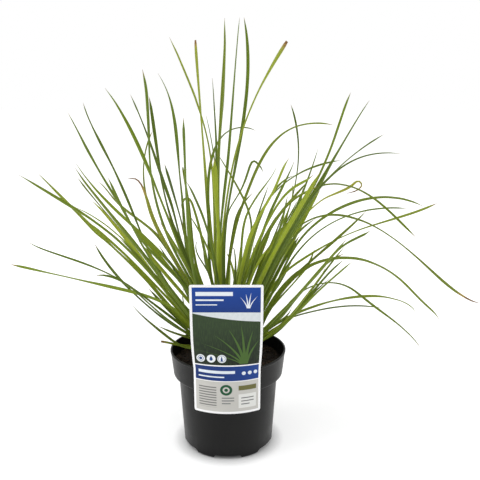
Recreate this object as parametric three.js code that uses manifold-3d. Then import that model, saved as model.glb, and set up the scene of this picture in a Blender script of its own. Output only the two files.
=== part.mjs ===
// Potted lomandra: a tufted, strap-leaved rush in a round nursery pot, with a care label hung over the rim.
// Millimetres, +Z up. The origin is the middle of the pot's underside, and the label is on the -Y side.
import * as THREE from 'three';
import { mergeVertices } from 'three/addons/utils/BufferGeometryUtils.js';
import Module from 'manifold-3d';

const wasm = await Module();
wasm.setup();

// ---- driving dimensions -------------------------------------------------------------------
const POT_H = 119.5;          // height of the pot
const RIM_R = 70.0;           // outer radius at the top of the rim band
const BAND_R = 66.5;          // outer radius at the foot of the rim band
const BAND_Z = 89.2;          // height of the foot of the rim band
const NECK_R = 60.4;          // outer radius of the wall just under the band
const BASE_R = 54.5;          // outer radius of the wall at the bottom
const WALL = 1.5;             // wall thickness
const FLOOR = 1.8;            // floor thickness
const NOTCHES = 6;            // drainage notches in the bottom edge
const NOTCH_W = 34, NOTCH_H = 3.6;
const SOIL_Z = 104.0;         // level of the potting mix
const GAP = 0.3;              // clearance between neighbouring pieces
const LABEL_W = 79.5, LABEL_BOTTOM = 64.0, LABEL_TOP = 223.0, LABEL_T = 0.6;
const LEAF_T = 0.7;           // height of the keel of a leaf over its edges
const FINE = 0.2;            // edges shorter than this are closed up where blades meet in a foot
const FOOT_R = 2.5, FOOT_UP = 15, FOOT_DOWN = 6;   // the sheathing foot of a shoot

const PALETTE = {
  pot: { color: 0x393a38, roughness: 0.42, metalness: 0 },
  mix: { color: 0x3a2a1d, roughness: 0.95, metalness: 0 },
  label: { color: 0xe9ebec, roughness: 0.35, metalness: 0 },
  leaf: { color: 0x6f8f24, roughness: 0.5, metalness: 0 },
};

// ---- helpers --------------------------------------------------------------------------------
function solid(geometry) {
  const g = geometry.clone();
  for (const k of Object.keys(g.attributes)) if (k !== 'position') g.deleteAttribute(k);
  const m = mergeVertices(g, 1e-4);
  return new wasm.Manifold(new wasm.Mesh({
    numProp: 3,
    vertProperties: new Float32Array(m.attributes.position.array),
    triVerts: new Uint32Array(m.index.array),
  }));
}
function geometryOf(manifold) {
  const mesh = manifold.getMesh();
  const n = mesh.numProp, count = mesh.vertProperties.length / n;
  const p = new Float32Array(count * 3);
  for (let i = 0; i < count; i++) for (let k = 0; k < 3; k++) p[3 * i + k] = mesh.vertProperties[n * i + k];
  const g = new THREE.BufferGeometry();
  g.setAttribute('position', new THREE.BufferAttribute(p, 3));
  // the largest faces come first in the index
  const corner = (i) => new THREE.Vector3(p[3 * i], p[3 * i + 1], p[3 * i + 2]);
  const faces = [];
  for (let t = 0; t < mesh.triVerts.length; t += 3) {
    const f = [mesh.triVerts[t], mesh.triVerts[t + 1], mesh.triVerts[t + 2]];
    faces.push([new THREE.Triangle(corner(f[0]), corner(f[1]), corner(f[2])).getArea(), f]);
  }
  faces.sort((a, b) => b[0] - a[0]);
  g.setIndex(faces.flatMap(([, f]) => f));
  g.computeVertexNormals();
  return g;
}
function lathe(points, segments) {
  // LatheGeometry turns about Y; the profile is given as [radius, height] and stood up along Z
  const g = new THREE.LatheGeometry(points.map(([r, z]) => new THREE.Vector2(r, z)), segments);
  g.rotateX(Math.PI / 2);
  return g;
}
function body(points, segments) {
  let s = solid(lathe(points, segments));
  if (s.volume() < 0) s = solid(lathe([...points].reverse(), segments));
  return s;
}
function closed(positions, index) {
  const g = new THREE.BufferGeometry();
  g.setAttribute('position', new THREE.BufferAttribute(new Float32Array(positions), 3));
  g.setIndex(index);
  g.computeVertexNormals();
  return g;
}
const root = new THREE.Group();
function add(name, geometry, look) {
  const mesh = new THREE.Mesh(geometry, new THREE.MeshStandardMaterial(look));
  mesh.name = name;
  root.add(mesh);
}

// ---- pot --------------------------------------------------------------------------------------
const wallR = (z) => BASE_R + (NECK_R - BASE_R) * (z / BAND_Z);
const bandR = (z) => BAND_R + (RIM_R - BAND_R) * ((z - BAND_Z) / (POT_H - BAND_Z));
let pot = body([
  [0, 0], [BASE_R - 4.2, 0], [BASE_R - 1.2, 0.9], [wallR(3.2), 3.2],
  [wallR(BAND_Z - 1), BAND_Z - 1], [BAND_R - 0.9, BAND_Z - 0.3], [BAND_R, BAND_Z + 0.9],
  [bandR(POT_H - 0.9), POT_H - 0.9], [RIM_R - 0.6, POT_H],
  [RIM_R - WALL - 0.3, POT_H], [bandR(POT_H - 1.2) - WALL, POT_H - 1.2],
  [bandR(BAND_Z + 1.6) - WALL, BAND_Z + 1.6], [wallR(BAND_Z) - WALL, BAND_Z + 0.6],
  [wallR(4) - WALL, 4], [BASE_R - 4.6, FLOOR], [0, FLOOR],
], 48);
for (let i = 0; i < NOTCHES; i++) {
  const a = -Math.PI / 2 + (i * 2 * Math.PI) / NOTCHES;
  const outline = new THREE.Shape();
  const w = NOTCH_W / 2;
  outline.moveTo(-w, -2); outline.lineTo(w, -2); outline.lineTo(w, 0); outline.lineTo(w - 2, NOTCH_H);
  outline.lineTo(-w + 2, NOTCH_H); outline.lineTo(-w, 0);
  const g = new THREE.ExtrudeGeometry(outline, { depth: 12, bevelEnabled: false });
  g.rotateX(Math.PI / 2);                 // outline up along Z, depth along -Y
  g.translate(0, -(BASE_R - 5.6) + 0.0, 0);
  g.rotateZ(a + Math.PI / 2);
  pot = pot.subtract(solid(g));
  const hole = new THREE.CylinderGeometry(4.2, 4.2, 8, 10);
  hole.rotateX(Math.PI / 2);
  const b = a + Math.PI / NOTCHES;
  hole.translate(36 * Math.cos(b), 36 * Math.sin(b), 0);
  pot = pot.subtract(solid(hole));
}
add('pot', geometryOf(pot), PALETTE.pot);

// ---- shoots -------------------------------------------------------------------------------------
// Each shoot: [foot x, foot y], then one row per leaf. A row holds the sections of the leaf from its
// foot to its tip, six numbers a section: the middle of the blade x, y, z and the half-width vector
// from the middle to its edge.
const SHOOTS = [
  [[.3, .3], [
    [1.1, 1, 112.9, 1.05, -.38, .06, -1.8, 4.4, 151.1, 1.47, -.51, .22, -7, 11.4, 194.7, 1.45, -.56, .26, -9.1, 19.4, 228.5, 1.29, -.85, .25, -8.6, 28.4, 259.9, 1.12, -1.07, .27, -4.7, 42.8, 302.2, 1.48, -.54, .03, .3, 61, 347, 1.46, -.58, .11, 10.8, 124.1, 483.6, .41, -.83, .31, 12.5, 131, 503.1, .44, -.49, .1, 14.2, 134.4, 519.9, .31, -.22, 0],
    [-.5, -.2, 113, 1.16, .37, .03, -4.6, 3.6, 197.4, 1.57, .64, .01, -4.3, 8.8, 250.6, 1.4, .93, -.2, 2.5, 16.8, 304.4, 1.08, 1.25, -.41, 16.4, 31.8, 378.9, 1.53, .62, -.39, 22.7, 42.2, 427.3, 1.66, .23, -.19, 23.8, 50.7, 471.6, 1.49, .01, .06, 22.3, 53.6, 491.3, 1.02, .06, .11, 19.3, 55.2, 510.7, .43, .2, .07],
  ]],
  [[-8.2, -.4], [
    [-6.5, .2, 111.2, .86, .02, -.01, -8.1, -.4, 117.9, .81, .24, .53, -12.8, -2.8, 122.8, .22, .42, 1.03, -29.5, -3.8, 123.4, -.1, .46, 1.16, -47.1, -7.6, 123.8, .02, .48, 1.15, -60.2, -11.3, 126.8, 0, .9, .87, -79.6, -16.5, 133.2, .16, .51, 1.05],
    [-8.2, .2, 111.1, .86, .04, .03, -10, -.5, 120.4, .96, .18, .37, -15, -2, 129.8, .96, .33, .73, -39.5, -11.4, 157.7, .87, .33, .83, -46.7, -15.5, 169.4, .97, -.74, .19, -51.5, -21.3, 187.1, .57, -.57, -.12, -49.9, -24.4, 203.4, .21, -.15, -.07],
    [-8.4, -1.7, 111.4, 1.09, .14, .05, -10.7, -3.7, 129.2, 1.45, .4, .37, -16.3, -8.4, 150.9, 1.41, .55, .52, -27.7, -21.4, 186.5, .32, .18, .13],
  ]],
  [[-3.9, -7.3], [
    [-3.2, -6.6, 112.7, .89, .03, .03, -7.3, -8.2, 181.6, 1.25, .06, .07, -7.9, -12.8, 226.1, 1.23, -.2, -.07, -3.9, -23.6, 278.8, .96, -.74, -.3, 2.9, -39.2, 326.8, .7, -.91, -.49, 10.8, -56.9, 363.6, .54, -.91, -.67, 20.8, -78.8, 395.3, .24, -.91, -.83, 30.9, -102.2, 420.2, .01, -.85, -.92, 47, -139, 451.3, .4, -.68, -.97, 51.7, -146, 458.9, .56, -.64, -.82, 55.8, -149.4, 465.1, .54, -.51, -.56],
    [-4.9, -6.7, 111.7, .87, .04, .04, -7.9, -10.8, 159.5, 1.24, .08, .11, -11.6, -18.2, 206.5, 1.24, .08, .1, -13.7, -28, 252.2, 1.25, .01, .01, -12.5, -38.6, 294, 1.22, -.23, -.13, -11.2, -46.4, 317.9, 1.2, -.3, -.17, -10.5, -56.4, 341.3, 1.17, -.38, -.2, -10.1, -73.7, 375.5, .91, -.67, -.36, -11, -97, 416.3, .38, -.45, -.22, -11.9, -103.8, 435.4, .19, -.18, -.02],
    [-3.9, -8.6, 113, 1.35, .04, .02, -5.2, -10, 160, 1.87, .25, .09, -7.8, -13, 213, 1.82, .46, .14, -10.1, -17.3, 259.9, 1.83, .44, .11, -10.6, -22.4, 300.8, 1.84, .43, .04, -7.1, -35.1, 374.2, 1.26, 1.39, .19, -3.5, -45.8, 420.6, 1.48, 1.03, .15, -.8, -58.7, 467.8, 1, .3, .05, -.7, -63.5, 495, .27, .28, .03],
  ]],
  [[4, -6.6], [
    [5.1, -6, 111.9, .87, 0, -.02, 6.7, -9, 167.6, 1.25, -.01, -.06, 9.3, -11.5, 194.1, 1.24, -.04, -.19, 14.3, -14.8, 218.4, 1.18, .3, -.27, 25.4, -22, 254.7, .97, .78, -.06, 27.9, -26.9, 275.4, .87, .86, .25, 25.7, -30.8, 289.9, .78, .87, .45, 19.4, -36.4, 307.6, .68, .85, .6, -1.9, -54.1, 348, .39, .3, .36, -9.9, -58.2, 361.4, .17, .16, .13],
    [3.1, -7, 111.6, .87, .01, -.02, 5, -8.1, 132.6, 1.23, -.06, -.19, 9.9, -10.6, 156.8, 1.21, -.1, -.31, 25.7, -22.4, 218.2, .89, -.71, -.36, 29.2, -28, 240.8, .52, -.49, -.17, 29.8, -30.8, 257, .28, -.12, 0],
  ]],
  [[7.7, .4], [
    [8.6, 1, 111.6, .94, .08, -.05, 11.6, 1.1, 133.8, 1.32, .09, -.3, 19.3, 1.5, 158.4, 1.27, .07, -.49, 31.1, 2.1, 184.8, 1.21, .08, -.61, 52.8, 3.1, 226.2, .36, .09, -.18],
    [6.9, .7, 111, 1.09, -.08, -.04, 9.2, -1.5, 131.2, 1.53, -.34, -.34, 16.1, -7.9, 161.8, 1.41, -.41, -.47, 27.6, -17, 187.6, .33, -.17, -.13],
    [8.3, -.6, 111.4, 1.1, .05, -.04, 6.8, -2.5, 129.4, 1.49, .32, .3, 1.8, -7.5, 153.6, 1.5, .43, .33, .4, -11.2, 166.9, 1.51, .33, .09, 1.9, -14.6, 180.1, 1.35, -.02, -.13, .7, -21.2, 196.3, .37, .12, -.01],
  ]],
  [[4.1, 6.8], [
    [4.8, 7.8, 112.7, .89, 0, -.03, 8.3, 12, 164.9, 1.24, -.03, -.13, 15.3, 19.4, 209.6, 1.22, -.14, -.23, 26.3, 30.7, 248.8, 1.03, -.7, -.11, 33, 37.4, 265.2, .94, -.83, -.05, 40.5, 44.6, 279.5, .86, -.91, .01, 48.8, 52.4, 291.4, .81, -.95, .04, 58.9, 61.4, 302.2, .79, -.97, .05, 69.5, 70.5, 310.5, .78, -.97, .06, 83, 81.8, 318.5, .82, -.94, -.08, 101.4, 96.7, 326.2, .69, -.62, -.59, 121.6, 111.6, 331.7, .33, -.2, -.92, 136.9, 120.2, 334.5, .2, -.19, -.8, 150.3, 124.4, 336.1, .08, -.23, -.36],
    [3.5, 6.1, 111.6, 1.02, -.38, -.01, 5.2, 7.5, 132.2, 1.44, -.62, -.14, 9.5, 10, 155, 1.4, -.67, -.23, 27.2, 22.4, 218.4, 1.4, -.64, -.31, 52.6, 41.4, 279.3, 1.33, -.78, -.33, 75.3, 58.1, 324, .65, -.56, -.15, 83.1, 61.9, 342.2, .33, -.22, -.1],
  ]],
  [[-4.5, 6.9], [
    [-3.7, 7.9, 112.2, .89, .03, .01, -4.7, 12, 157.6, 1.26, .04, .02, -5.2, 19.2, 201.4, 1.26, -.04, .01, -4.2, 28.8, 241.1, .98, -.78, .16, -1, 39.4, 272.6, .64, -1.04, .3, 3.9, 46, 286.6, .63, -1.07, .24, 17.7, 59.5, 308.1, .93, -.85, .06, 29.7, 77.3, 337.9, .88, -.1, -.73, 35.4, 80.5, 337.8, -.6, -.11, -.81, 42, 84.9, 330, -.62, -.19, -.41, 44.5, 90.9, 323.5, -.3, -.15, -.2],
    [-5.2, 7.8, 111.7, .87, .03, .02, -5.1, 10.5, 145.5, 1.25, .02, -.04, -3.5, 15.2, 178.2, 1.25, 0, -.09, -.3, 22.1, 211.2, 1.24, -.15, -.11, 4.6, 31.4, 245.8, 1.05, -.68, .03, 8.5, 38.2, 266.7, 1, -.6, -.01, 13, 43.7, 280.4, .85, -.28, -.28, 21.2, 49.4, 292.5, .66, -.12, -.52, 31.7, 53, 303.4, .24, -.19, -.22],
    [-4.7, 5.9, 112, .87, .03, .01, -7.1, 11.9, 162.4, 1.24, .07, .1, -9.8, 16.4, 184.1, 1.23, .1, .18, -14, 21.8, 204.2, 1.21, 0, .31, -19.4, 27.5, 221.9, 1.01, -.49, .54, -25.5, 33, 236.2, .87, -.57, .67, -40, 45.5, 261.4, .68, .12, .39, -48.9, 49.7, 274.8, .34, -.05, .23],
  ]],
  [[-16, -.4], [
    [-15.9, -.5, 111.5, 1.09, .51, .08, -18.6, .5, 127.6, 1.41, .79, .3, -24, 1.9, 143.9, 1.41, .91, .48, -31.8, 3.9, 160.2, 1.33, .96, .59, -42.9, 7.1, 178.1, 1.27, .99, .67, -74.9, 17.3, 218.7, 1.28, .76, .9, -108.2, 28.9, 254, 1.12, .39, .99, -123, 32.3, 269.1, .27, .28, .23],
    [-17.8, .1, 111.7, 1.16, -.28, .13, -23.8, .4, 136.5, 1.59, -.27, .6, -36.6, .8, 161.5, 1.44, -.2, .92, -51.4, 1.5, 182.2, 1.35, -.1, 1.06, -92.6, 3.6, 232.9, 1.24, .41, .94, -107, 4.2, 252.8, .36, -.08, .24],
    [-16.3, -1.4, 111.1, 1.01, .42, .07, -18.4, -.3, 130.6, 1.39, .68, .28, -30.5, 1, 179.1, 1.34, .78, .38, -45.6, 2.8, 221.9, 1.31, .78, .46, -62.7, 7.8, 264.6, 1.4, .25, .52, -70.5, 9.1, 285.6, .35, .27, .12],
  ]],
  [[-20.4, -6.6], [
    [-19.3, -6.2, 111.6, .59, .63, .07, -20.7, -7.2, 117, .31, .81, .45, -25.1, -9.9, 121.1, -.24, .92, .56, -48.5, -14.1, 124, -.06, 1.09, .61, -62.6, -18.8, 132.6, .4, .82, .85, -91.5, -33.7, 164.3, .15, .92, .58, -102.7, -41, 179.5, .04, .58, .27, -108.8, -43.7, 189, .07, .23, .07],
    [-21.5, -7.4, 111.4, .85, .08, .09, -24.4, -7.3, 122.3, .99, .21, .38, -30.3, -6.2, 127.3, .59, .43, 1, -69.1, -14.2, 144.8, .32, .3, .8, -83.4, -16.6, 152.6, .19, .04, .33],
  ]],
  [[-11.8, -7.4], [
    [-10.9, -7.3, 111.7, 1.2, .05, .07, -13.1, -8.8, 128.9, 1.64, .03, .32, -17, -10.9, 144.1, 1.65, .02, .54, -27.9, -16.5, 173.3, 1.62, -.07, .62, -36.4, -21.4, 192.6, 1.57, -.11, .72, -55.2, -34.5, 231.3, 1.59, -.12, .69, -74.1, -52, 275.4, 1.63, -.18, .55, -79.4, -58.7, 292.1, 1.65, -.09, .37, -88.4, -74.5, 330.2, .79, -.32, .23, -94.3, -77.9, 335.7, .22, -.14, .61, -102.3, -79.9, 335, -.16, -.11, .51],
    [-13, -8.4, 111.4, .86, .06, .06, -18.1, -10.6, 138.5, 1.18, .2, .37, -29.5, -16, 167.9, 1.08, .26, .57, -51.4, -29.7, 210.7, 1.11, -.33, .47, -71.5, -46.2, 250.9, .56, -.12, .23, -77, -49.1, 261.6, .22, -.09, .11],
  ]],
  [[-16.3, -13.6], [
    [-16.2, -13.7, 111.9, .91, .08, .09, -20.2, -16.5, 129.1, 1.17, .25, .48, -28.5, -20.3, 146.6, 1.07, .33, .69, -48, -30.1, 176.9, 1.11, .03, .71, -64.8, -40.9, 205.2, 1.16, -.41, .48, -81.8, -54.4, 238.7, 1.09, -.69, .24, -95.3, -65.2, 270, .99, -.86, .1, -104.9, -74.6, 295.4, 1.15, -.61, .19, -115.1, -85.7, 319.3, 1.22, -.33, .38, -125.3, -98.3, 343.6, 1.06, -.71, .03, -140.3, -121.1, 387.2, .6, -.21, .11, -147.3, -126.6, 404.7, .26, -.06, .11],
    [-17.8, -14.2, 111.8, .9, .08, .08, -20.6, -16.2, 132.5, 1.27, .16, .25, -25.7, -19.3, 154.3, 1.23, .18, .39, -32.4, -23.7, 173.9, 1.2, .08, .49, -40.8, -29.6, 192.6, 1.15, .03, .6, -59.9, -44.2, 223.7, 1.08, -.04, .73, -79.7, -62, 251.9, 1.13, -.21, .62, -92.3, -75.6, 273.3, 1.11, -.67, .14, -100.1, -86.4, 291.8, 1.05, -.63, .03, -108.6, -100.8, 318.9, .97, .25, .4, -112, -106, 330.8, .82, .16, .31, -115.5, -108.6, 340.9, .43, -.07, .15],
  ]],
  [[-8.4, -14.2], [
    [-8.7, -13.1, 112.8, .89, .05, .05, -13.3, -20.1, 183, 1.25, .07, .08, -14.7, -28.9, 239.1, 1.16, .47, .08, -14.3, -42.6, 297.2, .9, .84, .24, -16.1, -59.3, 349.6, .57, 1.02, .45, -19.4, -71.4, 375.2, .38, 1.01, .63, -24.8, -88.2, 400.9, .31, .92, .78, -30.9, -106.8, 422.7, .46, .64, .75, -41.8, -138.2, 453.7, .54, .12, .32, -45.2, -144.4, 461.8, .4, .12, .25, -48.2, -147.4, 468.6, .21, .14, .14],
    [-9.9, -15.3, 111.4, 1.59, .08, .06, -10.4, -17.7, 141.5, 2.3, .09, .01, -10.2, -22.1, 173, 2.3, .07, -.02, -9.8, -28.4, 202.9, 2.3, .08, -.01, -9.6, -36.8, 232.4, 2.3, .08, .03, -10.2, -55.8, 280.9, 1.5, -1.6, -.71, -10.8, -67.5, 304.1, 1.77, -1.25, -.64, -11.3, -89.7, 342.9, 2, .06, .04, -11.3, -95.4, 358.3, .62, -.32, -.06],
  ]],
  [[-4.4, -20.9], [
    [-3.8, -20.2, 112.4, .88, .03, .03, -5, -24.1, 145.9, 1.25, .06, .07, -6.7, -30.2, 175.5, 1.24, .07, .1, -9, -39.3, 204.9, 1.24, .03, .13, -12.2, -51.5, 233.9, 1.22, -.27, .02, -15.8, -65.4, 259.5, 1.16, -.46, -.1, -20.2, -82.2, 284.2, 1.06, -.61, -.26, -24.6, -98.6, 304, 1.07, -.25, .03, -30.8, -119.4, 325.8, .79, .11, .37, -33.5, -125.5, 333, .59, .02, .26, -36.7, -128.9, 339.6, .27, -.1, .11],
    [-4.9, -21.1, 111.8, .98, .04, .02, -4, -22.6, 133.8, 1.4, -.02, -.14, -.2, -26.2, 160.3, 1.37, -.18, -.27, 5.7, -33.4, 193, 1.33, -.35, -.32, 9.4, -42, 221, 1.18, -.7, -.33, 10, -48.5, 239, .78, -.7, -.26, 8.8, -54.5, 254.7, .48, -.48, -.05, 5.9, -56, 258.3, .19, -.25, .41, -.1, -57.2, 258, 0, -.11, .26],
  ]],
  [[.3, -14.5], [
    [1.4, -13.7, 111.9, .96, .08, 0, .7, -14.7, 143.8, 1.35, .27, .08, -2.4, -16.5, 181.4, 1.34, .33, -.01, 3, -18.7, 233.9, 1.24, .59, -.11, 11.9, -25.6, 280.9, 1.19, .68, -.17, 26.5, -37.4, 324.7, 1.26, .49, -.29, 33.9, -44.6, 343.7, 1.26, .41, -.38, 41.2, -51.7, 358.3, 1.22, .45, -.45, 48.9, -59.1, 370, 1.14, .62, -.43, 58.1, -67.6, 379.9, .94, .72, -.33, 68.8, -77.1, 387.2, .73, .63, -.36, 82, -88.2, 391.5, .4, .37, -.59, 94, -96.5, 392.5, .07, .16, -.68, 106.2, -101.2, 391, -.03, .19, -.37],
    [-.2, -14.2, 111.4, .86, .02, 0, 2, -16.7, 140.2, 1.24, -.05, -.18, 8.5, -22.9, 174.6, 1.22, -.08, -.28, 17.5, -35, 218.8, 1.23, .03, -.21, 25.3, -49.6, 257.3, 1.2, .3, -.17, 34.8, -66.8, 289.6, 1.18, .39, -.16, 45.4, -86.9, 317, .96, .05, -.39, 56.3, -104.3, 334.9, .51, -.03, -.49, 62.2, -109.9, 340.2, .33, .02, -.47, 68.2, -112.7, 343.1, .13, .1, -.27],
    [.6, -15.4, 112.1, .88, .01, -.01, 2, -17, 134.9, 1.24, -.03, -.13, 5.4, -20.1, 160.2, 1.23, -.06, -.21, 10.6, -25.5, 187.9, 1.22, -.08, -.26, 16.7, -33.3, 217.8, 1.22, .19, -.19, 26.7, -50.4, 265.6, .99, .76, .09, 40.2, -75.2, 315.6, .6, .16, -.11, 44.6, -79.6, 329.3, .24, .1, -.06],
  ]],
  [[3.8, -20.9], [
    [4.3, -20.7, 111.7, .87, 0, -.02, 6.9, -24.5, 149.7, 1.24, -.04, -.14, 12.2, -32.1, 185.9, 1.22, -.08, -.25, 20, -44.3, 221.5, 1.11, -.37, -.44, 29.3, -60.4, 254.2, .88, -.62, -.64, 40.6, -82.1, 286.5, .64, -.72, -.8, 51.8, -107, 313.6, .4, -.68, -.94, 58.1, -121, 325.2, .44, -.42, -.85, 64.7, -134.5, 333.9, .52, -.21, -.84, 74.7, -150.3, 342.6, .39, -.18, -.74, 80.9, -156, 348.7, .3, -.24, -.35],
    [2.7, -21.8, 111.8, 1.24, .01, -.02, 4.7, -25.8, 148.8, 1.77, -.06, -.16, 8.6, -33.4, 184.1, 1.71, -.38, -.33, 13.9, -45.1, 219.1, 1.63, -.54, -.49, 20.2, -61.1, 253.3, 1.57, -.57, -.63, 25.1, -74, 274.2, 1.39, -.7, -.86, 31.5, -89.5, 294.1, .74, -1.07, -1.22, 43, -117, 321.5, .25, -1.08, -1.28, 52.9, -150, 352, .64, -.29, -.49, 55.4, -155.5, 358.5, .49, -.21, -.37, 58.6, -158.7, 364.3, .21, -.21, -.22],
  ]],
  [[8.4, -14.2], [
    [9.4, -13.8, 111.6, .87, -.01, -.04, 12.7, -20.1, 151.3, 1.24, -.06, -.16, 18.8, -32.8, 188.7, 1.21, -.1, -.3, 27.8, -51.7, 223.5, 1.2, .07, -.33, 38.3, -72.7, 251.8, .81, -.13, -.47, 43.5, -78.1, 261.7, .48, .05, -.29],
    [7.8, -14.8, 111.1, .94, -.24, -.05, 11.1, -18.5, 146.6, 1.31, -.47, -.26, 17.6, -27, 183.9, 1.22, -.58, -.42, 24.9, -38.5, 216.8, 1.16, -.62, -.52, 35.1, -58.4, 259.4, 1.1, -.12, -.32, 38.3, -62.5, 271.9, .32, -.19, -.11],
  ]],
  [[16.3, -14.3], [
    [16.9, -13.5, 111.5, .94, -.05, -.1, 19.6, -14.7, 125.4, 1.18, -.15, -.35, 25.1, -16.2, 140.5, 1.21, -.29, -.56, 47.4, -23.4, 186.4, 1.01, -.71, -.58, 68.2, -33.7, 237.4, .72, -1.02, -.55, 79.7, -40.1, 260.2, .61, -1, -.7, 94.3, -48, 279.9, .35, -1.03, -.82, 106.4, -54.6, 291.6, .32, -.91, -.96, 119.2, -61.9, 301.4, .28, -.76, -1.09, 134, -70.8, 309.7, .06, -.77, -1.12, 147.7, -79.3, 315, -.14, -.69, -1, 161.4, -88.1, 317.9, -.19, -.45, -.89, 175, -96.6, 318, -.17, -.15, -.82, 186.9, -102.8, 315.5, -.25, -.1, -.64, 197.6, -105.8, 310.9, -.15, -.15, -.25],
    [15.3, -14.1, 111.7, .87, -.03, -.07, 17.8, -15.4, 132.5, 1.23, -.09, -.21, 22.6, -17.3, 154.9, 1.2, -.13, -.32, 37.3, -23.9, 199.5, 1.14, -.18, -.48, 62.1, -37.7, 255.3, 1.14, .17, -.49, 89.2, -56.5, 309.5, 1.09, .39, -.48, 106.6, -70, 334.8, 1.04, .5, -.48, 116.3, -78.5, 345.5, .94, .63, -.42, 126.9, -87.5, 354.1, .76, .57, -.42, 138.3, -96.8, 360.4, .54, .43, -.5, 149, -104.7, 363.5, .3, .28, -.53, 160, -111.1, 364.6, .09, .19, -.42, 170.1, -114.2, 364, 0, .14, -.22],
    [17, -15.9, 112.2, .88, -.03, -.07, 19.8, -16.5, 134.4, 1.23, -.09, -.21, 24.9, -17.1, 158.1, 1.2, -.13, -.31, 34.7, -15.8, 194.3, 1.19, -.14, -.34, 40.4, -15, 207.7, 1.08, -.27, -.56, 50, -15.9, 227, 1, -.53, -.53, 60, -19.8, 248.2, .84, -.73, -.58, 86.5, -33.7, 299.4, .52, -.99, -.56, 100.2, -40, 320.5, .16, -1.08, -.61, 108.4, -42.5, 324.6, -.17, -1.09, -.58, 121, -46.1, 325.7, -.35, -1.12, -.44, 133.4, -49.9, 323.8, -.44, -1.13, -.3, 145.1, -53.7, 319.4, -.53, -1.06, -.36, 158.8, -58.6, 311.3, -.65, -.66, -.59, 172.6, -63.7, 300.3, -.67, -.16, -.69, 189.4, -69.3, 284.4, -.72, 0, -.73, 202.6, -71.6, 271.5, -.34, -.23, -.34],
  ]],
  [[12.2, -7.2], [
    [13.3, -6.7, 111.4, .86, -.02, -.06, 19, -13.4, 179.5, 1.22, -.09, -.24, 27.6, -16.4, 215.5, 1.2, -.13, -.33, 38.9, -24, 250.4, 1, -.52, -.53, 51.9, -33.3, 279.1, .8, -.69, -.67, 64.9, -43, 300.4, .64, -.48, -.76, 78, -52, 313.8, .5, -.21, -.82, 97.3, -65, 326.3, .1, -.22, -.32],
    [11.7, -6.9, 111.8, .87, -.02, -.05, 15.7, -10.2, 146.5, 1.23, -.09, -.23, 24.7, -19.4, 189.3, 1.16, -.16, -.45, 36.8, -27.3, 218.5, 1.13, -.09, -.52, 52.6, -43.3, 256.9, 1.17, .37, -.23, 61.9, -60.9, 297.7, .88, -.09, -.18, 65.1, -66.4, 317, .35, .1, -.05],
    [12.6, -8.1, 111.6, 1.05, .27, -.06, 17, -9.6, 147.3, 1.49, .37, -.28, 25.6, -10.5, 172.7, 1.48, .39, -.31, 28.4, -13.9, 192.4, 1.47, .39, -.33, 39.9, -20.9, 224.6, 1.42, .29, -.58, 49.7, -23.5, 243, 1.38, -.14, -.52, 54.4, -25.9, 256.7, 1.26, -.2, -.6, 63.1, -29.9, 274.1, .35, .11, -.19],
  ]],
  [[19.9, -6.7], [
    [20, -5.9, 111.7, .86, -.05, -.1, 22.1, -5.6, 118.2, .88, -.19, -.43, 25.9, -5.1, 123.6, .65, -.35, -.85, 49.8, -7.4, 136, .58, -.42, -1.02, 62.3, -8.7, 146.1, .81, -.43, -.85, 98, -12.6, 188.8, .5, -.8, -.53, 120.8, -15, 212.2, .11, -.21, -.13],
    [18.9, -6.1, 111.1, .85, -.04, -.07, 21.7, -7.1, 120.3, .88, -.22, -.52, 27.9, -9.1, 128.4, .78, -.37, -.9, 55.8, -18.4, 149.7, .86, .47, -.78, 72.2, -26.1, 167.1, 1, .52, -.53, 84, -33.6, 185.7, 1.02, .66, -.31, 103.3, -48.7, 221.1, .6, .38, -.15, 109.6, -52.8, 236, .23, .11, -.06],
    [20.3, -7.3, 111, .85, -.04, -.08, 23.1, -8, 121.8, .96, -.19, -.44, 29.9, -9.5, 132.5, .9, -.33, -.81, 42.7, -12.9, 144.9, .68, -.4, -.97, 57, -17.6, 156.1, .02, -1.09, -.55, 67.5, -21.8, 165.1, .45, -.45, -.61, 72.8, -24.4, 172.6, .42, -.31, -.3, 75.3, -25.9, 180.8, .16, -.19, -.04],
  ]],
  [[16.2, -.1], [
    [17.3, -.1, 111.8, 1.59, -.07, -.15, 21.1, -1.9, 137.4, 2.23, -.19, -.46, 27.8, -5.4, 164.5, 2.17, -.19, -.69, 33.6, -9, 181, 2.11, -.08, -.88, 49.7, -21.4, 222.4, 2.11, .18, -.85, 77.4, -34.1, 279.5, 2.05, .23, -.98, 90.7, -41.5, 305.8, 2.06, .27, -.95, 111.9, -58.4, 350.2, 1.58, 1.62, -.04, 132.4, -77.9, 394.4, .69, 1.02, .09, 143.5, -83.8, 414.6, .26, .38, -.11],
    [15.7, .5, 112.1, 1.22, -.3, -.11, 18.9, -1.5, 144.1, 1.69, -.54, -.26, 23.5, -4.8, 173.1, 1.62, -.65, -.4, 29.4, -9.2, 198.8, 1.52, -.75, -.57, 37.7, -15.3, 224.6, 1.44, -.79, -.71, 44.8, -22.7, 243.5, 1.2, -.84, -1.03, 70.2, -41.8, 284.7, 1.34, -.36, -.91, 85.4, -59.7, 318.2, .27, -.25, -.21],
    [17, -.6, 111.5, 1.35, -.4, -.14, 24.1, -1.5, 148.5, 1.8, -.79, -.54, 38.7, -3.6, 188.7, 1.64, -.95, -.77, 60.2, -7.5, 233.9, 1.56, -.97, -.89, 101.8, -17.3, 315, 1.66, -.32, -.85, 112.4, -19.2, 337.3, .3, -.36, -.15],
  ]],
  [[20.3, 6.8], [
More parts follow.
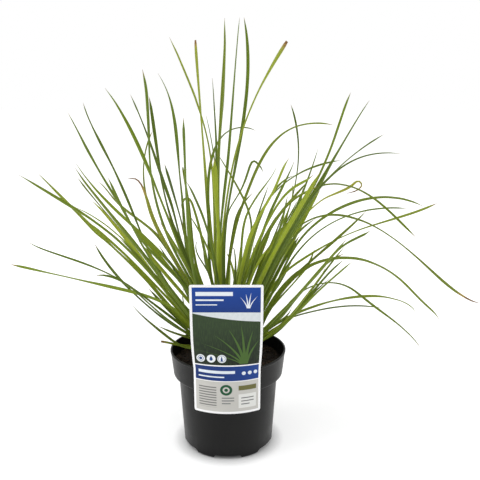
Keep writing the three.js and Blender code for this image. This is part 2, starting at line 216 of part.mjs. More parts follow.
    [22.3, 7.3, 111.4, .86, -.05, -.09, 29.5, 10.1, 151.1, 1.21, -.13, -.29, 42.8, 15.2, 191.8, 1.16, -.17, -.44, 59.2, 22, 226.3, 1.03, -.58, -.41, 86, 34.5, 271.3, .75, -.98, -.19, 109.6, 45.7, 303.5, .57, -1.11, -.03, 133.8, 57.1, 328.9, .4, -1.17, .16, 170.2, 73.2, 356.5, .49, -.49, -.46, 185, 78.3, 365.7, .44, -.25, -.62, 198.2, 80.7, 373.4, .16, -.23, -.24],
    [19.8, 7.2, 112.6, 1.01, .34, -.13, 26.6, 10.3, 150, 1.4, .42, -.41, 38.2, 15.7, 184.9, 1.33, .37, -.63, 54.5, 23.5, 217.1, 1.1, .63, -.83, 78.5, 36, 253.9, .76, .94, -.91, 96.1, 45.6, 275.6, .38, 1.12, -.95, 114.3, 55.1, 290.4, .06, 1.13, -1, 126.6, 61, 296.6, .05, .92, -1.2, 150.1, 71.1, 304.9, .57, .03, -1.3, 163.3, 75.9, 313.4, .44, .25, -1.06, 166.7, 76.7, 313.5, -.46, .48, -.8, 169.5, 77.3, 311.1, -.66, .59, -.31, 170.2, 77.9, 307.6, -.55, .63, .21, 167.1, 78.5, 303.6, -.3, .52, .46, 149.6, 79.1, 296.4, -.13, .22, .27],
    [20.8, 6.3, 112.2, 1.25, .38, -.18, 27.1, 8.3, 138.9, 1.72, .44, -.62, 39.3, 12.2, 168.1, 1.63, .38, -.86, 67.3, 23.3, 222.2, 1.63, .25, -.89, 99.5, 38.9, 284.9, 1.62, -.32, -.82, 113.4, 43.4, 308.4, .48, .14, -.31],
  ]],
  [[12.3, 6.6], [
    [13.5, 7.2, 112.2, .88, -.02, -.06, 18.4, 10.4, 150.7, 1.23, -.09, -.23, 27.6, 15.8, 185.9, 1.19, -.13, -.37, 41.6, 23.9, 219.8, 1.05, -.58, -.36, 74.9, 44.2, 282.2, .65, -.7, -.05, 79.8, 48.5, 300.1, .6, -.25, -.03, 78.4, 50.3, 314.9, .31, -.14, .11],
    [11.8, 6.1, 111.4, .86, -.02, -.05, 16.1, 5.7, 145.3, 1.22, -.09, -.24, 25.3, 4.9, 179.9, 1.18, -.14, -.39, 40.1, 3.2, 217.8, 1.05, -.46, -.49, 65.8, -.1, 271.1, .69, -.4, -.31, 72.5, -1.2, 295.7, .29, -.13, -.04],
  ]],
  [[16.5, 14], [
    [17.6, 14.7, 111.1, .95, .15, -.09, 19.5, 18.9, 149.9, 1.37, .28, -.09, 21.5, 24, 178.4, 1.36, .25, -.22, 25.6, 29.8, 199.5, 1.33, .19, -.42, 32.8, 37.8, 220.8, 1.28, .11, -.57, 43.1, 48.4, 242, 1.22, .03, -.7, 56.1, 61.2, 261.7, 1.15, -.12, -.8, 88.3, 89.7, 295.6, .94, -.18, -.82, 95.9, 94.7, 303.2, .73, -.04, -.67, 102.3, 97.1, 310.3, .35, .14, -.33],
    [16.2, 14.9, 111.6, .86, -.03, -.07, 22.1, 20.4, 156.6, 1.23, -.09, -.23, 26.9, 24.7, 176.3, 1.2, -.12, -.32, 32.9, 29.7, 194.1, 1.17, -.15, -.42, 47.1, 40.7, 222.5, 1.09, -.1, -.6, 79.7, 66.5, 274.1, .73, -.12, -.36, 88, 71.1, 290.5, .32, .07, -.15],
    [16.5, 13, 112, .87, -.03, -.07, 20.8, 18.1, 152, 1.24, -.07, -.17, 27.9, 25.7, 183.9, 1.2, -.13, -.34, 36.3, 33, 204.6, 1.13, -.28, -.44, 50.6, 45.2, 232.2, .88, -.86, -.04, 61.4, 56.2, 256.3, .72, -.28, -.17, 68.1, 61.1, 274.3, .31, -.16, -.09],
  ]],
  [[8.3, 14.4], [
    [9, 14.6, 111.2, .89, -.01, -.04, 10.6, 18.2, 131.4, 1.29, -.04, -.13, 13.2, 23.4, 149.8, 1.28, -.07, -.21, 17.2, 30.5, 167.3, 1.26, -.1, -.3, 22.8, 39.6, 184.1, 1.23, -.13, -.4, 38.8, 63.5, 216.4, 1.19, -.16, -.49, 56.1, 94.4, 252.5, 1.16, -.17, -.56, 64.7, 104.8, 263.3, .88, -.16, -.76, 74.4, 109.9, 270.9, .37, .07, -.62],
    [7.8, 14.8, 111.4, .98, -.42, -.01, 11.5, 20.6, 140.7, 1.39, -.67, -.1, 19.5, 31.6, 169.5, 1.39, -.67, -.16, 31.3, 48.2, 198.9, 1.41, -.58, -.26, 51.1, 78.1, 241.6, 1.33, -.17, -.48, 56.7, 83.6, 255.5, .4, -.24, -.11],
    [7.8, 14.2, 111.4, .86, -.01, -.03, 10.6, 19.5, 143.8, 1.24, -.05, -.16, 16.7, 28.5, 172.7, 1.21, -.1, -.31, 24.4, 37.9, 193.6, 1.15, -.15, -.46, 41.2, 55.8, 223.3, .89, -.12, -.39, 45.9, 59.6, 234.9, .63, .06, -.2],
  ]],
  [[4, 21.3], [
    [4.6, 21.7, 111.3, .92, 0, -.03, 6.9, 29.8, 140.2, 1.33, -.04, -.15, 11.2, 43.9, 170, 1.32, -.05, -.17, 15.8, 69.9, 211.9, 1.23, -.46, .24, 16.8, 84.2, 232, 1.32, -.19, .06, 18.6, 96.8, 247, 1.32, -.18, -.08, 22.4, 110.7, 260.2, 1.26, -.43, 0, 28.4, 125.6, 271.4, 1.17, -.62, .14, 40.1, 149.7, 285.7, 1.18, -.55, -.09, 57.6, 181.4, 304.1, .63, -.47, .11, 63.8, 190.7, 312.5, .41, -.37, .04, 68.6, 195.9, 322, .32, -.19, -.06],
    [3.2, 20.9, 111.1, 1.35, .63, -.1, 4.4, 24.9, 128.8, 1.9, .8, -.43, 6.7, 30.4, 144.7, 1.94, .74, -.65, 10, 38.2, 160.8, 1.91, .65, -.81, 14.5, 49, 178.3, 1.9, .56, -.91, 25.5, 78.3, 215.6, 2.05, .14, -.72, 36.1, 108, 246.9, 1.9, -.13, -.68, 44.5, 124.6, 263.2, 1.21, -.12, -.62, 51.6, 131.1, 274.3, .38, .15, -.3],
  ]],
  [[.4, 14.3], [
    [.6, 15.7, 112.6, .89, .02, .01, -1.1, 22.4, 138.6, 1.24, .07, .11, -4.7, 32.9, 165, 1.24, .08, .15, -9.6, 51.5, 200.1, 1.24, .06, .1, -12.5, 74.8, 239.1, 1.17, .4, -.19, -14.2, 96.8, 272.6, .98, .67, -.41, -16.7, 118.6, 302, .83, .78, -.52, -20.9, 143.6, 332.1, .75, .81, -.58, -27.8, 173.6, 366.7, .53, .56, -.33, -31.6, 184.9, 382.8, .41, .36, -.1, -35.2, 190.5, 397.4, .21, .19, .01],
    [-.9, 14.7, 112.5, 1.36, -.51, .09, -2.7, 17.8, 134.5, 1.92, -.65, .36, -6.9, 22.1, 158, 1.89, -.61, .53, -16.1, 33.3, 201.7, 1.92, -.54, .49, -22.5, 46.6, 248, 2, -.38, .33, -26.6, 60.1, 292.5, 1.98, -.46, .31, -31.3, 78.6, 348.2, 1.19, -1.55, .65, -41.1, 119.3, 457.9, 1.45, -1.35, .56, -42.5, 124.3, 475.8, 1.47, -1.35, .41, -43.5, 126.8, 491.3, 1.06, -.93, .16],
    [.9, 14, 111.3, .94, .21, -.01, -.8, 14.7, 130.1, 1.3, .41, .21, -5.6, 16.1, 149.8, 1.27, .48, .33, -16, 21.5, 182.1, 1.28, .49, .28, -21.7, 28, 207.5, 1.33, .42, .07, -23.7, 35.4, 231.6, 1.35, .37, -.07, -24.5, 50.1, 274.7, 1.36, .32, -.08, -25.2, 62.4, 305.8, 1.37, .26, -.12, -24, 71.5, 326.7, 1.36, .2, -.25, -21.3, 79, 342.2, 1.27, .35, -.48, -17, 86.5, 355.6, .91, .68, -.81, -12, 93.1, 365, .44, .79, -.93, -4.8, 100.6, 372.9, .02, .73, -.87, 4.8, 108.8, 378.1, -.18, .56, -.76, 15.9, 116.8, 380.1, -.18, .31, -.69, 27.4, 123.3, 378.9, -.24, .18, -.61, 36.3, 126.5, 375, -.25, .18, -.32],
  ]],
  [[-4.4, 21.2], [
    [-3.5, 21.9, 111.4, .97, -.45, .08, -5.9, 25.9, 125.9, 1.25, -.45, .55, -12.9, 33, 141.2, 1.21, -.34, .92, -36, 58.1, 172.8, 1.18, -.22, .99, -44.8, 70.3, 188.4, 1.34, -.26, .75, -65.3, 115.3, 256.3, .82, -.93, .94, -83.8, 152.3, 305.5, 1.45, .19, .42, -87.9, 158.8, 316.7, 1.35, .08, .43, -91.6, 162.4, 328.2, .59, -.21, .21],
    [-5.2, 20.9, 111.9, 1.09, .35, 0, -8.2, 26.5, 139.3, 1.53, .57, .12, -14.8, 36.7, 167.1, 1.53, .56, .18, -26.8, 57.7, 206.9, 1.41, .83, -.08, -38.8, 85.6, 250.8, 1.49, .69, -.02, -49, 106.9, 278.1, 1.33, .94, -.19, -54.8, 114.1, 285.7, 1.01, 1.11, .65, -58.8, 116.6, 285.2, -.04, 1.07, 1.24, -62.5, 119.4, 280.9, -.93, .94, .95, -64.5, 122.1, 274, -1.15, .83, .35, -63.9, 123.3, 268.6, -.86, .64, -.14],
  ]],
  [[-8.3, 14.4], [
    [-7.7, 15, 111.4, .89, .04, .04, -10.1, 17.3, 129.4, 1.22, .13, .24, -15.4, 21, 147.8, 1.21, .19, .39, -34.8, 36.1, 194.4, 1.21, .19, .39, -42, 44.5, 218.7, 1.26, .16, .21, -50.4, 66.1, 284.1, 1.12, .6, -.05, -56.3, 77.7, 316.2, .96, .14, .14, -58.6, 81.5, 331.3, .62, .16, -.37, -51.5, 82.6, 326.2, -.21, .12, -.3],
    [-9.5, 15, 111.7, .87, .04, .04, -11.1, 21.6, 145.5, 1.25, .07, .07, -14.7, 31.2, 172.8, 1.22, .12, .22, -18.1, 37.1, 184.7, 1.19, .21, .31, -23, 44, 195.9, 1.03, .7, .06, -41.5, 65.6, 223.6, .66, .41, 0, -42.5, 69.8, 232.3, .52, .15, -.14, -39.2, 71.7, 240, .29, .09, -.2],
    [-8.4, 13.5, 111.7, 1.09, -.26, .05, -10.9, 12.9, 130, 1.52, -.3, .32, -17.2, 11.3, 152.5, 1.52, -.29, .44, -33.3, 8, 192.4, 1.49, -.32, .53, -40.1, 6.1, 213.9, 1.53, -.31, .38, -49.7, -.5, 260.3, 1.36, .18, .29, -53.2, -1.9, 275.7, .4, -.13, .1],
  ]],
  [[-16.4, 13.9], [
    [-15.9, 15, 111.8, 1.2, .65, .05, -21.3, 19.1, 136.4, 1.62, 1.06, .32, -32, 26.1, 159.8, 1.56, 1.1, .45, -51, 39.9, 189.4, 1.57, 1.04, .53, -77.2, 61.7, 226.8, 1.62, .79, .76, -88, 70.7, 238.7, 1.51, 1.02, .7, -99.5, 79.8, 248.2, 1.37, 1.3, .53, -139.6, 110, 271.1, 1.23, 1.33, .38, -153, 120.2, 280.3, .93, 1.16, .03, -169.1, 132.1, 296.3, .54, .71, .12, -180.2, 136, 305.6, .15, .32, .43],
    [-18, 14.4, 112.5, .88, .07, .08, -24.1, 18.9, 140.1, 1.18, .19, .36, -36, 26.6, 166.5, 1.11, .25, .52, -52.1, 37.8, 192.1, 1.06, .27, .6, -87.5, 65.5, 244.1, 1.06, .57, .33, -98.2, 75.4, 264.6, .98, .77, .1, -105.8, 83.7, 284.8, .88, .88, -.07, -111, 91.9, 309.5, .74, .97, -.19, -111.5, 97.7, 333.3, .57, .79, -.2, -107.6, 101.3, 355.2, .78, .25, -.25, -99.3, 102.8, 376.1, .46, .3, -.25],
    [-17.1, 13.4, 112.6, 1.01, .49, .08, -20.7, 14.9, 133, 1.37, .76, .26, -26.6, 16.9, 150.6, 1.26, .85, .46, -43.3, 21.2, 181.6, 1.18, .89, .57, -55.6, 24.5, 199, 1.1, .93, .66, -70.6, 29.1, 216.4, 1.05, .96, .7, -89.1, 35.1, 235, 1.01, .98, .73, -165, 61.5, 302.8, .78, .92, .43, -181.6, 67.3, 321.8, .34, .75, .09, -192.8, 69.8, 338.4, .15, .3, .07],
  ]],
  [[-12.2, 7], [
    [-12.2, 7.8, 112, 1.3, -.31, .11, -15, 8.7, 130.6, 1.81, -.35, .44, -21.3, 10.1, 150.4, 1.75, -.29, .7, -55.7, 17.8, 231.6, 1.62, -.7, .73, -83.6, 26.4, 302.7, 1.05, -1.48, .6, -99.9, 31.9, 343.9, 1.7, -.43, .77, -122.9, 39.7, 392.3, 1.24, .14, .66, -135.6, 43.2, 413.6, .6, -.51, .46, -146.4, 44.7, 429.1, .19, -.32, .16],
    [-13.9, 6, 111.4, 1.11, .5, .07, -18.3, 8.5, 137.7, 1.52, .83, .3, -29.3, 13.1, 171.3, 1.47, .88, .39, -61, 29.2, 244.5, 1.43, .95, .35, -76, 39.4, 289.1, .75, 1.58, -.14, -86, 49.6, 338.9, 1.12, 1.35, -.1, -92.9, 59.4, 390.9, 1.62, .23, .18, -97.1, 62.7, 419.4, .54, .37, .07],
  ]],
  [[-20.7, 7.4], [
    [-19.8, 8, 111.1, .93, .47, .06, -22.1, 8.9, 118.7, .93, .71, .4, -28, 10.8, 125.5, .9, .91, .69, -63.4, 22.6, 148, .98, .84, .82, -91.5, 35.9, 172.7, .96, .39, .82, -101.8, 39.6, 182.8, .26, .26, .22],
    [-22.1, 7.1, 111.8, .86, .08, .09, -27.3, 11.9, 144.4, 1.21, .16, .26, -32.7, 19, 171.1, 1.18, .2, .37, -41.5, 28, 192.3, 1.14, .38, .33, -50.4, 36.7, 209.6, .74, .99, -.12, -66.1, 50.5, 231.8, .37, .58, -.04, -74.9, 54.7, 242.3, .17, .21, .11],
  ]],
  [[-24.2, -.1], [
    [-23.7, .4, 111.5, .85, .09, .11, -27, .9, 122.7, .98, .23, .42, -33.6, 1.7, 133.8, .99, .33, .69, -62.5, 5.3, 168.4, .98, -.12, .77, -96.4, 11.1, 216.1, .78, -.7, .68, -113, 14.1, 236.4, .58, -.88, .67, -129.5, 17.2, 252.9, .42, -.97, .66, -146.5, 20.4, 266.8, .35, -.75, .67, -166.3, 23.8, 279.5, .3, -.26, .59, -184.7, 25.6, 288.9, .14, -.04, .3],
    [-25.4, -.6, 111.3, 1.24, -.32, .19, -31.8, 1, 131.1, 1.64, -.28, .85, -44.4, 3.8, 150.3, 1.44, -.18, 1.18, -78.7, 12.8, 191.3, 1.46, .02, 1.17, -128.7, 29, 253.9, 1.3, -.46, 1.24, -153.1, 37.1, 280.6, .8, .16, .74, -168.4, 40.1, 295.8, .26, -.12, .28],
  ]],
  [[-28.1, -7.3], [
    [-27.4, -6, 111.9, .88, .12, .16, -32.7, -8, 125.9, .99, .31, .6, -44.6, -10.6, 142.1, .86, .4, .87, -74.2, -17.6, 170.6, .55, .8, .85, -114.7, -31.6, 208.7, -.12, 1.22, .4, -141.1, -42.3, 228.3, -.3, 1.21, .33, -196.2, -67.5, 258.5, .17, .35, .56, -207.7, -71.1, 265.6, .18, .25, .32, -210, -71.5, 268.5, .22, .24, .1],
    [-28.7, -6.7, 111.8, .85, .11, .14, -32.2, -8.2, 122.1, .9, .28, .53, -41.6, -11.6, 135.9, .83, .39, .85, -74.4, -24.2, 167.2, .93, -.62, .57, -109, -44.5, 209.6, .94, -.46, .57, -118.1, -50.6, 218.6, .59, .15, .82, -126.6, -56, 224.5, .3, .32, .92, -135.2, -60.4, 227.6, .07, .23, .9, -142.6, -62.3, 227.6, -.09, -.07, .64],
    [-28.9, -8.5, 112.1, .86, .11, .13, -35.5, -9.4, 141.1, 1.16, .23, .4, -41.9, -9.7, 157, 1.1, .27, .52, -49.1, -10.5, 170.1, 1, .32, .67, -107.4, -18.6, 242.6, .72, .27, .63, -124.1, -20.5, 260.5, .22, -.03, .24],
  ]],
  [[-23.9, -14.3], [
    [-23.7, -13.5, 111.4, 1.16, .13, .15, -30.2, -15.7, 134.5, 1.52, .34, .69, -44.2, -19.6, 160.3, 1.42, .14, .92, -74.3, -30.3, 204, 1.39, -.5, .84, -106.8, -45.5, 249.1, 1.3, -.87, .66, -124, -54.7, 270, 1.27, -.88, .7, -141.9, -64.9, 288.5, 1.23, -.92, .72, -188.9, -95.5, 330.1, .57, .06, .73, -197.6, -99.8, 337, .41, -.23, .43, -205.6, -101.9, 342.7, .18, -.21, .21],
    [-25.2, -14.2, 112.3, .88, .11, .14, -28.9, -15.6, 127, 1.1, .23, .41, -35.4, -17.9, 142, 1.07, .31, .61, -45, -21.5, 158.2, .97, .38, .73, -59.2, -27.7, 178.9, .76, .68, .77, -98.5, -49.8, 232.9, .39, .96, .74, -132.3, -74.4, 278, .71, .33, .78, -144, -79.5, 290.5, .29, .36, .39],
    [-24.1, -15.3, 112.4, 1.17, .13, .16, -29.7, -18.1, 136.5, 1.55, .32, .58, -40.2, -22.7, 160.5, 1.46, .26, .8, -57.9, -32.4, 191.4, 1.41, .23, .89, -78.8, -46.9, 228.6, 1.44, .12, .86, -95.2, -62.4, 258.9, 1.48, .03, .8, -118.4, -89.1, 300.8, 1.47, -.64, .38, -136, -111.6, 334.9, .81, -.1, .34, -144.4, -118.4, 351.8, .29, -.14, .13],
  ]],
  [[-12.3, -20.9], [
    [-11.6, -20.5, 112.8, 1.26, .09, .1, -15.4, -25.9, 141.2, 1.72, .22, .38, -22, -34.9, 171.1, 1.68, .27, .51, -32, -52.7, 213.2, 1.74, -.01, .35, -37.1, -69.4, 248.7, 1.76, -.19, .04, -38.2, -87.8, 286, 1.72, -.4, -.19, -38.5, -106, 318, .95, -1.27, -.79, -37.7, -123.7, 345.1, .92, -1.14, -.84, -35.5, -153.3, 385, 1.04, .06, -.01, -35, -160.1, 400, .38, -.15, -.04],
    [-14.2, -21.1, 112.2, .89, .06, .06, -19.9, -26.7, 150.7, 1.22, .17, .31, -31.2, -36.9, 189.8, 1.16, .23, .47, -42, -48.2, 218.8, 1.14, .18, .53, -56.1, -65.2, 254.3, 1.21, -.11, .39, -69, -87.7, 300.2, 1.21, -.38, .07, -72.5, -97.7, 322.4, 1.08, -.65, -.15, -74.1, -106.5, 343.9, .8, -.93, -.34, -71.4, -136.5, 419.6, 1.06, .15, .08, -72.1, -140.9, 431.6, .87, .03, .1, -73.7, -143.2, 441.8, .44, -.14, .07],
    [-12.6, -22.4, 111.1, 1.02, -.11, .07, -14.9, -24.5, 132.7, 1.48, -.17, .19, -18.8, -28.1, 154.2, 1.46, -.19, .27, -23.9, -33.3, 175.5, 1.45, -.21, .33, -30.3, -40.6, 197.4, 1.43, -.24, .36, -43.8, -58.7, 236.4, 1.42, -.24, .4, -61.5, -87.3, 281, 1.04, .24, .6, -67.4, -92.7, 292.8, .34, -.1, .17],
  ]],
  [[12.1, -20.8], [
    [13.1, -20.4, 111.5, 1.31, -.04, -.1, 16.8, -24.2, 141.2, 1.85, -.14, -.34, 22.6, -30.5, 169, 1.77, -.38, -.54, 30.6, -40.4, 197.8, 1.61, -.64, -.76, 39.9, -53.4, 225.7, 1.47, -.75, -.92, 49.2, -68.4, 251.1, 1.36, -.81, -1.04, 59.1, -86.6, 276.6, 1.23, -.86, -1.15, 69, -108.1, 302.1, 1.18, -.81, -1.19, 82.1, -141.7, 337, 1.17, -.25, -.67, 87.8, -149.9, 350.3, .21, -.29, -.18],
    [11.5, -21.4, 111.6, .86, -.02, -.06, 15, -23.5, 132.6, 1.2, -.13, -.32, 22.8, -27.8, 156.4, 1.14, -.19, -.48, 37.2, -37.9, 190.7, 1.1, -.26, -.54, 51.3, -51.5, 226.8, .86, -.67, -.61, 61.6, -63.8, 252.9, .67, -.78, -.71, 71.1, -75.3, 272, .63, -.44, -.66, 82.6, -87.8, 288.4, .51, -.19, -.61, 92.3, -93, 296.6, .13, -.2, -.27],
  ]],
  [[24.7, -14.2], [
    [25.6, -13.6, 111.3, 1.07, -.08, -.16, 29.5, -17, 126.8, 1.35, -.26, -.57, 36.9, -22.5, 142.4, 1.29, -.3, -.85, 48, -31.7, 160.1, 1.33, .1, -.84, 61.5, -45.3, 180.1, 1.39, .47, -.57, 85.8, -78.1, 221, 1.46, .35, -.47, 97, -98.5, 243.5, 1.45, .11, -.57, 110.9, -128.4, 274.2, .67, -.17, -.48, 116.8, -135, 284.4, .29, .05, -.19],
    [24.4, -13.7, 112, .86, -.07, -.13, 28.3, -15.4, 124.8, .99, -.22, -.51, 37.1, -18.7, 138.9, .91, -.33, -.79, 67.7, -34, 178.1, 1.03, .01, -.71, 95.6, -55, 223.3, 1.09, .4, -.44, 112, -69.5, 246.3, .5, -.17, -.61, 119.6, -74.5, 252.6, .31, -.15, -.59, 126.6, -76.8, 256, .11, .05, -.3],
    [24.9, -15.4, 112, .86, -.07, -.14, 27.6, -16.7, 120.4, .9, -.22, -.49, 33.9, -19, 129.4, .83, -.37, -.86, 56.4, -28.6, 150.6, .75, -.39, -.92, 73, -38, 169.9, .97, -.06, -.79, 99.8, -57.3, 206.4, 1.05, .47, -.49, 124.5, -78.9, 239.5, .52, -.21, -.55, 133.5, -83.5, 249.4, .25, .01, -.26],
  ]],
  [[28.3, -7.4], [
    [29.6, -6.9, 111.3, 1.56, -.15, -.27, 41.6, -10, 156.5, 2.03, -.69, -.83, 50.1, -11.9, 175.5, 1.92, -.69, -1.07, 61.5, -14.8, 194.9, 1.81, -.54, -1.31, 72.7, -17.9, 209.5, 1.58, -.61, -1.55, 84.2, -21.3, 220.7, 1.01, -1.23, -1.66, 97.2, -25.1, 229.6, .07, -1.98, -1.17, 112.6, -29.8, 236.5, -.33, -2.08, -.93, 128.5, -34.8, 240.3, -.55, -2.05, -.89, 142.9, -39.6, 241, -.74, -2.08, -.66, 158.3, -45, 238.6, -.84, -2.13, -.26, 172.7, -50.4, 233.2, -.79, -2.16, .09, 184.5, -55.1, 226.3, -.87, -2.1, -.01, 195.2, -59.7, 217.7, -1.02, -1.73, -.26, 221.8, -70.5, 192.4, -.64, -.71, -.5, 232.6, -72.8, 180.3, -.3, -.35, -.16],
    [28.1, -6.7, 112.2, .86, -.08, -.15, 30.5, -7.6, 120.5, .95, -.19, -.41, 36.1, -8.7, 130.8, .99, -.31, -.7, 55.4, -12.1, 155.1, .98, -.21, -.75, 79.7, -18.7, 189.3, .88, .65, -.61, 96.3, -23.4, 203, .59, .93, -.59, 114.2, -28.4, 209.4, .39, .95, -.7, 129.7, -33, 209.3, .08, .86, -.91, 144.9, -38, 202.8, -.42, .61, -1.01, 196.5, -57.5, 165.6, -.27, .54, -.57, 207.6, -61.3, 155.4, -.3, .33, -.37, 216.8, -63.2, 144.3, -.3, .12, -.23],
    [28.2, -8, 111.6, .9, -.08, -.15, 31.2, -8.7, 120.4, .94, -.23, -.52, 37, -9.9, 128.6, .91, -.37, -.87, 62.3, -16.2, 152.3, .76, -.52, -.94, 77.5, -21.2, 169, .82, -.59, -.84, 115.7, -39, 225, .49, -.49, -.55, 123.7, -42.6, 234.7, .41, -.21, -.46, 130.8, -44.2, 241.3, .18, -.21, -.25],
  ]],
  [[24.6, -.3], [
    [26.1, .1, 111.1, 1.17, -.36, -.16, 28.9, -.5, 123.6, 1.39, -.59, -.48, 34.8, -1.6, 138, 1.43, -.78, -.75, 55.3, -6.2, 178.8, 1.39, -.75, -.85, 66.1, -9.1, 196, 1.26, -.73, -1.04, 81, -13.2, 214.6, 1.1, -.8, -1.17, 96.8, -18, 231.7, .34, -1.57, -.8, 140.9, -33.5, 278.4, .41, -.8, -.61, 155.7, -37.2, 295.4, .2, -.28, -.2],
    [24.2, -.1, 111.2, .85, -.06, -.11, 28.9, -.1, 130.7, 1.16, -.19, -.42, 38.1, -.2, 150.1, 1.05, -.26, -.62, 53, -.3, 171, .97, .06, -.79, 77.8, -.5, 199.5, .7, .85, -.59, 89.9, -.7, 214.9, .95, -.06, -.65, 98.1, -.8, 229.6, .89, -.2, -.39, 103, -.8, 244.8, .24, .11, -.05],
    [25.6, -1, 111.4, 1.02, -.38, -.13, 32.3, -2.2, 146.1, 1.37, -.68, -.39, 44, -4.9, 182, 1.26, -.78, -.56, 61.5, -9.8, 221.7, 1.23, -.69, -.71, 76, -14.4, 249.3, 1.17, -.26, -.7, 84.1, -16.1, 263.2, .29, -.25, -.19],
  ]],
  [[28.5, 7.4], [
    [29.6, 8, 111.1, .91, -.34, -.12, 33.2, 9.2, 121.2, .96, -.57, -.47, 39.8, 10.7, 129.5, .93, -.75, -.77, 50, 13.1, 137.6, .78, -.8, -.88, 64.6, 17, 146.1, .69, -.87, -.89, 99.3, 27.3, 159, .55, -1.03, -.81, 138.4, 40, 166.6, .47, -1.29, -.35, 175.9, 52.6, 167.8, .17, -.71, -1.22, 209.1, 63.7, 162.3, .28, -1.19, -.4, 225.6, 69, 156.5, .15, -.94, -.31, 238.5, 72.5, 149.7, -.19, -.52, -.48, 245.9, 74.1, 143.5, -.38, -.19, -.3, 247.3, 74.9, 136.1, -.32, -.05, .03],
    [28.3, 7.3, 111.1, .85, -.07, -.12, 33.4, 8.1, 124.2, .93, -.26, -.59, 44.3, 9.6, 135.6, .76, -.38, -.92, 61.4, 12.1, 145.6, .51, .09, -1.14, 83.1, 15.6, 153.3, .19, .61, -1.08, 114.3, 21.1, 159.6, .05, .61, -1.09, 143.3, 26.6, 162.3, -.09, .64, -1.07, 171, 32, 161.2, -.15, .31, -.8, 196.5, 35.4, 156.9, -.06, .11, -.23],
    [28.9, 6.2, 112, .86, -.08, -.14, 31.8, 6.4, 120, .88, -.22, -.5, 37.8, 6.6, 127.2, .79, -.36, -.86, 66.7, 7.6, 146.3, .73, -.39, -.94, 79.8, 8.3, 159, .91, -.38, -.77, 141, 11.8, 243.7, .22, -.21, -.17],
  ]],
  [[24.7, 14.2], [
    [26.6, 15.2, 113.2, 1.04, .3, -.15, 32.3, 16.1, 145.7, 1.42, .4, -.33, 41, 17.5, 176.8, 1.37, .43, -.49, 49.9, 19, 199.6, 1.23, .66, -.59, 72.1, 22.8, 247.4, .88, 1.09, -.58, 80.2, 24.1, 258.9, .64, 1.14, -.76, 91, 25.7, 267.9, .41, 1.15, -.9, 103.7, 27.6, 274.2, .23, 1.06, -1.05, 117.5, 29.6, 277.6, .03, .9, -1.22, 132, 31.7, 278, -.21, .78, -1.28, 149, 34.3, 275, -.44, .83, -1.18, 168.1, 37.3, 268.4, -.56, 1.08, -.9, 186.4, 40.3, 259.1, -.53, 1.31, -.54, 220.9, 46.2, 235.1, -.53, 1.37, -.36, 292.4, 58.3, 174.5, -.8, .05, -1.08, 313.5, 60.7, 161, -.39, .08, -.74, 328.8, 61.6, 155.8, -.1, .06, -.59],
    [24.5, 14.9, 111.3, .87, -.06, -.11, 31.9, 16.6, 142.1, 1.19, -.17, -.4, 46.6, 19.6, 175.4, 1.12, -.23, -.56, 61.1, 23, 197.8, .99, -.11, -.79, 79.2, 27, 214.5, .72, .1, -1.04, 114.3, 35.2, 235.3, .45, .5, -1.08, 145.3, 42.8, 249.7, .02, 1.04, -.73, 173.3, 49.9, 258.8, .06, .82, -.96, 237.3, 66, 275.5, .41, -.31, -1.15, 267.1, 70.9, 286.5, .31, .05, -.68],
    [25.1, 13.4, 112.4, .87, -.07, -.13, 28.8, 15.2, 127, 1.11, -.16, -.35, 35, 17.5, 142.3, 1.13, -.21, -.49, 62.7, 30.7, 195, 1, .31, -.69, 83.8, 42.1, 225, .74, .52, -.87, 106, 54, 246.1, .41, .63, -1, 118.5, 60.5, 254.3, .2, .72, -1, 133.7, 68.4, 261.7, -.01, .79, -.97, 166.3, 84.9, 271, -.2, .75, -.98, 186.7, 95.1, 273.6, -.16, .48, -.99, 208, 105, 274.2, -.03, .03, -.93, 225.6, 111.6, 273.4, -.05, -.05, -.88, 240.7, 114.8, 271.9, -.07, .13, -.41],
  ]],
  [[20.1, 21], [
    [20.1, 22, 112.1, .94, -.06, -.12, 22.6, 24.1, 118.7, .93, -.22, -.54, 28.7, 27.3, 124.3, .78, -.38, -.95, 55.9, 41.8, 134.3, .69, -.43, -1.07, 66.3, 48.5, 140.3, .95, -.37, -.88, 98.3, 73.2, 171.4, 1.01, -.36, -.82, 145.1, 111, 212.4, .98, -.8, -.46, 160.4, 122.8, 221.3, .76, -.59, -.72, 179.5, 135.4, 227.9, .56, -.37, -1.15, 190.4, 140.9, 231.8, .58, -.43, -.9, 197.7, 143.1, 236, .45, -.45, -.48],
    [19.7, 22, 111.5, 1.01, .37, -.16, 24.1, 25.8, 128.6, 1.32, .37, -.66, 33.3, 32.9, 145.1, 1.19, .25, -.98, 56.5, 52.8, 172.4, 1.15, .05, -1.06, 75.3, 73, 196.9, 1.16, -.26, -.64, 83.2, 78.2, 207, .34, .07, -.3],
    [21, 20.7, 111.9, 1.44, .57, -.21, 23.4, 24.7, 133.8, 2.04, .79, -.43, 26.7, 30.5, 154.9, 2.02, .72, -.63, 30.7, 37.2, 171.7, 1.96, .62, -.86, 36.5, 45.6, 187.7, 1.87, .49, -1.11, 50.8, 64.5, 213.2, 1.74, .22, -1.38, 80.6, 103.8, 253.7, 1.95, -.33, -1.04, 91, 118.6, 270.3, 2.03, -.33, -.85, 97.4, 128.1, 283.9, 1.68, -.16, -.54, 101.2, 132.8, 297.6, .44, .22, -.13],
  ]],
  [[12.3, 21], [
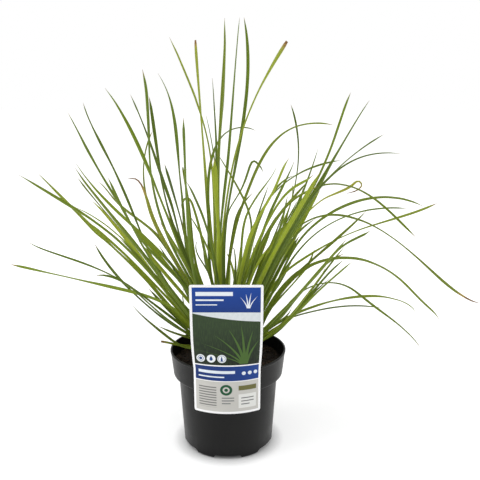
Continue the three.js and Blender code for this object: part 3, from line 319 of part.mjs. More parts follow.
    [13.2, 21.7, 112, .94, -.03, -.08, 15.9, 25.5, 130, 1.3, -.09, -.24, 19.9, 30.2, 145.8, 1.29, -.13, -.35, 25.7, 36.9, 162.1, 1.26, -.16, -.44, 32.8, 45.4, 177.6, 1.23, -.18, -.5, 51.2, 68.6, 209.5, 1.19, -.21, -.59, 84.9, 114.2, 261.7, 1.21, -.2, -.55, 102.2, 140.2, 293.3, 1.05, .3, -.75, 117.5, 164, 327.6, .56, .34, -.41, 121.6, 169.3, 338.6, .4, .29, -.25, 125.4, 172.2, 349.9, .27, .15, -.11],
    [11.6, 21.8, 111.3, .86, -.02, -.07, 17.2, 29.3, 140.6, 1.2, -.12, -.32, 27.6, 41, 167.4, 1.15, -.17, -.45, 43.3, 59.9, 196.8, 1.12, -.14, -.53, 72.1, 100.2, 251.4, .76, .62, -.78, 82.8, 118, 278.1, .6, .82, -.72, 89.9, 132.5, 302.9, .5, .96, -.63, 94.5, 146.3, 330.9, .72, .91, -.47, 95.2, 157.5, 359.7, 1, .29, -.05, 92, 164.5, 384.9, 1.05, -.06, .23, 85.1, 168, 409.4, .47, .18, .16],
    [12.8, 20.3, 111.8, .87, -.02, -.06, 15.4, 22.5, 129.8, 1.2, -.09, -.24, 20.1, 25.3, 147, 1.19, -.14, -.37, 36.3, 35.2, 184.3, 1.13, -.18, -.51, 62.1, 53.9, 231.1, 1.09, -.2, -.57, 105.2, 86.9, 296.3, 1.09, -.2, -.58, 123, 101.7, 327.8, 1.13, -.35, -.41, 135.7, 113.2, 355.7, 1.09, -.52, -.24, 147.9, 125.2, 388.5, 1.17, -.2, -.35, 155, 130.9, 407.9, 1.07, -.23, -.35, 161.9, 133.7, 425.1, .52, -.33, -.2],
  ]],
  [[8, 28.1], [
    [8.4, 29.9, 111.5, 1.02, -.47, .27, 9.4, 35.8, 118.9, 1.27, -.53, .29, 11.6, 45.1, 125.6, 1.55, -.54, .26, 14.8, 57.1, 131.2, 1.59, -.48, .13, 19.1, 72.7, 136.1, 1.6, -.44, -.06, 31.5, 115.6, 144.1, 1.45, -.33, -.74, 53.3, 187.5, 152.3, 1.03, -.24, -.7, 58, 199.6, 155.1, .7, -.19, -.4, 61.6, 204.8, 158.6, .42, -.23, -.18],
    [7, 29.3, 111.1, 1, -.48, .18, 7.4, 34.8, 120, 1.25, -.52, .32, 8.1, 43, 128.8, 1.5, -.53, .43, 10.4, 66.5, 145.2, 1.55, -.38, .39, 14.7, 103.5, 162.2, 1.63, -.2, -.01, 23.5, 167.5, 185.3, 1.3, -.08, -.26, 25, 176.7, 190.3, .86, -.09, -.09, 26.1, 181.2, 195.7, .47, -.18, 0],
    [8.7, 27.7, 111.3, 1.05, .31, -.13, 9.4, 32.3, 123.8, 1.36, .36, -.25, 10.1, 39.4, 136.2, 1.53, .35, -.32, 10.6, 49, 148.7, 1.55, .29, -.29, 10.6, 60.8, 160.7, 1.57, .24, -.2, 8.9, 80.3, 176.9, 1.59, .13, .1, 5.2, 100.8, 191, 1.34, .39, -.12, -.3, 118.9, 202.7, .89, .12, .33, -4.6, 125.1, 210.6, .34, .19, .12],
  ]],
  [[.1, 28.5], [
    [.1, 30, 111.1, 1.01, .38, -.51, .2, 38.7, 116.2, 1.22, .39, -.63, -.1, 49.8, 121.2, 1.49, .33, -.78, -.9, 80.9, 129.6, 1.54, .18, -.72, -2.1, 136.3, 137.8, 1.67, .07, -.36, -2.7, 243.8, 149.4, 1.6, 0, -.09, -2.5, 260.7, 152.9, 1.04, .02, -.13, -2.1, 269.1, 158, .52, .16, -.16],
    [-.7, 29.6, 111.2, 1.01, -.49, .28, -1.4, 35.4, 118.8, 1.19, -.42, .61, -2.9, 43.6, 125.5, 1.37, -.34, .92, -8.3, 67.3, 137.1, 1.29, -.1, 1.07, -17.5, 108.3, 149.2, 1.4, .07, .94, -37.8, 208.5, 173, 1.55, .19, .41, -40.8, 222.1, 178.1, 1.01, .09, .32, -43.1, 228.8, 184.3, .49, -.12, .21],
    [-.5, 28.4, 111.2, .99, .54, -.24, -.2, 35, 120.7, 1.24, .54, -.54, .5, 44, 129.4, 1.42, .48, -.75, 3.2, 70.1, 145.5, 1.41, .27, -.86, 8, 114.6, 163.5, 1.54, .08, -.65, 16.1, 210.7, 196, 1.43, -.05, -.19, 17.5, 224.3, 202.9, .89, .01, -.19, 18.7, 230.1, 209.6, .49, .15, -.15],
  ]],
  [[-7.9, 28.4], [
    [-7.1, 30, 111.5, 1, .54, -.24, -8.2, 34.3, 117.7, 1.19, .61, -.22, -10.3, 40.3, 123, 1.42, .65, -.18, -18.1, 60.3, 133, 1.56, .6, .02, -33, 102, 144.6, 1.58, .46, .27, -59.9, 188.1, 164.6, 1.35, .27, .59, -64.2, 200, 168.9, .94, .22, .36, -67.8, 205.9, 174.1, .45, .26, .11],
    [-8.8, 29.5, 111.3, 1.24, -.4, .24, -9.8, 33.6, 118.8, 1.45, -.35, .54, -11.7, 39.4, 125.7, 1.63, -.27, .84, -18.1, 56.8, 138.5, 1.58, -.03, 1.1, -25.2, 76.2, 147.8, 1.58, .11, 1.09, -34.9, 104.4, 158.6, 1.74, .28, .77, -47.6, 149.6, 175.9, 1.35, -.11, .96, -51.5, 171.3, 187, .89, -.06, .25, -52.1, 176.6, 191.7, .65, -.07, .1, -52.1, 179.1, 196.3, .47, -.12, .03],
    [-8.1, 28, 111.2, 1.01, -.44, .17, -8.6, 33.2, 122.6, 1.3, -.5, .35, -9.3, 40.9, 134.1, 1.47, -.49, .47, -11.2, 62.5, 155.6, 1.48, -.32, .58, -15.2, 94.5, 177.7, 1.57, -.01, .42, -24.8, 149.8, 208.3, 1.28, .08, .13, -25.7, 157.8, 214.7, .84, -.01, .07, -25.8, 161.7, 221.2, .47, -.14, .03],
  ]],
  [[-11.9, 21.2], [
    [-11.4, 22, 111.9, 1.1, .64, -.05, -14.3, 26.8, 126.9, 1.44, .94, .1, -19.9, 32.6, 140.9, 1.5, 1.02, .23, -42.7, 57.1, 181.5, 1.56, .94, .18, -51.7, 70.9, 206.6, 1.62, .85, 0, -57.1, 84, 235.5, 1.65, .78, -.11, -66.4, 117.5, 315.9, .58, 1.61, -.64, -71, 137.5, 359.2, 1.71, .64, -.12, -74.6, 150.6, 384.4, 1.72, .48, .04, -80.1, 164.3, 407.5, 1.16, .83, -.17, -86.7, 175.7, 426.2, .6, .85, -.24, -93.5, 182.8, 440.3, .33, .63, -.08, -100.3, 186.3, 451.8, .17, .36, .03],
    [-13, 20.8, 111.6, 1.05, .57, .02, -18.6, 26.3, 141.3, 1.44, .91, .21, -29.8, 35.5, 170.4, 1.42, .93, .29, -59.5, 63.7, 232.9, 1.04, 1.35, -.19, -79.9, 90.8, 295.2, 1.48, .86, .18, -120.6, 141.3, 393.2, .65, .86, -.12, -128.3, 148.3, 409.9, .64, .33, .19, -134.2, 151.2, 422.7, .33, .22, .12],
  ]],
  [[-20.3, 21.5], [
    [-19.6, 22.3, 111.2, 1.03, .57, .04, -23.6, 25.3, 123.4, 1.2, .87, .36, -33.2, 31.3, 135.2, 1.23, 1.02, .62, -60.9, 52, 158.9, 1.34, .84, .66, -96.2, 85.8, 193, 1.12, .37, .8, -106, 91.9, 203.4, .32, .28, .2],
    [-21.1, 20.9, 111.1, .94, .51, .05, -25.9, 24.9, 128.1, 1.25, .81, .28, -36, 32.8, 146, 1.27, .84, .37, -54.2, 50.6, 174.2, 1.38, .56, .47, -72.2, 71.8, 201.2, 1.17, .3, .65, -79.2, 78.4, 209.7, .64, .21, .4, -84.1, 80.9, 215.7, .31, .23, .21],
  ]],
  [[-24, 13.7], [
    [-23.6, 14.2, 111.7, .91, .52, .07, -28.3, 17.1, 126.6, 1.11, .8, .34, -36.3, 20.6, 139.7, 1.08, .9, .51, -75.1, 39.5, 184.3, 1.08, .95, .43, -96.4, 52.4, 216.4, 1.1, 1, .25, -139.5, 84, 309, 1.09, 1.02, .17, -179.3, 112.1, 381.9, .62, .71, .08, -186.8, 116.6, 398.7, .63, .42, .15, -191, 118.5, 412.1, .37, .28, .07],
    [-25.3, 13.3, 112, .86, .1, .13, -30.3, 15.5, 126.4, 1.03, .25, .49, -41, 18.9, 141.1, .94, .34, .75, -75, 31.8, 177.1, .87, .77, .46, -119.7, 53.2, 232.4, .58, 1.11, .02, -180.4, 83.6, 297.4, .56, .57, .27, -196.2, 88.8, 317.1, .31, .28, .19],
  ]],
  [[-28.8, 6.9], [
    [-28.7, 7.6, 112.2, 1.11, -.31, .21, -35.1, 9, 130.4, 1.43, -.28, .79, -48.2, 11.4, 148.2, 1.17, -.2, 1.16, -66.1, 14.9, 163.1, .87, -.22, 1.4, -87.1, 19.3, 173.6, .53, -.24, 1.55, -124.4, 27.5, 182.9, .26, -.09, 1.63, -208.3, 47.9, 195.8, -.15, -1.24, 1.09, -254.5, 59.3, 202.6, .23, .22, 1.19, -283, 63.8, 207.6, .13, -.06, .65],
    [-30.5, 7.3, 112.7, 1.5, .6, .28, -35.2, 8.8, 124.1, 1.65, .96, .83, -45, 12.1, 137.5, 1.63, 1.18, 1.11, -72.2, 22.4, 162, 1.44, 1.61, .79, -103.8, 36.8, 194.5, 1.22, 1.92, .34, -143.5, 55.4, 227.7, .75, 2.15, -.36, -171.2, 69, 249.8, 1.56, 1.2, 1.19, -197.6, 82.4, 271.6, 1.15, 1.97, .17, -224.2, 95.8, 294.3, .98, 1.27, .42, -240.8, 103, 309, .49, .93, .18, -252.5, 105.8, 320.5, .25, .4, .19],
    [-29.1, 6.6, 111.4, .89, .11, .13, -32.5, 8.6, 119.3, .88, .28, .57, -40.6, 12, 126.1, .75, .44, .98, -67.7, 24.7, 137.6, .73, .79, .74, -88.5, 36.1, 147.7, .76, 1.02, .32, -111.2, 49.6, 161.8, .7, 1.11, .03, -132.1, 62.7, 177.1, .92, .75, .55, -148.7, 73.6, 191.1, .98, .41, .76, -163.2, 83.4, 205.9, 1, .39, .66, -172.6, 89.4, 217.7, .85, .33, .47, -179.3, 92.1, 228.8, .45, .35, .19],
  ]],
];

// a blade: flat below, a low keel along its middle above, closed at both ends
function blade(row) {
  const n = row.length / 6;
  const P = [], H = [];
  for (let i = 0; i < n; i++) {
    P.push(new THREE.Vector3(row[6 * i], row[6 * i + 1], row[6 * i + 2]));
    H.push(new THREE.Vector3(row[6 * i + 3], row[6 * i + 4], row[6 * i + 5]));
  }
  const pos = [], index = [];
  for (let i = 0; i < n; i++) {
    const a = P[Math.max(i - 1, 0)], b = P[Math.min(i + 1, n - 1)];
    const t = b.clone().sub(a).normalize();
    const keel = t.clone().cross(H[i]).normalize();
    const k = LEAF_T * Math.min(1, 0.35 + H[i].length() / 1.2);
    const left = P[i].clone().sub(H[i]).addScaledVector(keel, -k / 3);
    const right = P[i].clone().add(H[i]).addScaledVector(keel, -k / 3);
    const top = P[i].clone().addScaledVector(keel, (2 * k) / 3);
    for (const v of [left, right, top]) pos.push(v.x, v.y, v.z);
  }
  // each side is folded along the diagonal that bulges outward, so a twisted blade stays solid
  const at = (i) => new THREE.Vector3(pos[3 * i], pos[3 * i + 1], pos[3 * i + 2]);
  for (let i = 0; i < n - 1; i++) {
    const o = 3 * i;
    const middle = P[i].clone().add(P[i + 1]).multiplyScalar(0.5);
    for (let k = 0; k < 3; k++) {
      const a = o + k, b = o + ((k + 1) % 3), c = a + 3, d = b + 3;
      const one = at(a).add(at(d)).multiplyScalar(0.5), two = at(b).add(at(c)).multiplyScalar(0.5);
      const out = at(d).sub(at(a)).cross(at(c).sub(at(b)));
      if (out.dot(one.clone().add(two).multiplyScalar(0.5).sub(middle)) < 0) out.negate();
      if (out.dot(one) >= out.dot(two)) index.push(a, b, d, a, d, c);
      else index.push(a, b, c, b, d, c);
    }
  }
  const e = 3 * (n - 1);
  index.push(0, 2, 1, e, e + 1, e + 2);
  let s = solid(closed(pos, index));
  if (s.volume() < 0) {
    for (let i = 0; i < index.length; i += 3) [index[i], index[i + 1]] = [index[i + 1], index[i]];
    s = solid(closed(pos, index));
  }
  return s;
}
let sockets = null;
SHOOTS.forEach(([[x, y], rows], i) => {
  const foot = lathe([[0, -FOOT_DOWN], [FOOT_R - 0.4, -FOOT_DOWN], [FOOT_R, 0], [FOOT_R - 0.3, 7],
    [1.3, FOOT_UP], [0, FOOT_UP]], 5);
  foot.translate(x, y, SOIL_Z);
  let s = solid(foot);
  if (s.volume() < 0) {
    const turned = lathe([[0, FOOT_UP], [1.3, FOOT_UP], [FOOT_R - 0.3, 7], [FOOT_R, 0],
      [FOOT_R - 0.4, -FOOT_DOWN], [0, -FOOT_DOWN]], 5);
    turned.translate(x, y, SOIL_Z);
    s = solid(turned);
  }
  for (const row of rows) s = s.add(blade(row));
  // where blades press together in the foot they can close in a tiny pocket: it is filled
  s = s.simplify(FINE).decompose().reduce((a, b) => (a.volume() > b.volume() ? a : b));
  add('shoot_' + String(i + 1).padStart(2, '0'), geometryOf(s), PALETTE.leaf);
  const hole = new THREE.CylinderGeometry(FOOT_R + GAP + 0.5, FOOT_R + GAP + 0.5, 20, 5);
  hole.rotateX(Math.PI / 2);
  hole.rotateZ(Math.PI / 6);
  hole.translate(x, y, SOIL_Z - FOOT_DOWN - GAP + 10);
  sockets = sockets ? sockets.add(solid(hole)) : solid(hole);
});

// ---- potting mix ------------------------------------------------------------------------------------
let mix = body([
  [0, FLOOR + GAP], [BASE_R - 5.2, FLOOR + GAP], [wallR(4.4) - WALL - GAP - 0.1, 4.4],
  [wallR(BAND_Z) - WALL - GAP - 0.1, BAND_Z + 1.0], [bandR(BAND_Z + 2.2) - WALL - GAP - 0.1, BAND_Z + 2.2],
  [bandR(SOIL_Z - 1.5) - WALL - GAP - 0.1, SOIL_Z - 1.5], [58, SOIL_Z], [0, SOIL_Z],
], 32);
mix = mix.subtract(sockets);
add('potting_mix', geometryOf(mix), PALETTE.mix);

// ---- plant label ---------------------------------------------------------------------------------------
// A stiff sheet that bends round the rim band and stands up flat above it, with a tongue that
// passes over the rim and down inside it.
const SLOPE = (RIM_R - BAND_R) / (POT_H - BAND_Z);
function sheetPoint(u, z, off) {
  const arc = z <= 118 ? 1 : Math.max(0, 1 - (z - 118) / 62) ** 2 * (z < 180 ? 1 : 0);
  const R = RIM_R + 0.4;
  const a = u / R;
  const bent = new THREE.Vector3(R * Math.sin(a), R - R * Math.cos(a), 0);
  const flat = new THREE.Vector3(u, 0, 0);
  const p = flat.lerp(bent, arc);
  const y = -(RIM_R + 0.35) - (z - POT_H) * SLOPE - off;
  return [p.x * (1 + off / R * arc), y + p.y, z];
}
function sheet(us, zs, t) {
  const nu = us.length, nz = zs.length, pos = [], index = [];
  for (const off of [0, t]) for (const z of zs) for (const u of us) pos.push(...sheetPoint(u, z, off));
  const id = (s, j, i) => s * nu * nz + j * nu + i;
  for (let j = 0; j < nz - 1; j++) for (let i = 0; i < nu - 1; i++) {
    index.push(id(0, j, i), id(0, j + 1, i), id(0, j + 1, i + 1), id(0, j, i), id(0, j + 1, i + 1), id(0, j, i + 1));
    index.push(id(1, j, i), id(1, j + 1, i + 1), id(1, j + 1, i), id(1, j, i), id(1, j, i + 1), id(1, j + 1, i + 1));
  }
  const rim = [];
  for (let i = 0; i < nu; i++) rim.push([0, i]);
  for (let j = 1; j < nz; j++) rim.push([j, nu - 1]);
  for (let i = nu - 2; i >= 0; i--) rim.push([nz - 1, i]);
  for (let j = nz - 2; j >= 1; j--) rim.push([j, 0]);
  for (let k = 0; k < rim.length; k++) {
    const [j0, i0] = rim[k], [j1, i1] = rim[(k + 1) % rim.length];
    index.push(id(0, j0, i0), id(0, j1, i1), id(1, j1, i1), id(0, j0, i0), id(1, j1, i1), id(1, j0, i0));
  }
  let s = solid(closed(pos, index));
  if (s.volume() < 0) {
    for (let i = 0; i < index.length; i += 3) [index[i], index[i + 1]] = [index[i + 1], index[i]];
    s = solid(closed(pos, index));
  }
  return s;
}
const us = Array.from({ length: 11 }, (_, i) => (i / 10 - 0.5) * LABEL_W);
const zs = [LABEL_BOTTOM, 92, 118, 124, 132, 142, 154, 166, 180, LABEL_TOP];
let label = sheet(us, zs, LABEL_T);
const tongue = new THREE.Shape();
const yo = -(RIM_R + 0.75), yi = -(RIM_R - WALL - 0.3 - 0.9);
tongue.moveTo(yo, POT_H + 0.4); tongue.lineTo(yi, POT_H + 0.4); tongue.lineTo(yi + 1.2, SOIL_Z + 3);
tongue.lineTo(yi + 1.8, SOIL_Z + 3); tongue.lineTo(yi + 0.75, POT_H + 1.1); tongue.lineTo(yo, POT_H + 1.1);
const tg = new THREE.ExtrudeGeometry(tongue, { depth: 16, bevelEnabled: false });
// the outline is drawn in (Y, Z); turned so that its depth runs along X
tg.applyMatrix4(new THREE.Matrix4().makeBasis(new THREE.Vector3(0, 1, 0), new THREE.Vector3(0, 0, 1), new THREE.Vector3(1, 0, 0)));
tg.translate(-8, 0, 0);
label = label.add(solid(tg));
add('plant_label', geometryOf(label), PALETTE.label);

export default root;
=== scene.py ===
# Potted lomandra: a tuft of strap leaves in a round charcoal pot, with a care label hung over the rim.
import math
import random
import bpy
import mathutils
import numpy as np
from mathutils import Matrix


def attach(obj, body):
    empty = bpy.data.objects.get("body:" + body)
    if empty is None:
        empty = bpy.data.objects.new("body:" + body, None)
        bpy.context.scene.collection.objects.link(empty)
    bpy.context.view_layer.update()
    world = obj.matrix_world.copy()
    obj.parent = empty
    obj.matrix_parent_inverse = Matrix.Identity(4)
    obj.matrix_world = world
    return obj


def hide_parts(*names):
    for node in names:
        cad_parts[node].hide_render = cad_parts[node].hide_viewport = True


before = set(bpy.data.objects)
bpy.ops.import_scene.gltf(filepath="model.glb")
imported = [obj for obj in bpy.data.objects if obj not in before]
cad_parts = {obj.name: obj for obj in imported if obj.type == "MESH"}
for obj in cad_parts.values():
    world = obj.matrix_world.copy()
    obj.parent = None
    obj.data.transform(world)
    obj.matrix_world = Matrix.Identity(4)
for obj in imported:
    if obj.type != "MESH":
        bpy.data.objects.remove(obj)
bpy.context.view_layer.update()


scene = bpy.context.scene
MM = 0.001

# ---- driving dimensions, millimetres ----------------------------------------------------------------
POT_H, RIM_R, BAND_R, BAND_Z = 119.5, 70.0, 66.5, 89.2
NECK_R, BASE_R, WALL, FLOOR = 60.4, 54.5, 1.5, 1.8
NOTCHES, NOTCH_W, NOTCH_H = 6, 34.0, 3.6
SOIL_Z = 104.0
LABEL_W, LABEL_BOTTOM, LABEL_TOP, LABEL_T = 79.5, 64.0, 223.0, 0.6
LABEL_H = LABEL_TOP - LABEL_BOTTOM


# ---- materials ------------------------------------------------------------------------------------
def lin(r, g, b):
    out = []
    for c in (r, g, b):
        c /= 255.0
        out.append(c / 12.92 if c <= 0.04045 else ((c + 0.055) / 1.055) ** 2.4)
    return (out[0], out[1], out[2], 1.0)


class Shader:
    def __init__(self, name):
        self.mat = bpy.data.materials.new(name)
        self.mat.use_nodes = True
        self.nt = self.mat.node_tree
        self.bsdf = next(n for n in self.nt.nodes if n.type == "BSDF_PRINCIPLED")

    def put(self, socket, value):
        if isinstance(value, bpy.types.NodeSocket):
            self.nt.links.new(value, socket)
        else:
            socket.default_value = value

    def set(self, name, value):
        self.put(self.bsdf.inputs[name], value)

    def node(self, kind, **props):
        n = self.nt.nodes.new(kind)
        for k, v in props.items():
            setattr(n, k, v)
        return n

    def m(self, op, a, b=0.0, c=0.0):
        n = self.node("ShaderNodeMath", operation=op)
        for i, v in enumerate((a, b, c)):
            self.put(n.inputs[i], v)
        return n.outputs[0]

    def step(self, x, edge, soft):
        """0 below the edge, 1 above it."""
        n = self.node("ShaderNodeMapRange")
        n.clamp = True
        self.put(n.inputs["Value"], x)
        self.put(n.inputs["From Min"], edge - soft if not isinstance(edge, bpy.types.NodeSocket) else self.m("SUBTRACT", edge, soft))
        self.put(n.inputs["From Max"], edge + soft if not isinstance(edge, bpy.types.NodeSocket) else self.m("ADD", edge, soft))
        return n.outputs["Result"]

    def ramp(self, x, a, b, lo=0.0, hi=1.0):
        n = self.node("ShaderNodeMapRange")
        n.clamp = True
        self.put(n.inputs["Value"], x)
        self.put(n.inputs["From Min"], a)
        self.put(n.inputs["From Max"], b)
        self.put(n.inputs["To Min"], lo)
        self.put(n.inputs["To Max"], hi)
        return n.outputs["Result"]

    def mix(self, f, a, b):
        n = self.node("ShaderNodeMix", data_type="RGBA")
        self.put(n.inputs[0], f)
        self.put(n.inputs[6], a)
        self.put(n.inputs[7], b)
        return n.outputs[2]

    def noise(self, vec, scale, detail=2.0, rough=0.5):
        n = self.node("ShaderNodeTexNoise")
        self.put(n.inputs["Vector"], vec)
        self.put(n.inputs["Scale"], scale)
        self.put(n.inputs["Detail"], detail)
        self.put(n.inputs["Roughness"], rough)
        return n.outputs[0]

    def stretch(self, vec, x, y, z):
        n = self.node("ShaderNodeMapping")
        self.put(n.inputs["Vector"], vec)
        self.put(n.inputs["Scale"], (x, y, z))
        return n.outputs[0]

    def attr(self, name):
        return self.node("ShaderNodeAttribute", attribute_name=name).outputs["Fac"]

    def bump(self, height, strength, distance):
        n = self.node("ShaderNodeBump")
        self.put(n.inputs["Strength"], strength)
        self.put(n.inputs["Distance"], distance)
        self.put(n.inputs["Height"], height)
        self.set("Normal", n.outputs[0])


def pot_material():
    s = Shader("pot_plastic")
    co = s.node("ShaderNodeTexCoord").outputs["Object"]
    fine = s.noise(co, 900.0, 2.0)
    broad = s.noise(s.stretch(co, 1, 1, 0.35), 26.0, 3.0)
    dust = s.noise(co, 60.0, 4.0, 0.65)
    base = s.mix(s.ramp(broad, 0.3, 0.7), lin(11, 11, 11), lin(19, 19, 18))
    base = s.mix(s.ramp(dust, 0.62, 0.80, 0.0, 0.12), base, lin(70, 67, 62))
    s.set("Base Color", base)
    s.set("Roughness", s.m("ADD", s.ramp(fine, 0.3, 0.7, 0.33, 0.43), s.ramp(dust, 0.5, 0.8, 0.0, 0.12)))
    s.set("Specular IOR Level", 0.2)
    s.bump(s.m("ADD", s.m("MULTIPLY", fine, 0.5), broad), 0.35, 0.0004)
    return s.mat


def mix_material():
    s = Shader("potting_mix")
    co = s.node("ShaderNodeTexCoord").outputs["Object"]
    big = s.noise(co, 160.0, 4.0, 0.6)
    fine = s.noise(co, 900.0, 3.0, 0.6)
    tone = s.attr("tone")
    # the mix's own dark brown, made darker still as painted shade for the deep shadow inside the pot
    base = s.mix(s.ramp(big, 0.3, 0.7), lin(14, 12, 10), lin(34, 26, 19))
    base = s.mix(tone, base, lin(66, 48, 33))
    base = s.mix(s.ramp(fine, 0.62, 0.72, 0.0, 0.5), base, lin(9, 8, 7))
    s.set("Base Color", base)
    s.set("Roughness", 0.93)
    s.set("Specular IOR Level", 0.25)
    s.bump(s.m("ADD", big, s.m("MULTIPLY", fine, 0.5)), 0.8, 0.001)
    return s.mat


def leaf_material():
    s = Shader("leaf")
    uv = s.node("ShaderNodeUVMap", uv_map="blade").outputs[0]
    sep = s.node("ShaderNodeSeparateXYZ")
    s.put(sep.inputs[0], uv)
    u = sep.outputs[0]
    along, left = s.attr("along"), s.attr("left")
    tone, warm, tip = s.attr("tone"), s.attr("warm"), s.attr("tip")
    sheath = s.attr("sheath")
    mottle = s.noise(s.stretch(uv, 0.16, 0.018, 1.0), 1.0, 3.0, 0.55)
    streak = s.noise(s.stretch(uv, 2.6, 0.010, 1.0), 1.0, 2.0, 0.5)
    # green
    deep, mid, light = lin(34, 53, 5), lin(92, 114, 6), lin(160, 176, 28)
    col = s.mix(s.ramp(tone, 0.0, 0.5), deep, mid)
    col = s.mix(s.ramp(tone, 0.5, 1.0), col, light)
    col = s.mix(s.ramp(mottle, 0.35, 0.7, 0.0, 0.30), col, lin(116, 140, 22))
    col = s.mix(s.ramp(streak, 0.4, 0.75, 0.0, 0.34), col, lin(44, 68, 14))
    # paler middle rib and the thin light margin
    edge = s.m("ABSOLUTE", u)
    col = s.mix(s.m("MULTIPLY", s.step(edge, 0.86, 0.08), 0.30), col, lin(160, 172, 78))
    col = s.mix(s.m("MULTIPLY", s.m("SUBTRACT", 1.0, s.step(edge, 0.10, 0.08)), 0.16), col, lin(150, 168, 66))
    # yellowing, most of all in the upper half
    yellow = s.m("MULTIPLY", s.m("MULTIPLY", warm, 0.6), s.ramp(s.m("ADD", along, s.m("MULTIPLY", mottle, 0.3)), 0.45, 1.2, 0.15, 1.0))
    col = s.mix(yellow, col, lin(168, 152, 62))
    # pale foot
    foot = s.attr("rise")
    col = s.mix(s.ramp(s.m("ADD", foot, s.m("MULTIPLY", mottle, 14.0)), 8.0, 46.0, 0.7, 0.0), col, lin(168, 172, 84))
    col = s.mix(s.m("MULTIPLY", sheath, s.ramp(streak, 0.3, 0.7, 0.55, 1.0)), col, lin(164, 140, 92))
    # dry tip: straw, then brown
    wob = s.m("ADD", left, s.m("MULTIPLY", s.m("SUBTRACT", streak, 0.5), 10.0))
    tip = s.m("MULTIPLY", tip, 0.5)
    straw = s.m("SUBTRACT", 1.0, s.step(wob, s.m("MULTIPLY", tip, 1.5), 4.0))
    col = s.mix(s.m("MULTIPLY", straw, s.m("MULTIPLY", s.step(tip, 0.5, 0.4), 0.9)), col, lin(166, 140, 66))
    brown = s.m("SUBTRACT", 1.0, s.step(wob, tip, 2.5))
    col = s.mix(s.m("MULTIPLY", brown, s.step(tip, 0.5, 0.4)), col, lin(120, 84, 36))
    s.set("Base Color", col)
    s.set("Roughness", s.ramp(mottle, 0.3, 0.7, 0.44, 0.56))
    s.set("Specular IOR Level", 0.3)
    s.set("Subsurface Weight", 0.0)
    vein = s.m("SINE", s.m("MULTIPLY", u, 34.0))
    s.bump(s.m("ADD", s.m("MULTIPLY", vein, 0.5), streak), 0.35, 0.00012)
    return s.mat


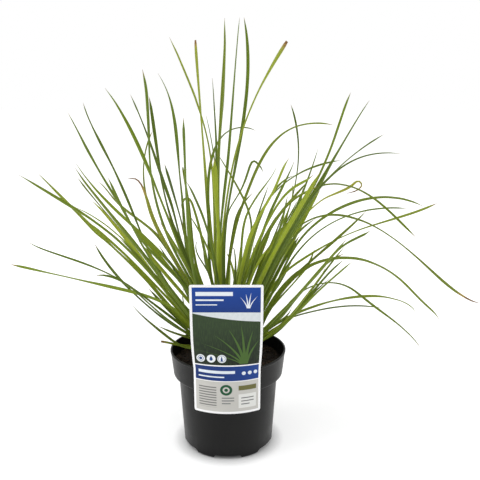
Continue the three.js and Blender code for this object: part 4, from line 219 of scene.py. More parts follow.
def label_material():
    s = Shader("label_print")
    uv = s.node("ShaderNodeUVMap", uv_map="print").outputs[0]
    sep = s.node("ShaderNodeSeparateXYZ")
    s.put(sep.inputs[0], uv)
    U, V = sep.outputs[0], sep.outputs[1]      # millimetres: U from the middle, V up from the bottom
    SOFT = 0.12

    def low(x, e, w=SOFT):
        return s.m("SUBTRACT", 1.0, s.step(x, e, w))

    def rect(u0, u1, v0, v1):
        a = s.m("MINIMUM", s.step(U, u0, SOFT), low(U, u1))
        b = s.m("MINIMUM", s.step(V, v0, SOFT), low(V, v1))
        return s.m("MINIMUM", a, b)

    def dist(cu, cv, ku=1.0, kv=1.0):
        du = s.m("MULTIPLY", s.m("SUBTRACT", U, cu), ku)
        dv = s.m("MULTIPLY", s.m("SUBTRACT", V, cv), kv)
        return s.m("SQRT", s.m("ADD", s.m("MULTIPLY", du, du), s.m("MULTIPLY", dv, dv)))

    def disc(cu, cv, r, ku=1.0, kv=1.0):
        return low(dist(cu, cv, ku, kv), r)

    def ring(cu, cv, r, w):
        return low(s.m("ABSOLUTE", s.m("SUBTRACT", dist(cu, cv), r)), w)

    def union(*parts):
        out = parts[0]
        for p in parts[1:]:
            out = s.m("MAXIMUM", out, p)
        return out

    def blade(cu, v0, height, lean, bend, w):
        """A leaf drawn from (cu, v0) up, leaning and bending sideways."""
        k = s.ramp(V, v0, v0 + height)
        mid = s.m("ADD", s.m("ADD", s.m("MULTIPLY", k, lean), s.m("MULTIPLY", s.m("MULTIPLY", k, k), bend)), cu)
        half = s.m("MULTIPLY", s.m("SUBTRACT", 1.0, s.m("MULTIPLY", k, k)), w)
        inside = s.step(s.m("SUBTRACT", half, s.m("ABSOLUTE", s.m("SUBTRACT", U, mid))), 0.0, SOFT)
        return s.m("MINIMUM", inside, s.m("MINIMUM", s.step(V, v0, SOFT), low(V, v0 + height)))

    white = lin(251, 251, 251)
    blue = s.mix(s.ramp(V, 122.0, 156.0), lin(4, 48, 120), lin(5, 64, 152))
    col = white
    # header field
    col = s.mix(rect(-37.0, 37.0, 127.0, 156.2), col, blue)
    bars = union(rect(-33.0, 7.0, 146.4, 151.0), rect(-33.0, -3.0, 140.6, 142.4), rect(-33.0, -10.0, 135.4, 136.6))
    sprig = None
    for cu, tall, lean, bend, w in ((22.6, 13.0, -3.0, -5.0, 0.7), (23.4, 16.5, -1.0, -1.5, 0.8), (24.2, 18.0, 1.0, 1.5, 0.8),
                                    (25.0, 14.0, 3.5, 5.0, 0.7)):
        one = blade(cu, 132.0, tall, lean, bend, w)
        sprig = one if sprig is None else s.m("MAXIMUM", sprig, one)
    col = s.mix(union(bars, sprig), col, lin(232, 238, 244))
    # panel: a dark green ground under a pale slanting corner, with leaves fanning up from its foot
    grain = s.noise(s.stretch(uv, 0.30, 0.22, 1.0), 1.0, 3.0, 0.6)
    grass = s.noise(s.stretch(uv, 0.9, 0.12, 1.0), 1.0, 3.0, 0.6)
    pic = s.mix(s.ramp(V, 64.0, 112.0), lin(8, 18, 8), lin(44, 62, 36))
    pic = s.mix(s.ramp(grass, 0.45, 0.75, 0.0, 0.5), pic, lin(62, 88, 40))
    slant = s.m("ADD", s.m("ADD", 119.0, s.m("MULTIPLY", U, -0.13)), s.m("MULTIPLY", s.m("MULTIPLY", U, U), 0.0016))
    pic = s.mix(s.step(V, slant, 0.2), pic, s.mix(grain, lin(206, 214, 216), lin(232, 236, 238)))
    fan = None
    for cu, tall, lean, bend, w in ((17, 26, -16, -30, 1.5), (18, 36, -12, -20, 1.6), (19, 43, -6, -11, 1.7), (20, 47, -1, -3, 1.7),
                                    (21, 42, 3, 5, 1.6), (22, 30, 6, 8, 1.5), (16, 18, -20, -34, 1.3)):
        one = blade(float(cu), 64.0, float(tall), float(lean), float(bend), w)
        fan = one if fan is None else s.m("MAXIMUM", fan, one)
    pic = s.mix(s.m("MULTIPLY", fan, 0.8), pic, lin(78, 112, 44))
    col = s.mix(rect(-37.0, 37.0, 62.5, 127.0), col, pic)
    # row of round symbols along the foot of the panel
    col = s.mix(union(disc(-29.5, 70.6, 5.0), disc(-17.5, 70.6, 5.0), disc(-5.5, 70.6, 5.0)), col, lin(236, 240, 242))
    sun = union(disc(-29.5, 70.6, 1.8), ring(-29.5, 70.6, 3.2, 0.28))
    drop = union(disc(-17.5, 69.8, 1.8), blade(-17.5, 70.2, 3.8, 0.0, 0.0, 1.6))
    leaf = union(blade(-5.5, 67.4, 6.4, -0.6, 0.4, 1.2), ring(-5.5, 70.6, 3.8, 0.2))
    col = s.mix(union(sun, drop, leaf), col, lin(30, 66, 126))
    # band
    col = s.mix(rect(-37.0, 37.0, 42.5, 61.0), col, s.mix(s.ramp(U, -37.0, 37.0), lin(6, 44, 108), lin(10, 60, 140)))
    marks = union(rect(-33.0, 9.0, 51.8, 55.4), rect(-33.0, -3.0, 46.6, 48.2), disc(19.0, 51.6, 2.3), disc(26.0, 51.6, 2.3), disc(33.0, 51.6, 2.3))
    col = s.mix(marks, col, lin(228, 236, 244))
    # pale foot: fine stripes, green roundel, grey lines, an olive bar
    foot = rect(-37.0, 37.0, 2.8, 41.6)
    col = s.mix(foot, col, lin(200, 198, 192))
    green = union(ring(-1.0, 31.0, 5.4, 1.5), disc(-1.0, 31.0, 2.1))
    col = s.mix(green, col, lin(24, 82, 50))
    stripes = s.m("MULTIPLY", rect(-33.0, -12.0, 8.0, 36.0), s.step(s.m("SINE", s.m("MULTIPLY", V, 1.9)), 0.1, 0.2))
    col = s.mix(s.m("MULTIPLY", stripes, 0.7), col, lin(64, 66, 66))
    greys = union(rect(-6.0, 8.0, 20.0, 21.4), rect(-6.0, 8.0, 16.4, 17.8), rect(-6.0, 4.0, 12.8, 14.2))
    col = s.mix(greys, col, lin(120, 124, 122))
    col = s.mix(rect(13.0, 34.0, 30.0, 36.0), col, lin(108, 106, 58))
    col = s.mix(rect(13.0, 34.0, 7.0, 25.0), col, lin(228, 228, 224))
    col = s.mix(union(rect(16.0, 31.0, 19.4, 20.6), rect(16.0, 31.0, 15.4, 16.6), rect(16.0, 26.0, 11.4, 12.6)), col, lin(100, 102, 100))
    # the back is plain
    back = s.attr("back")
    col = s.mix(back, col, lin(226, 228, 228))
    s.set("Base Color", col)
    s.set("Roughness", 0.38)
    s.set("Specular IOR Level", 0.25)
    s.bump(s.noise(uv, 0.5, 2.0), 0.08, 0.0006)
    return s.mat


# ---- mesh helpers -----------------------------------------------------------------------------------
def mesh_object(name, verts, faces, material, smooth=True, attrs=None, uv=None, uv_name="UVMap"):
    """verts in millimetres. attrs: name -> one number a vertex. uv: one pair a vertex."""
    me = bpy.data.meshes.new(name)
    me.from_pydata([(float(x) * MM, float(y) * MM, float(z) * MM) for x, y, z in verts], [], faces)
    me.update()
    me.polygons.foreach_set("use_smooth", [bool(smooth)] * len(me.polygons))
    for key, values in (attrs or {}).items():
        a = me.attributes.new(key, "FLOAT", "POINT")
        a.data.foreach_set("value", np.asarray(values, dtype=np.float32))
    if uv is not None:
        layer = me.uv_layers.new(name=uv_name)
        loops = np.zeros(len(me.loops), dtype=np.int32)
        me.loops.foreach_get("vertex_index", loops)
        layer.data.foreach_set("uv", np.asarray(uv, dtype=np.float32)[loops].ravel())
    me.materials.append(material)
    ob = bpy.data.objects.new(name, me)
    scene.collection.objects.link(ob)
    return ob


def dress(ob, slot, *nodes):
    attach(ob, "root")
    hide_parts(*nodes)
    return ob


LEAF, POT, MIX, PRINT = leaf_material(), pot_material(), mix_material(), label_material()


# ---- pot ---------------------------------------------------------------------------------------------
def wall_r(z):
    return BASE_R + (NECK_R - BASE_R) * (z / BAND_Z)


def band_r(z):
    return BAND_R + (RIM_R - BAND_R) * ((z - BAND_Z) / (POT_H - BAND_Z))


def rounded(points, sharp=0.5, n=3):
    """The profile with each corner cut back by up to its own radius and turned in n steps."""
    out = []
    for i, p in enumerate(points):
        r = p[2] if len(p) > 2 else sharp
        if i in (0, len(points) - 1) or r <= 0:
            out.append((p[0], p[1]))
            continue
        a, b, c = np.array(points[i - 1][:2]), np.array(p[:2]), np.array(points[i + 1][:2])
        ra = min(r, np.linalg.norm(a - b) * 0.45)
        rc = min(r, np.linalg.norm(c - b) * 0.45)
        s = b + (a - b) / np.linalg.norm(a - b) * ra
        e = b + (c - b) / np.linalg.norm(c - b) * rc
        for k in range(n + 1):
            t = k / n
            q = s * (1 - t) ** 2 + b * 2 * t * (1 - t) + e * t * t
            out.append((float(q[0]), float(q[1])))
    return out


def make_pot():
    seg = 216
    profile = [(0.0, 1.0, 0), (20.0, 1.0, 0), (44.0, 1.0, 1.0), (48.0, 0.0, 1.0), (BASE_R - 1.6, 0.0, 1.2), (wall_r(2.6), 2.6, 0.8),
               (wall_r(30), 30.0, 0), (wall_r(60), 60.0, 0), (wall_r(BAND_Z - 6), BAND_Z - 6, 0), (wall_r(BAND_Z - 2.2), BAND_Z - 2.2, 0), (wall_r(BAND_Z - 1.6), BAND_Z - 1.6, 0),
               (wall_r(BAND_Z - 0.6), BAND_Z - 0.6, 0.7), (BAND_R - 0.6, BAND_Z - 0.1, 0.5), (BAND_R + 0.15, BAND_Z + 1.2, 0.5),
               (band_r(95), 95.0, 0), (band_r(110), 110.0, 0), (band_r(POT_H - 2.6), POT_H - 2.6, 0.3), (RIM_R + 0.25, POT_H - 2.2, 0.3),
               (RIM_R + 0.25, POT_H, 0.8), (RIM_R - WALL - 0.4, POT_H, 0.7), (band_r(POT_H - 2.0) - WALL, POT_H - 2.0, 0.5),
               (band_r(106) - WALL, 106.0, 0), (band_r(BAND_Z + 1.6) - WALL, BAND_Z + 1.6, 0.5), (wall_r(BAND_Z) - WALL, BAND_Z + 0.6, 0.5),
               (wall_r(45) - WALL, 45.0, 0), (wall_r(4) - WALL, 4.0, 0.8), (BASE_R - 4.6, FLOOR, 0.8), (0.0, FLOOR, 0)]
    pts = rounded(profile)
    verts, faces = [], []
    rows = []
    for r, z in pts:
        if r < 1e-6:
            verts.append((0.0, 0.0, z))
            rows.append([len(verts) - 1] * seg)
            continue
        row = []
        for k in range(seg):
            a = -math.pi / 2 + 2 * math.pi * k / seg
            zz = z
            # notches moulded up into the bottom edge
            if z < NOTCH_H + 2.5 and r > 46.0:
                w = abs((k / seg * NOTCHES + 0.5) % 1.0 - 0.5) / NOTCHES * 2 * math.pi * BASE_R
                lift = min(1.0, max(0.0, (NOTCH_W / 2 - w) / 1.8))
                lift = lift * lift * (3 - 2 * lift)
                keep = max(0.0, 1.0 - max(0.0, z) / (NOTCH_H + 2.5))
                if z < FLOOR or r > BASE_R - 2.5:
                    zz = z + lift * (NOTCH_H - max(0.0, z) * 0.0) * keep
            verts.append((r * math.cos(a), r * math.sin(a), zz))
            row.append(len(verts) - 1)
        rows.append(row)
    for a, b in zip(rows, rows[1:]):
        for k in range(seg):
            q = [a[k], a[(k + 1) % seg], b[(k + 1) % seg], b[k]]
            face = []
            for v in q:
                if v not in face:
                    face.append(v)
            if len(face) > 2:
                faces.append(face)
    ob = mesh_object("pot_moulded", verts, faces, POT)
    split = ob.data
    split.set_sharp_from_angle(angle=math.radians(38))
    return dress(ob, "pot", "pot")


# ---- potting mix -------------------------------------------------------------------------------------
def make_mix(feet):
    rnd = random.Random(11)
    verts, faces, tone = [], [], []
    rings, seg = 34, 120
    top_r = band_r(SOIL_Z) - WALL - 0.6

    def height(x, y):
        h = 0.9 * math.sin(x * 0.11 + 1.0) * math.cos(y * 0.13) + 0.7 * math.sin(x * 0.31 + y * 0.27)
        return SOIL_Z + h - 0.6

    verts.append((0.0, 0.0, height(0, 0)))
    tone.append(0.0)
    for i in range(1, rings + 1):
        r = top_r * i / rings
        for k in range(seg):
            a = 2 * math.pi * k / seg
            x, y = r * math.cos(a), r * math.sin(a)
            jit = rnd.uniform(-0.7, 0.7) if i < rings else 0.0
            verts.append((x, y, height(x, y) + jit))
            tone.append(rnd.uniform(0.0, 0.25))
    for k in range(seg):
        faces.append((0, 1 + k, 1 + (k + 1) % seg))
    for i in range(rings - 1):
        a, b = 1 + i * seg, 1 + (i + 1) * seg
        for k in range(seg):
            faces.append((a + k, b + k, b + (k + 1) % seg, a + (k + 1) % seg))
    # the mass below the surface
    last = 1 + (rings - 1) * seg
    below = []
    for r, z in ((band_r(BAND_Z + 3) - WALL - 0.6, BAND_Z + 3), (wall_r(BAND_Z) - WALL - 0.8, BAND_Z + 1), (wall_r(5) - WALL - 0.8, 5.0)):
        start = len(verts)
        for k in range(seg):
            a = 2 * math.pi * k / seg
            verts.append((r * math.cos(a), r * math.sin(a), z))
            tone.append(0.0)
        below.append(start)
    rows = [last] + below
    for a, b in zip(rows, rows[1:]):
        for k in range(seg):
            faces.append((a + k, b + k, b + (k + 1) % seg, a + (k + 1) % seg))
    faces.append([below[-1] + k for k in range(seg)])
    # bark chips and crumbs lying on it
    for n in range(1150):
        r = top_r * 0.965 * math.sqrt(rnd.random())
        a = rnd.uniform(0, 2 * math.pi)
        x, y = r * math.cos(a), r * math.sin(a)
        if any((x - fx) ** 2 + (y - fy) ** 2 < 8.0 for fx, fy in feet):
            continue
        big = rnd.random() < 0.4
        lx = rnd.uniform(2.4, 5.2) if big else rnd.uniform(0.7, 2.2)
        ly = lx * rnd.uniform(0.4, 0.8)
        lz = lx * rnd.uniform(0.18, 0.4)
        lx, ly = min(lx, max(0.6, top_r - r)), min(ly, max(0.6, top_r - r))
        z = height(x, y) + lz * rnd.uniform(0.1, 0.7)
        ya, ti, ro = rnd.uniform(0, math.pi), rnd.uniform(-0.4, 0.4), rnd.uniform(-0.4, 0.4)
        base = len(verts)
        shade = rnd.random() ** 2.2
        for sx, sy, sz in ((-1, -1, -1), (1, -1, -1), (1, 1, -1), (-1, 1, -1), (-1, -1, 1), (1, -1, 1), (1, 1, 1), (-1, 1, 1)):
            px = sx * lx * rnd.uniform(0.55, 1.0) / 2
            py = sy * ly * rnd.uniform(0.55, 1.0) / 2
            pz = sz * lz * rnd.uniform(0.6, 1.0) / 2 + px * ti * 0.5 + py * ro * 0.5
            qx, qy = px * math.cos(ya) - py * math.sin(ya), px * math.sin(ya) + py * math.cos(ya)
            verts.append((x + qx, y + qy, z + pz))
            tone.append(shade)
        for f in ((3, 2, 1, 0), (4, 5, 6, 7), (0, 1, 5, 4), (1, 2, 6, 5), (2, 3, 7, 6), (3, 0, 4, 7)):
            faces.append([base + i for i in f])
    ob = mesh_object("mix_bark", verts, faces, MIX, smooth=False, attrs={"tone": tone})
    return dress(ob, "mix", "potting_mix")


# ---- plant label -------------------------------------------------------------------------------------
SLOPE = (RIM_R - BAND_R) / (POT_H - BAND_Z)


def sheet_point(u, z, off):
    arc = 1.0 if z <= 118 else (max(0.0, 1 - (z - 118) / 62) ** 2 if z < 180 else 0.0)
    R = RIM_R + 0.4
    bx, by = R * math.sin(u / R), R - R * math.cos(u / R)
    x = u + (bx - u) * arc
    y = by * arc
    return (x * (1 + off / R * arc), y - (RIM_R + 0.35) - (z - POT_H) * SLOPE - off, z)


def make_label():
    nu, nz = 49, 97
    verts, faces, uv, back = [], [], [], []
    corner = 0.9
    for side, off in ((0, 0.0), (1, LABEL_T)):
        for j in range(nz):
            z = LABEL_BOTTOM + LABEL_H * j / (nz - 1)
            d = min(z - LABEL_BOTTOM, LABEL_TOP - z)
            half = LABEL_W / 2 - (corner - math.sqrt(max(0.0, corner ** 2 - (corner - d) ** 2)) if d < corner else 0.0)
            for i in range(nu):
                u = (i / (nu - 1) * 2 - 1) * half
                verts.append(sheet_point(u, z, off))
                uv.append((u, z - LABEL_BOTTOM))
                back.append(1.0 - side)

    def at(s, j, i):
        return (s * nz + j) * nu + i

    for j in range(nz - 1):
        for i in range(nu - 1):
            faces.append((at(1, j, i), at(1, j, i + 1), at(1, j + 1, i + 1), at(1, j + 1, i)))
            faces.append((at(0, j, i), at(0, j + 1, i), at(0, j + 1, i + 1), at(0, j, i + 1)))
    for j in range(nz - 1):
        faces.append((at(1, j, 0), at(1, j + 1, 0), at(0, j + 1, 0), at(0, j, 0)))
        faces.append((at(1, j, nu - 1), at(0, j, nu - 1), at(0, j + 1, nu - 1), at(1, j + 1, nu - 1)))
    for i in range(nu - 1):
        faces.append((at(1, 0, i), at(0, 0, i), at(0, 0, i + 1), at(1, 0, i + 1)))
        faces.append((at(1, nz - 1, i), at(1, nz - 1, i + 1), at(0, nz - 1, i + 1), at(0, nz - 1, i)))
    # tongue over the rim and down inside it
    yo, yi = -(RIM_R + 0.55), -(RIM_R - WALL - 1.2)
    outline = [(yo, POT_H + 0.42), (yi, POT_H + 0.42), (yi + 1.2, SOIL_Z + 3), (yi + 1.75, SOIL_Z + 3), (yi + 0.7, POT_H + 1.0), (yo, POT_H + 1.0)]
    for x in (-8.0, 8.0):
        for y, z in outline:
            verts.append((x, y, z))
            uv.append((0.0, 0.0))
            back.append(1.0)
    b = 2 * nu * nz
    n = len(outline)
    for k in range(n):
        faces.append((b + k, b + (k + 1) % n, b + n + (k + 1) % n, b + n + k))
    faces.append((b + 0, b + 5, b + 4, b + 1))
    faces.append((b + 1, b + 4, b + 3, b + 2))
    faces.append((b + n + 0, b + n + 1, b + n + 4, b + n + 5))
    faces.append((b + n + 1, b + n + 2, b + n + 3, b + n + 4))
    ob = mesh_object("label_sheet", verts, faces, PRINT, attrs={"back": back}, uv=uv, uv_name="print")
    ob.data.set_sharp_from_angle(angle=math.radians(38))
    return dress(ob, "label", "plant_label")


# ---- shoots ------------------------------------------------------------------------------------------
# One entry a shoot: the middle of its foot, then its leaves. A leaf is (tone, brown length at the tip,
# blunt, warm) and its sections from foot to tip: middle x, y, z and the half-width vector, millimetres.
SHOOTS = [
    ((.3, .3), [
        ((.35, 3, 0, 0), (1.1, .8, 105.5, .88, -.33, 0, .5, 1.9, 125, 1.33, -.47, .12, -1.1, 3.6, 144, 1.47, -.51, .2, -3.8, 6.5, 167.3, 1.46, -.51, .26, -6.5, 10.5, 190.2, 1.45, -.54, .26, -8, 13.8, 206, 1.41, -.64, .25, -9, 18.2, 224, 1.32, -.81, .25, -9.2, 23.1, 242, 1.21, -.96, .26, -8.7, 27.7, 257.6, 1.13, -1.06, .27, -7.2, 34.1, 277.7, 1.16, -1.03, .24, -4.7, 42.8, 302.2, 1.48, -.54, .03, .3, 61, 347, 1.46, -.58, .11, 5, 86.8, 404.5, 1.09, -1.06, .42, 8.7, 111.9, 456.9, .55, -1.12, .5, 10.8, 124.1, 483.6, .41, -.83, .31, 12.5, 131, 503.1, .44, -.49, .1, 14.2, 134.4, 519.9, .31, -.22, 0)),
        ((.45, 3, 0, 0), (-.3, -.2, 105.5, .97, .3, .02, -1.3, .4, 132.7, 1.6, .55, .06, -4.5, 3.5, 195.1, 1.57, .63, .01, -5.1, 6, 225.4, 1.5, .78, -.08, -4.3, 8.8, 250.6, 1.4, .93, -.2, -1.9, 12.1, 275.5, 1.19, 1.16, -.32, 2.5, 16.8, 304.4, 1.08, 1.25, -.41, 9.1, 23.5, 339.5, 1.32, .97, -.45, 16.4, 31.8, 378.9, 1.53, .62, -.39, 20.3, 37.5, 405.2, 1.61, .44, -.3, 22.7, 42.2, 427.3, 1.66, .23, -.19, 24, 46.7, 449.5, 1.66, .02, -.05, 23.8, 50.7, 471.6, 1.49, .01, .06, 22.3, 53.6, 491.3, 1.02, .06, .11, 19.3, 55.2, 510.7, .43, .2, .07)),
    ]),
    ((-8.2, -.4), [
        ((.75, 7, 1, .3), (-7.4, .1, 105.5, .73, -.05, -.16, -6.7, .1, 111.2, .86, .02, -.01, -7.4, -.2, 115.9, .88, .16, .32, -9.5, -.9, 119.5, .67, .31, .72, -12, -2.1, 122, .73, .33, .76, -20.8, -3.4, 123.6, .03, .47, 1.16, -29.7, -3.9, 123.4, -.1, .46, 1.16, -39.3, -5.7, 123.3, -.08, .46, 1.16, -47.3, -7.7, 123.8, .02, .48, 1.15, -60.8, -11.5, 126.9, 0, .9, .86, -73, -15.3, 131.3, .03, .93, .83, -79.8, -16.6, 133.2, .16, .51, 1.05)),
        ((.55, 4, 0, .08), (-9, 0, 105.5, .74, -.02, -.1, -8.7, -.1, 111.7, .87, .05, .05, -9.6, -.5, 117.4, .94, .13, .25, -11.5, -1.1, 122.7, .96, .22, .46, -14.5, -2, 128.3, .96, .3, .67, -23.9, -4.9, 139.8, .81, .38, .88, -40, -11.7, 157.7, .87, .33, .83, -44.2, -13.9, 163.9, 1.09, -.25, .57, -47.7, -16.2, 170.5, .92, -.78, .13, -50.6, -19, 178.9, .68, -.75, -.07, -52, -21.7, 187.7, .56, -.55, -.12, -51.9, -23.7, 195.8, .4, -.37, -.12, -50.4, -24.7, 203.4, .21, -.15, -.07)),
        ((.57, 3, 0, .02), (-8.1, -1.3, 105.5, .96, .07, -.03, -8.2, -1.6, 113.2, 1.13, .16, .08, -9.1, -2.3, 121.4, 1.31, .28, .22, -10.9, -3.8, 131.1, 1.48, .43, .41, -13, -5.5, 139.7, 1.43, .5, .5, -18.5, -10.7, 159.4, 1.35, .5, .59, -21, -13.7, 167.2, 1.31, .27, .59, -25.1, -18.9, 178.7, .89, .17, .34, -27.5, -21.2, 186.5, .32, .18, .13)),
    ]),
    ((-3.9, -7.3), [
        ((.6, 9, 1, .25), (-3.1, -6.7, 105.5, .75, .02, .01, -4.1, -6.9, 131.9, 1.25, .06, .07, -7.3, -8.2, 179.2, 1.25, .06, .07, -8.2, -10, 202.7, 1.25, .03, .02, -8, -12.6, 223.8, 1.24, -.16, -.06, -6.7, -16.9, 249.3, 1.14, -.49, -.18, -4.2, -23.2, 276.6, .97, -.73, -.29, -1.3, -30.1, 301, .81, -.87, -.38, 2.4, -38.4, 324.7, .71, -.91, -.48, 6, -46.5, 343.5, .64, -.91, -.56, 10.2, -55.9, 361.6, .55, -.91, -.66, 15.1, -66.6, 378.9, .41, -.91, -.75, 20, -77.4, 393.5, .26, -.91, -.82, 25.3, -89.3, 407.3, .1, -.89, -.87, 30.8, -102.3, 420.2, .01, -.85, -.92, 37.3, -117.8, 433.7, .06, -.98, -1.21, 46.1, -137.6, 450, .54, -1.02, -1.47, 50.8, -145.1, 457.6, .81, -.98, -1.29, 53.2, -147.8, 461.4, .85, -.9, -1.08, 55.7, -149.5, 465.1, .81, -.77, -.84)),
        ((.4, 3, 0, 0), (-4.7, -6.9, 105.5, .75, .03, .02, -5.7, -8.1, 128.4, 1.19, .06, .07, -7.1, -9.9, 149.2, 1.24, .08, .1, -9.1, -12.9, 173.9, 1.24, .08, .11, -11.1, -16.9, 198.4, 1.24, .08, .11, -12.7, -21.6, 222.6, 1.25, .07, .08, -13.6, -26.8, 246.3, 1.25, .04, .03, -13.6, -31.8, 267.6, 1.24, -.1, -.05, -12.7, -37.7, 290.3, 1.22, -.22, -.12, -11.3, -45.9, 316.1, 1.2, -.3, -.17, -10.5, -55.8, 339.5, 1.18, -.37, -.2, -10.1, -73, 373.8, .92, -.67, -.36, -11, -97.2, 416.3, .38, -.45, -.22, -11.4, -101.8, 426.6, .28, -.32, -.1, -11.9, -104, 435.4, .19, -.18, -.02)),
        ((.6, 3, 0, .15), (-3.9, -8.2, 105.5, 1.13, .03, .01, -4.3, -8.6, 130.4, 1.85, .08, .05, -4.8, -9.1, 147.7, 1.88, .16, .07, -7.6, -12.3, 208.3, 1.83, .45, .14, -10.2, -16.7, 257.6, 1.83, .44, .11, -10.7, -22, 300.8, 1.84, .43, .04, -9.7, -27.1, 333.9, 1.7, .81, .06, -7.4, -34.3, 372.1, 1.25, 1.4, .19, -3.7, -44.9, 418.6, 1.49, 1.06, .16, -.9, -57.8, 466, 1.03, .33, .05, -.7, -61.2, 480.5, .75, .24, .04, -.8, -63.1, 495, .27, .28, .03)),
    ]),
    ((4, -6.6), [
        ((.44, 5, 0, .04), (4.7, -6.1, 105.5, .75, 0, -.02, 5.3, -6.9, 131.2, 1.24, 0, -.03, 6.4, -8.9, 164.5, 1.25, 0, -.05, 7.3, -10, 178.6, 1.24, -.02, -.11, 8.9, -11.4, 192.6, 1.24, -.04, -.18, 11.2, -13.1, 206.4, 1.23, .03, -.25, 14.1, -14.9, 218.4, 1.18, .3, -.27, 25.2, -22.1, 254.7, .97, .78, -.06, 27.2, -24.5, 265, .92, .84, .08, 27.7, -27, 275.4, .87, .86, .25, 27, -28.9, 282.7, .83, .87, .36, 25.5, -30.9, 289.9, .78, .87, .45, 22.9, -33.4, 298.2, .72, .88, .53, 19.2, -36.5, 307.6, .68, .85, .6, 10.5, -43.5, 325.3, .58, .63, .58, -2.1, -54.2, 348, .39, .3, .36, -6.1, -56.8, 354.8, .3, .21, .25, -10.1, -58.3, 361.4, .17, .16, .13)),
        ((.62, 6, 0, .02), (3.3, -7.1, 105.5, .75, .02, .02, 3.4, -7.3, 116.9, .97, -.01, -.05, 4.5, -7.9, 128.3, 1.18, -.04, -.15, 8.9, -10.1, 152.5, 1.21, -.1, -.29, 14.9, -14.4, 178.2, 1.2, -.11, -.33, 21, -18, 198.2, 1.2, -.12, -.34, 25.6, -22.3, 217.4, .91, -.7, -.36, 29.2, -27.9, 240, .53, -.51, -.17, 29.8, -29.9, 249, .46, -.24, -.06, 29.9, -30.9, 257, .28, -.12, 0)),
    ]),
    ((7.7, .4), [
        ((.49, 3, 0, .01), (8.4, 1, 105.5, .81, .07, 0, 9, 1, 117.6, 1.06, .08, -.1, 10.7, 1.1, 129.4, 1.29, .09, -.25, 13.7, 1.2, 141.7, 1.31, .08, -.37, 18, 1.4, 155, 1.27, .07, -.47, 23.4, 1.7, 168.5, 1.24, .07, -.55, 30.5, 2, 183.5, 1.21, .08, -.61, 45.7, 2.8, 212.4, 1.13, -.21, -.6, 52.8, 3.1, 226.2, .36, .09, -.18)),
        ((.66, 4, 0, .02), (6.9, .8, 105.5, .96, -.03, .02, 7.2, .4, 116.1, 1.21, -.14, -.11, 8.6, -1, 127.9, 1.46, -.3, -.29, 15.7, -7.6, 160.5, 1.43, -.48, -.45, 18.6, -9.7, 168.6, 1.22, -.28, -.76, 21.5, -11.6, 173.6, 1.18, -.25, -.7, 25.5, -15.4, 182, .69, -.15, -.38, 27.6, -17, 187.6, .33, -.17, -.13)),
        ((.57, 3, 0, .14), (7.8, -.4, 105.5, .95, -.04, -.13, 8.3, -.8, 114.9, 1.19, .1, .03, 7.5, -1.8, 124.9, 1.4, .26, .22, 5.2, -3.9, 138, 1.49, .41, .39, 2.1, -6.9, 151.5, 1.49, .44, .37, .4, -11.1, 166.4, 1.51, .36, .12, .8, -12.5, 172.4, 1.46, 0, -.2, 1.8, -14.4, 179.5, 1.37, -.02, -.15, 1.9, -16.6, 184.8, 1.06, .08, .15, .7, -19.9, 191.8, .63, .09, .1, .7, -21.2, 196.3, .37, .12, -.01)),
    ]),
    ((4.1, 6.8), [
        ((.4, 3, 0, 0), (4.8, 7.3, 105.5, .75, 0, -.02, 5.9, 8.6, 132.2, 1.25, -.01, -.07, 8, 11, 159.8, 1.24, -.03, -.12, 10.8, 14.1, 183.4, 1.24, -.05, -.17, 14.5, 18, 204.8, 1.23, -.09, -.23, 19.3, 23, 225.5, 1.16, -.43, -.19, 25.4, 29.2, 245.7, 1.04, -.68, -.12, 32.5, 36.3, 263.7, .94, -.82, -.06, 39.8, 43.5, 278.1, .86, -.9, 0, 48, 51.1, 290.1, .82, -.95, .04, 57.9, 59.9, 301.1, .79, -.97, .05, 68.3, 68.9, 309.6, .78, -.97, .06, 81.6, 80.1, 317.7, .81, -.95, -.05, 99.9, 95, 325.6, .72, -.66, -.55, 119.9, 109.9, 331.3, .35, -.22, -.9, 135.2, 118.9, 334.2, .22, -.18, -.85, 142.9, 122.1, 335.3, .15, -.23, -.6, 150.5, 124, 336.1, .08, -.23, -.36)),
        ((.4, 5, 0, 0), (3.3, 6.3, 105.5, .89, -.31, .01, 3.5, 6.6, 116.1, 1.12, -.43, -.03, 4.4, 7.4, 127.9, 1.37, -.57, -.11, 8.3, 9.8, 150.8, 1.41, -.67, -.22, 15.7, 14.3, 179.6, 1.38, -.7, -.26, 26.1, 22, 215.7, 1.4, -.64, -.29, 31.4, 25.8, 229.9, 1.38, -.61, -.43, 40.4, 32, 250, 1.42, -.51, -.43, 51.8, 41.2, 278.1, 1.33, -.76, -.33, 58.4, 46.3, 291.8, 1.28, -.79, -.34, 67.3, 53, 309.1, 1.1, -.32, -.45, 75.1, 58.4, 324, .65, -.56, -.15, 79.3, 60.8, 332.9, .45, -.42, -.11, 82.9, 62.2, 342.2, .33, -.22, -.1)),
    ]),
    ((-4.5, 6.9), [
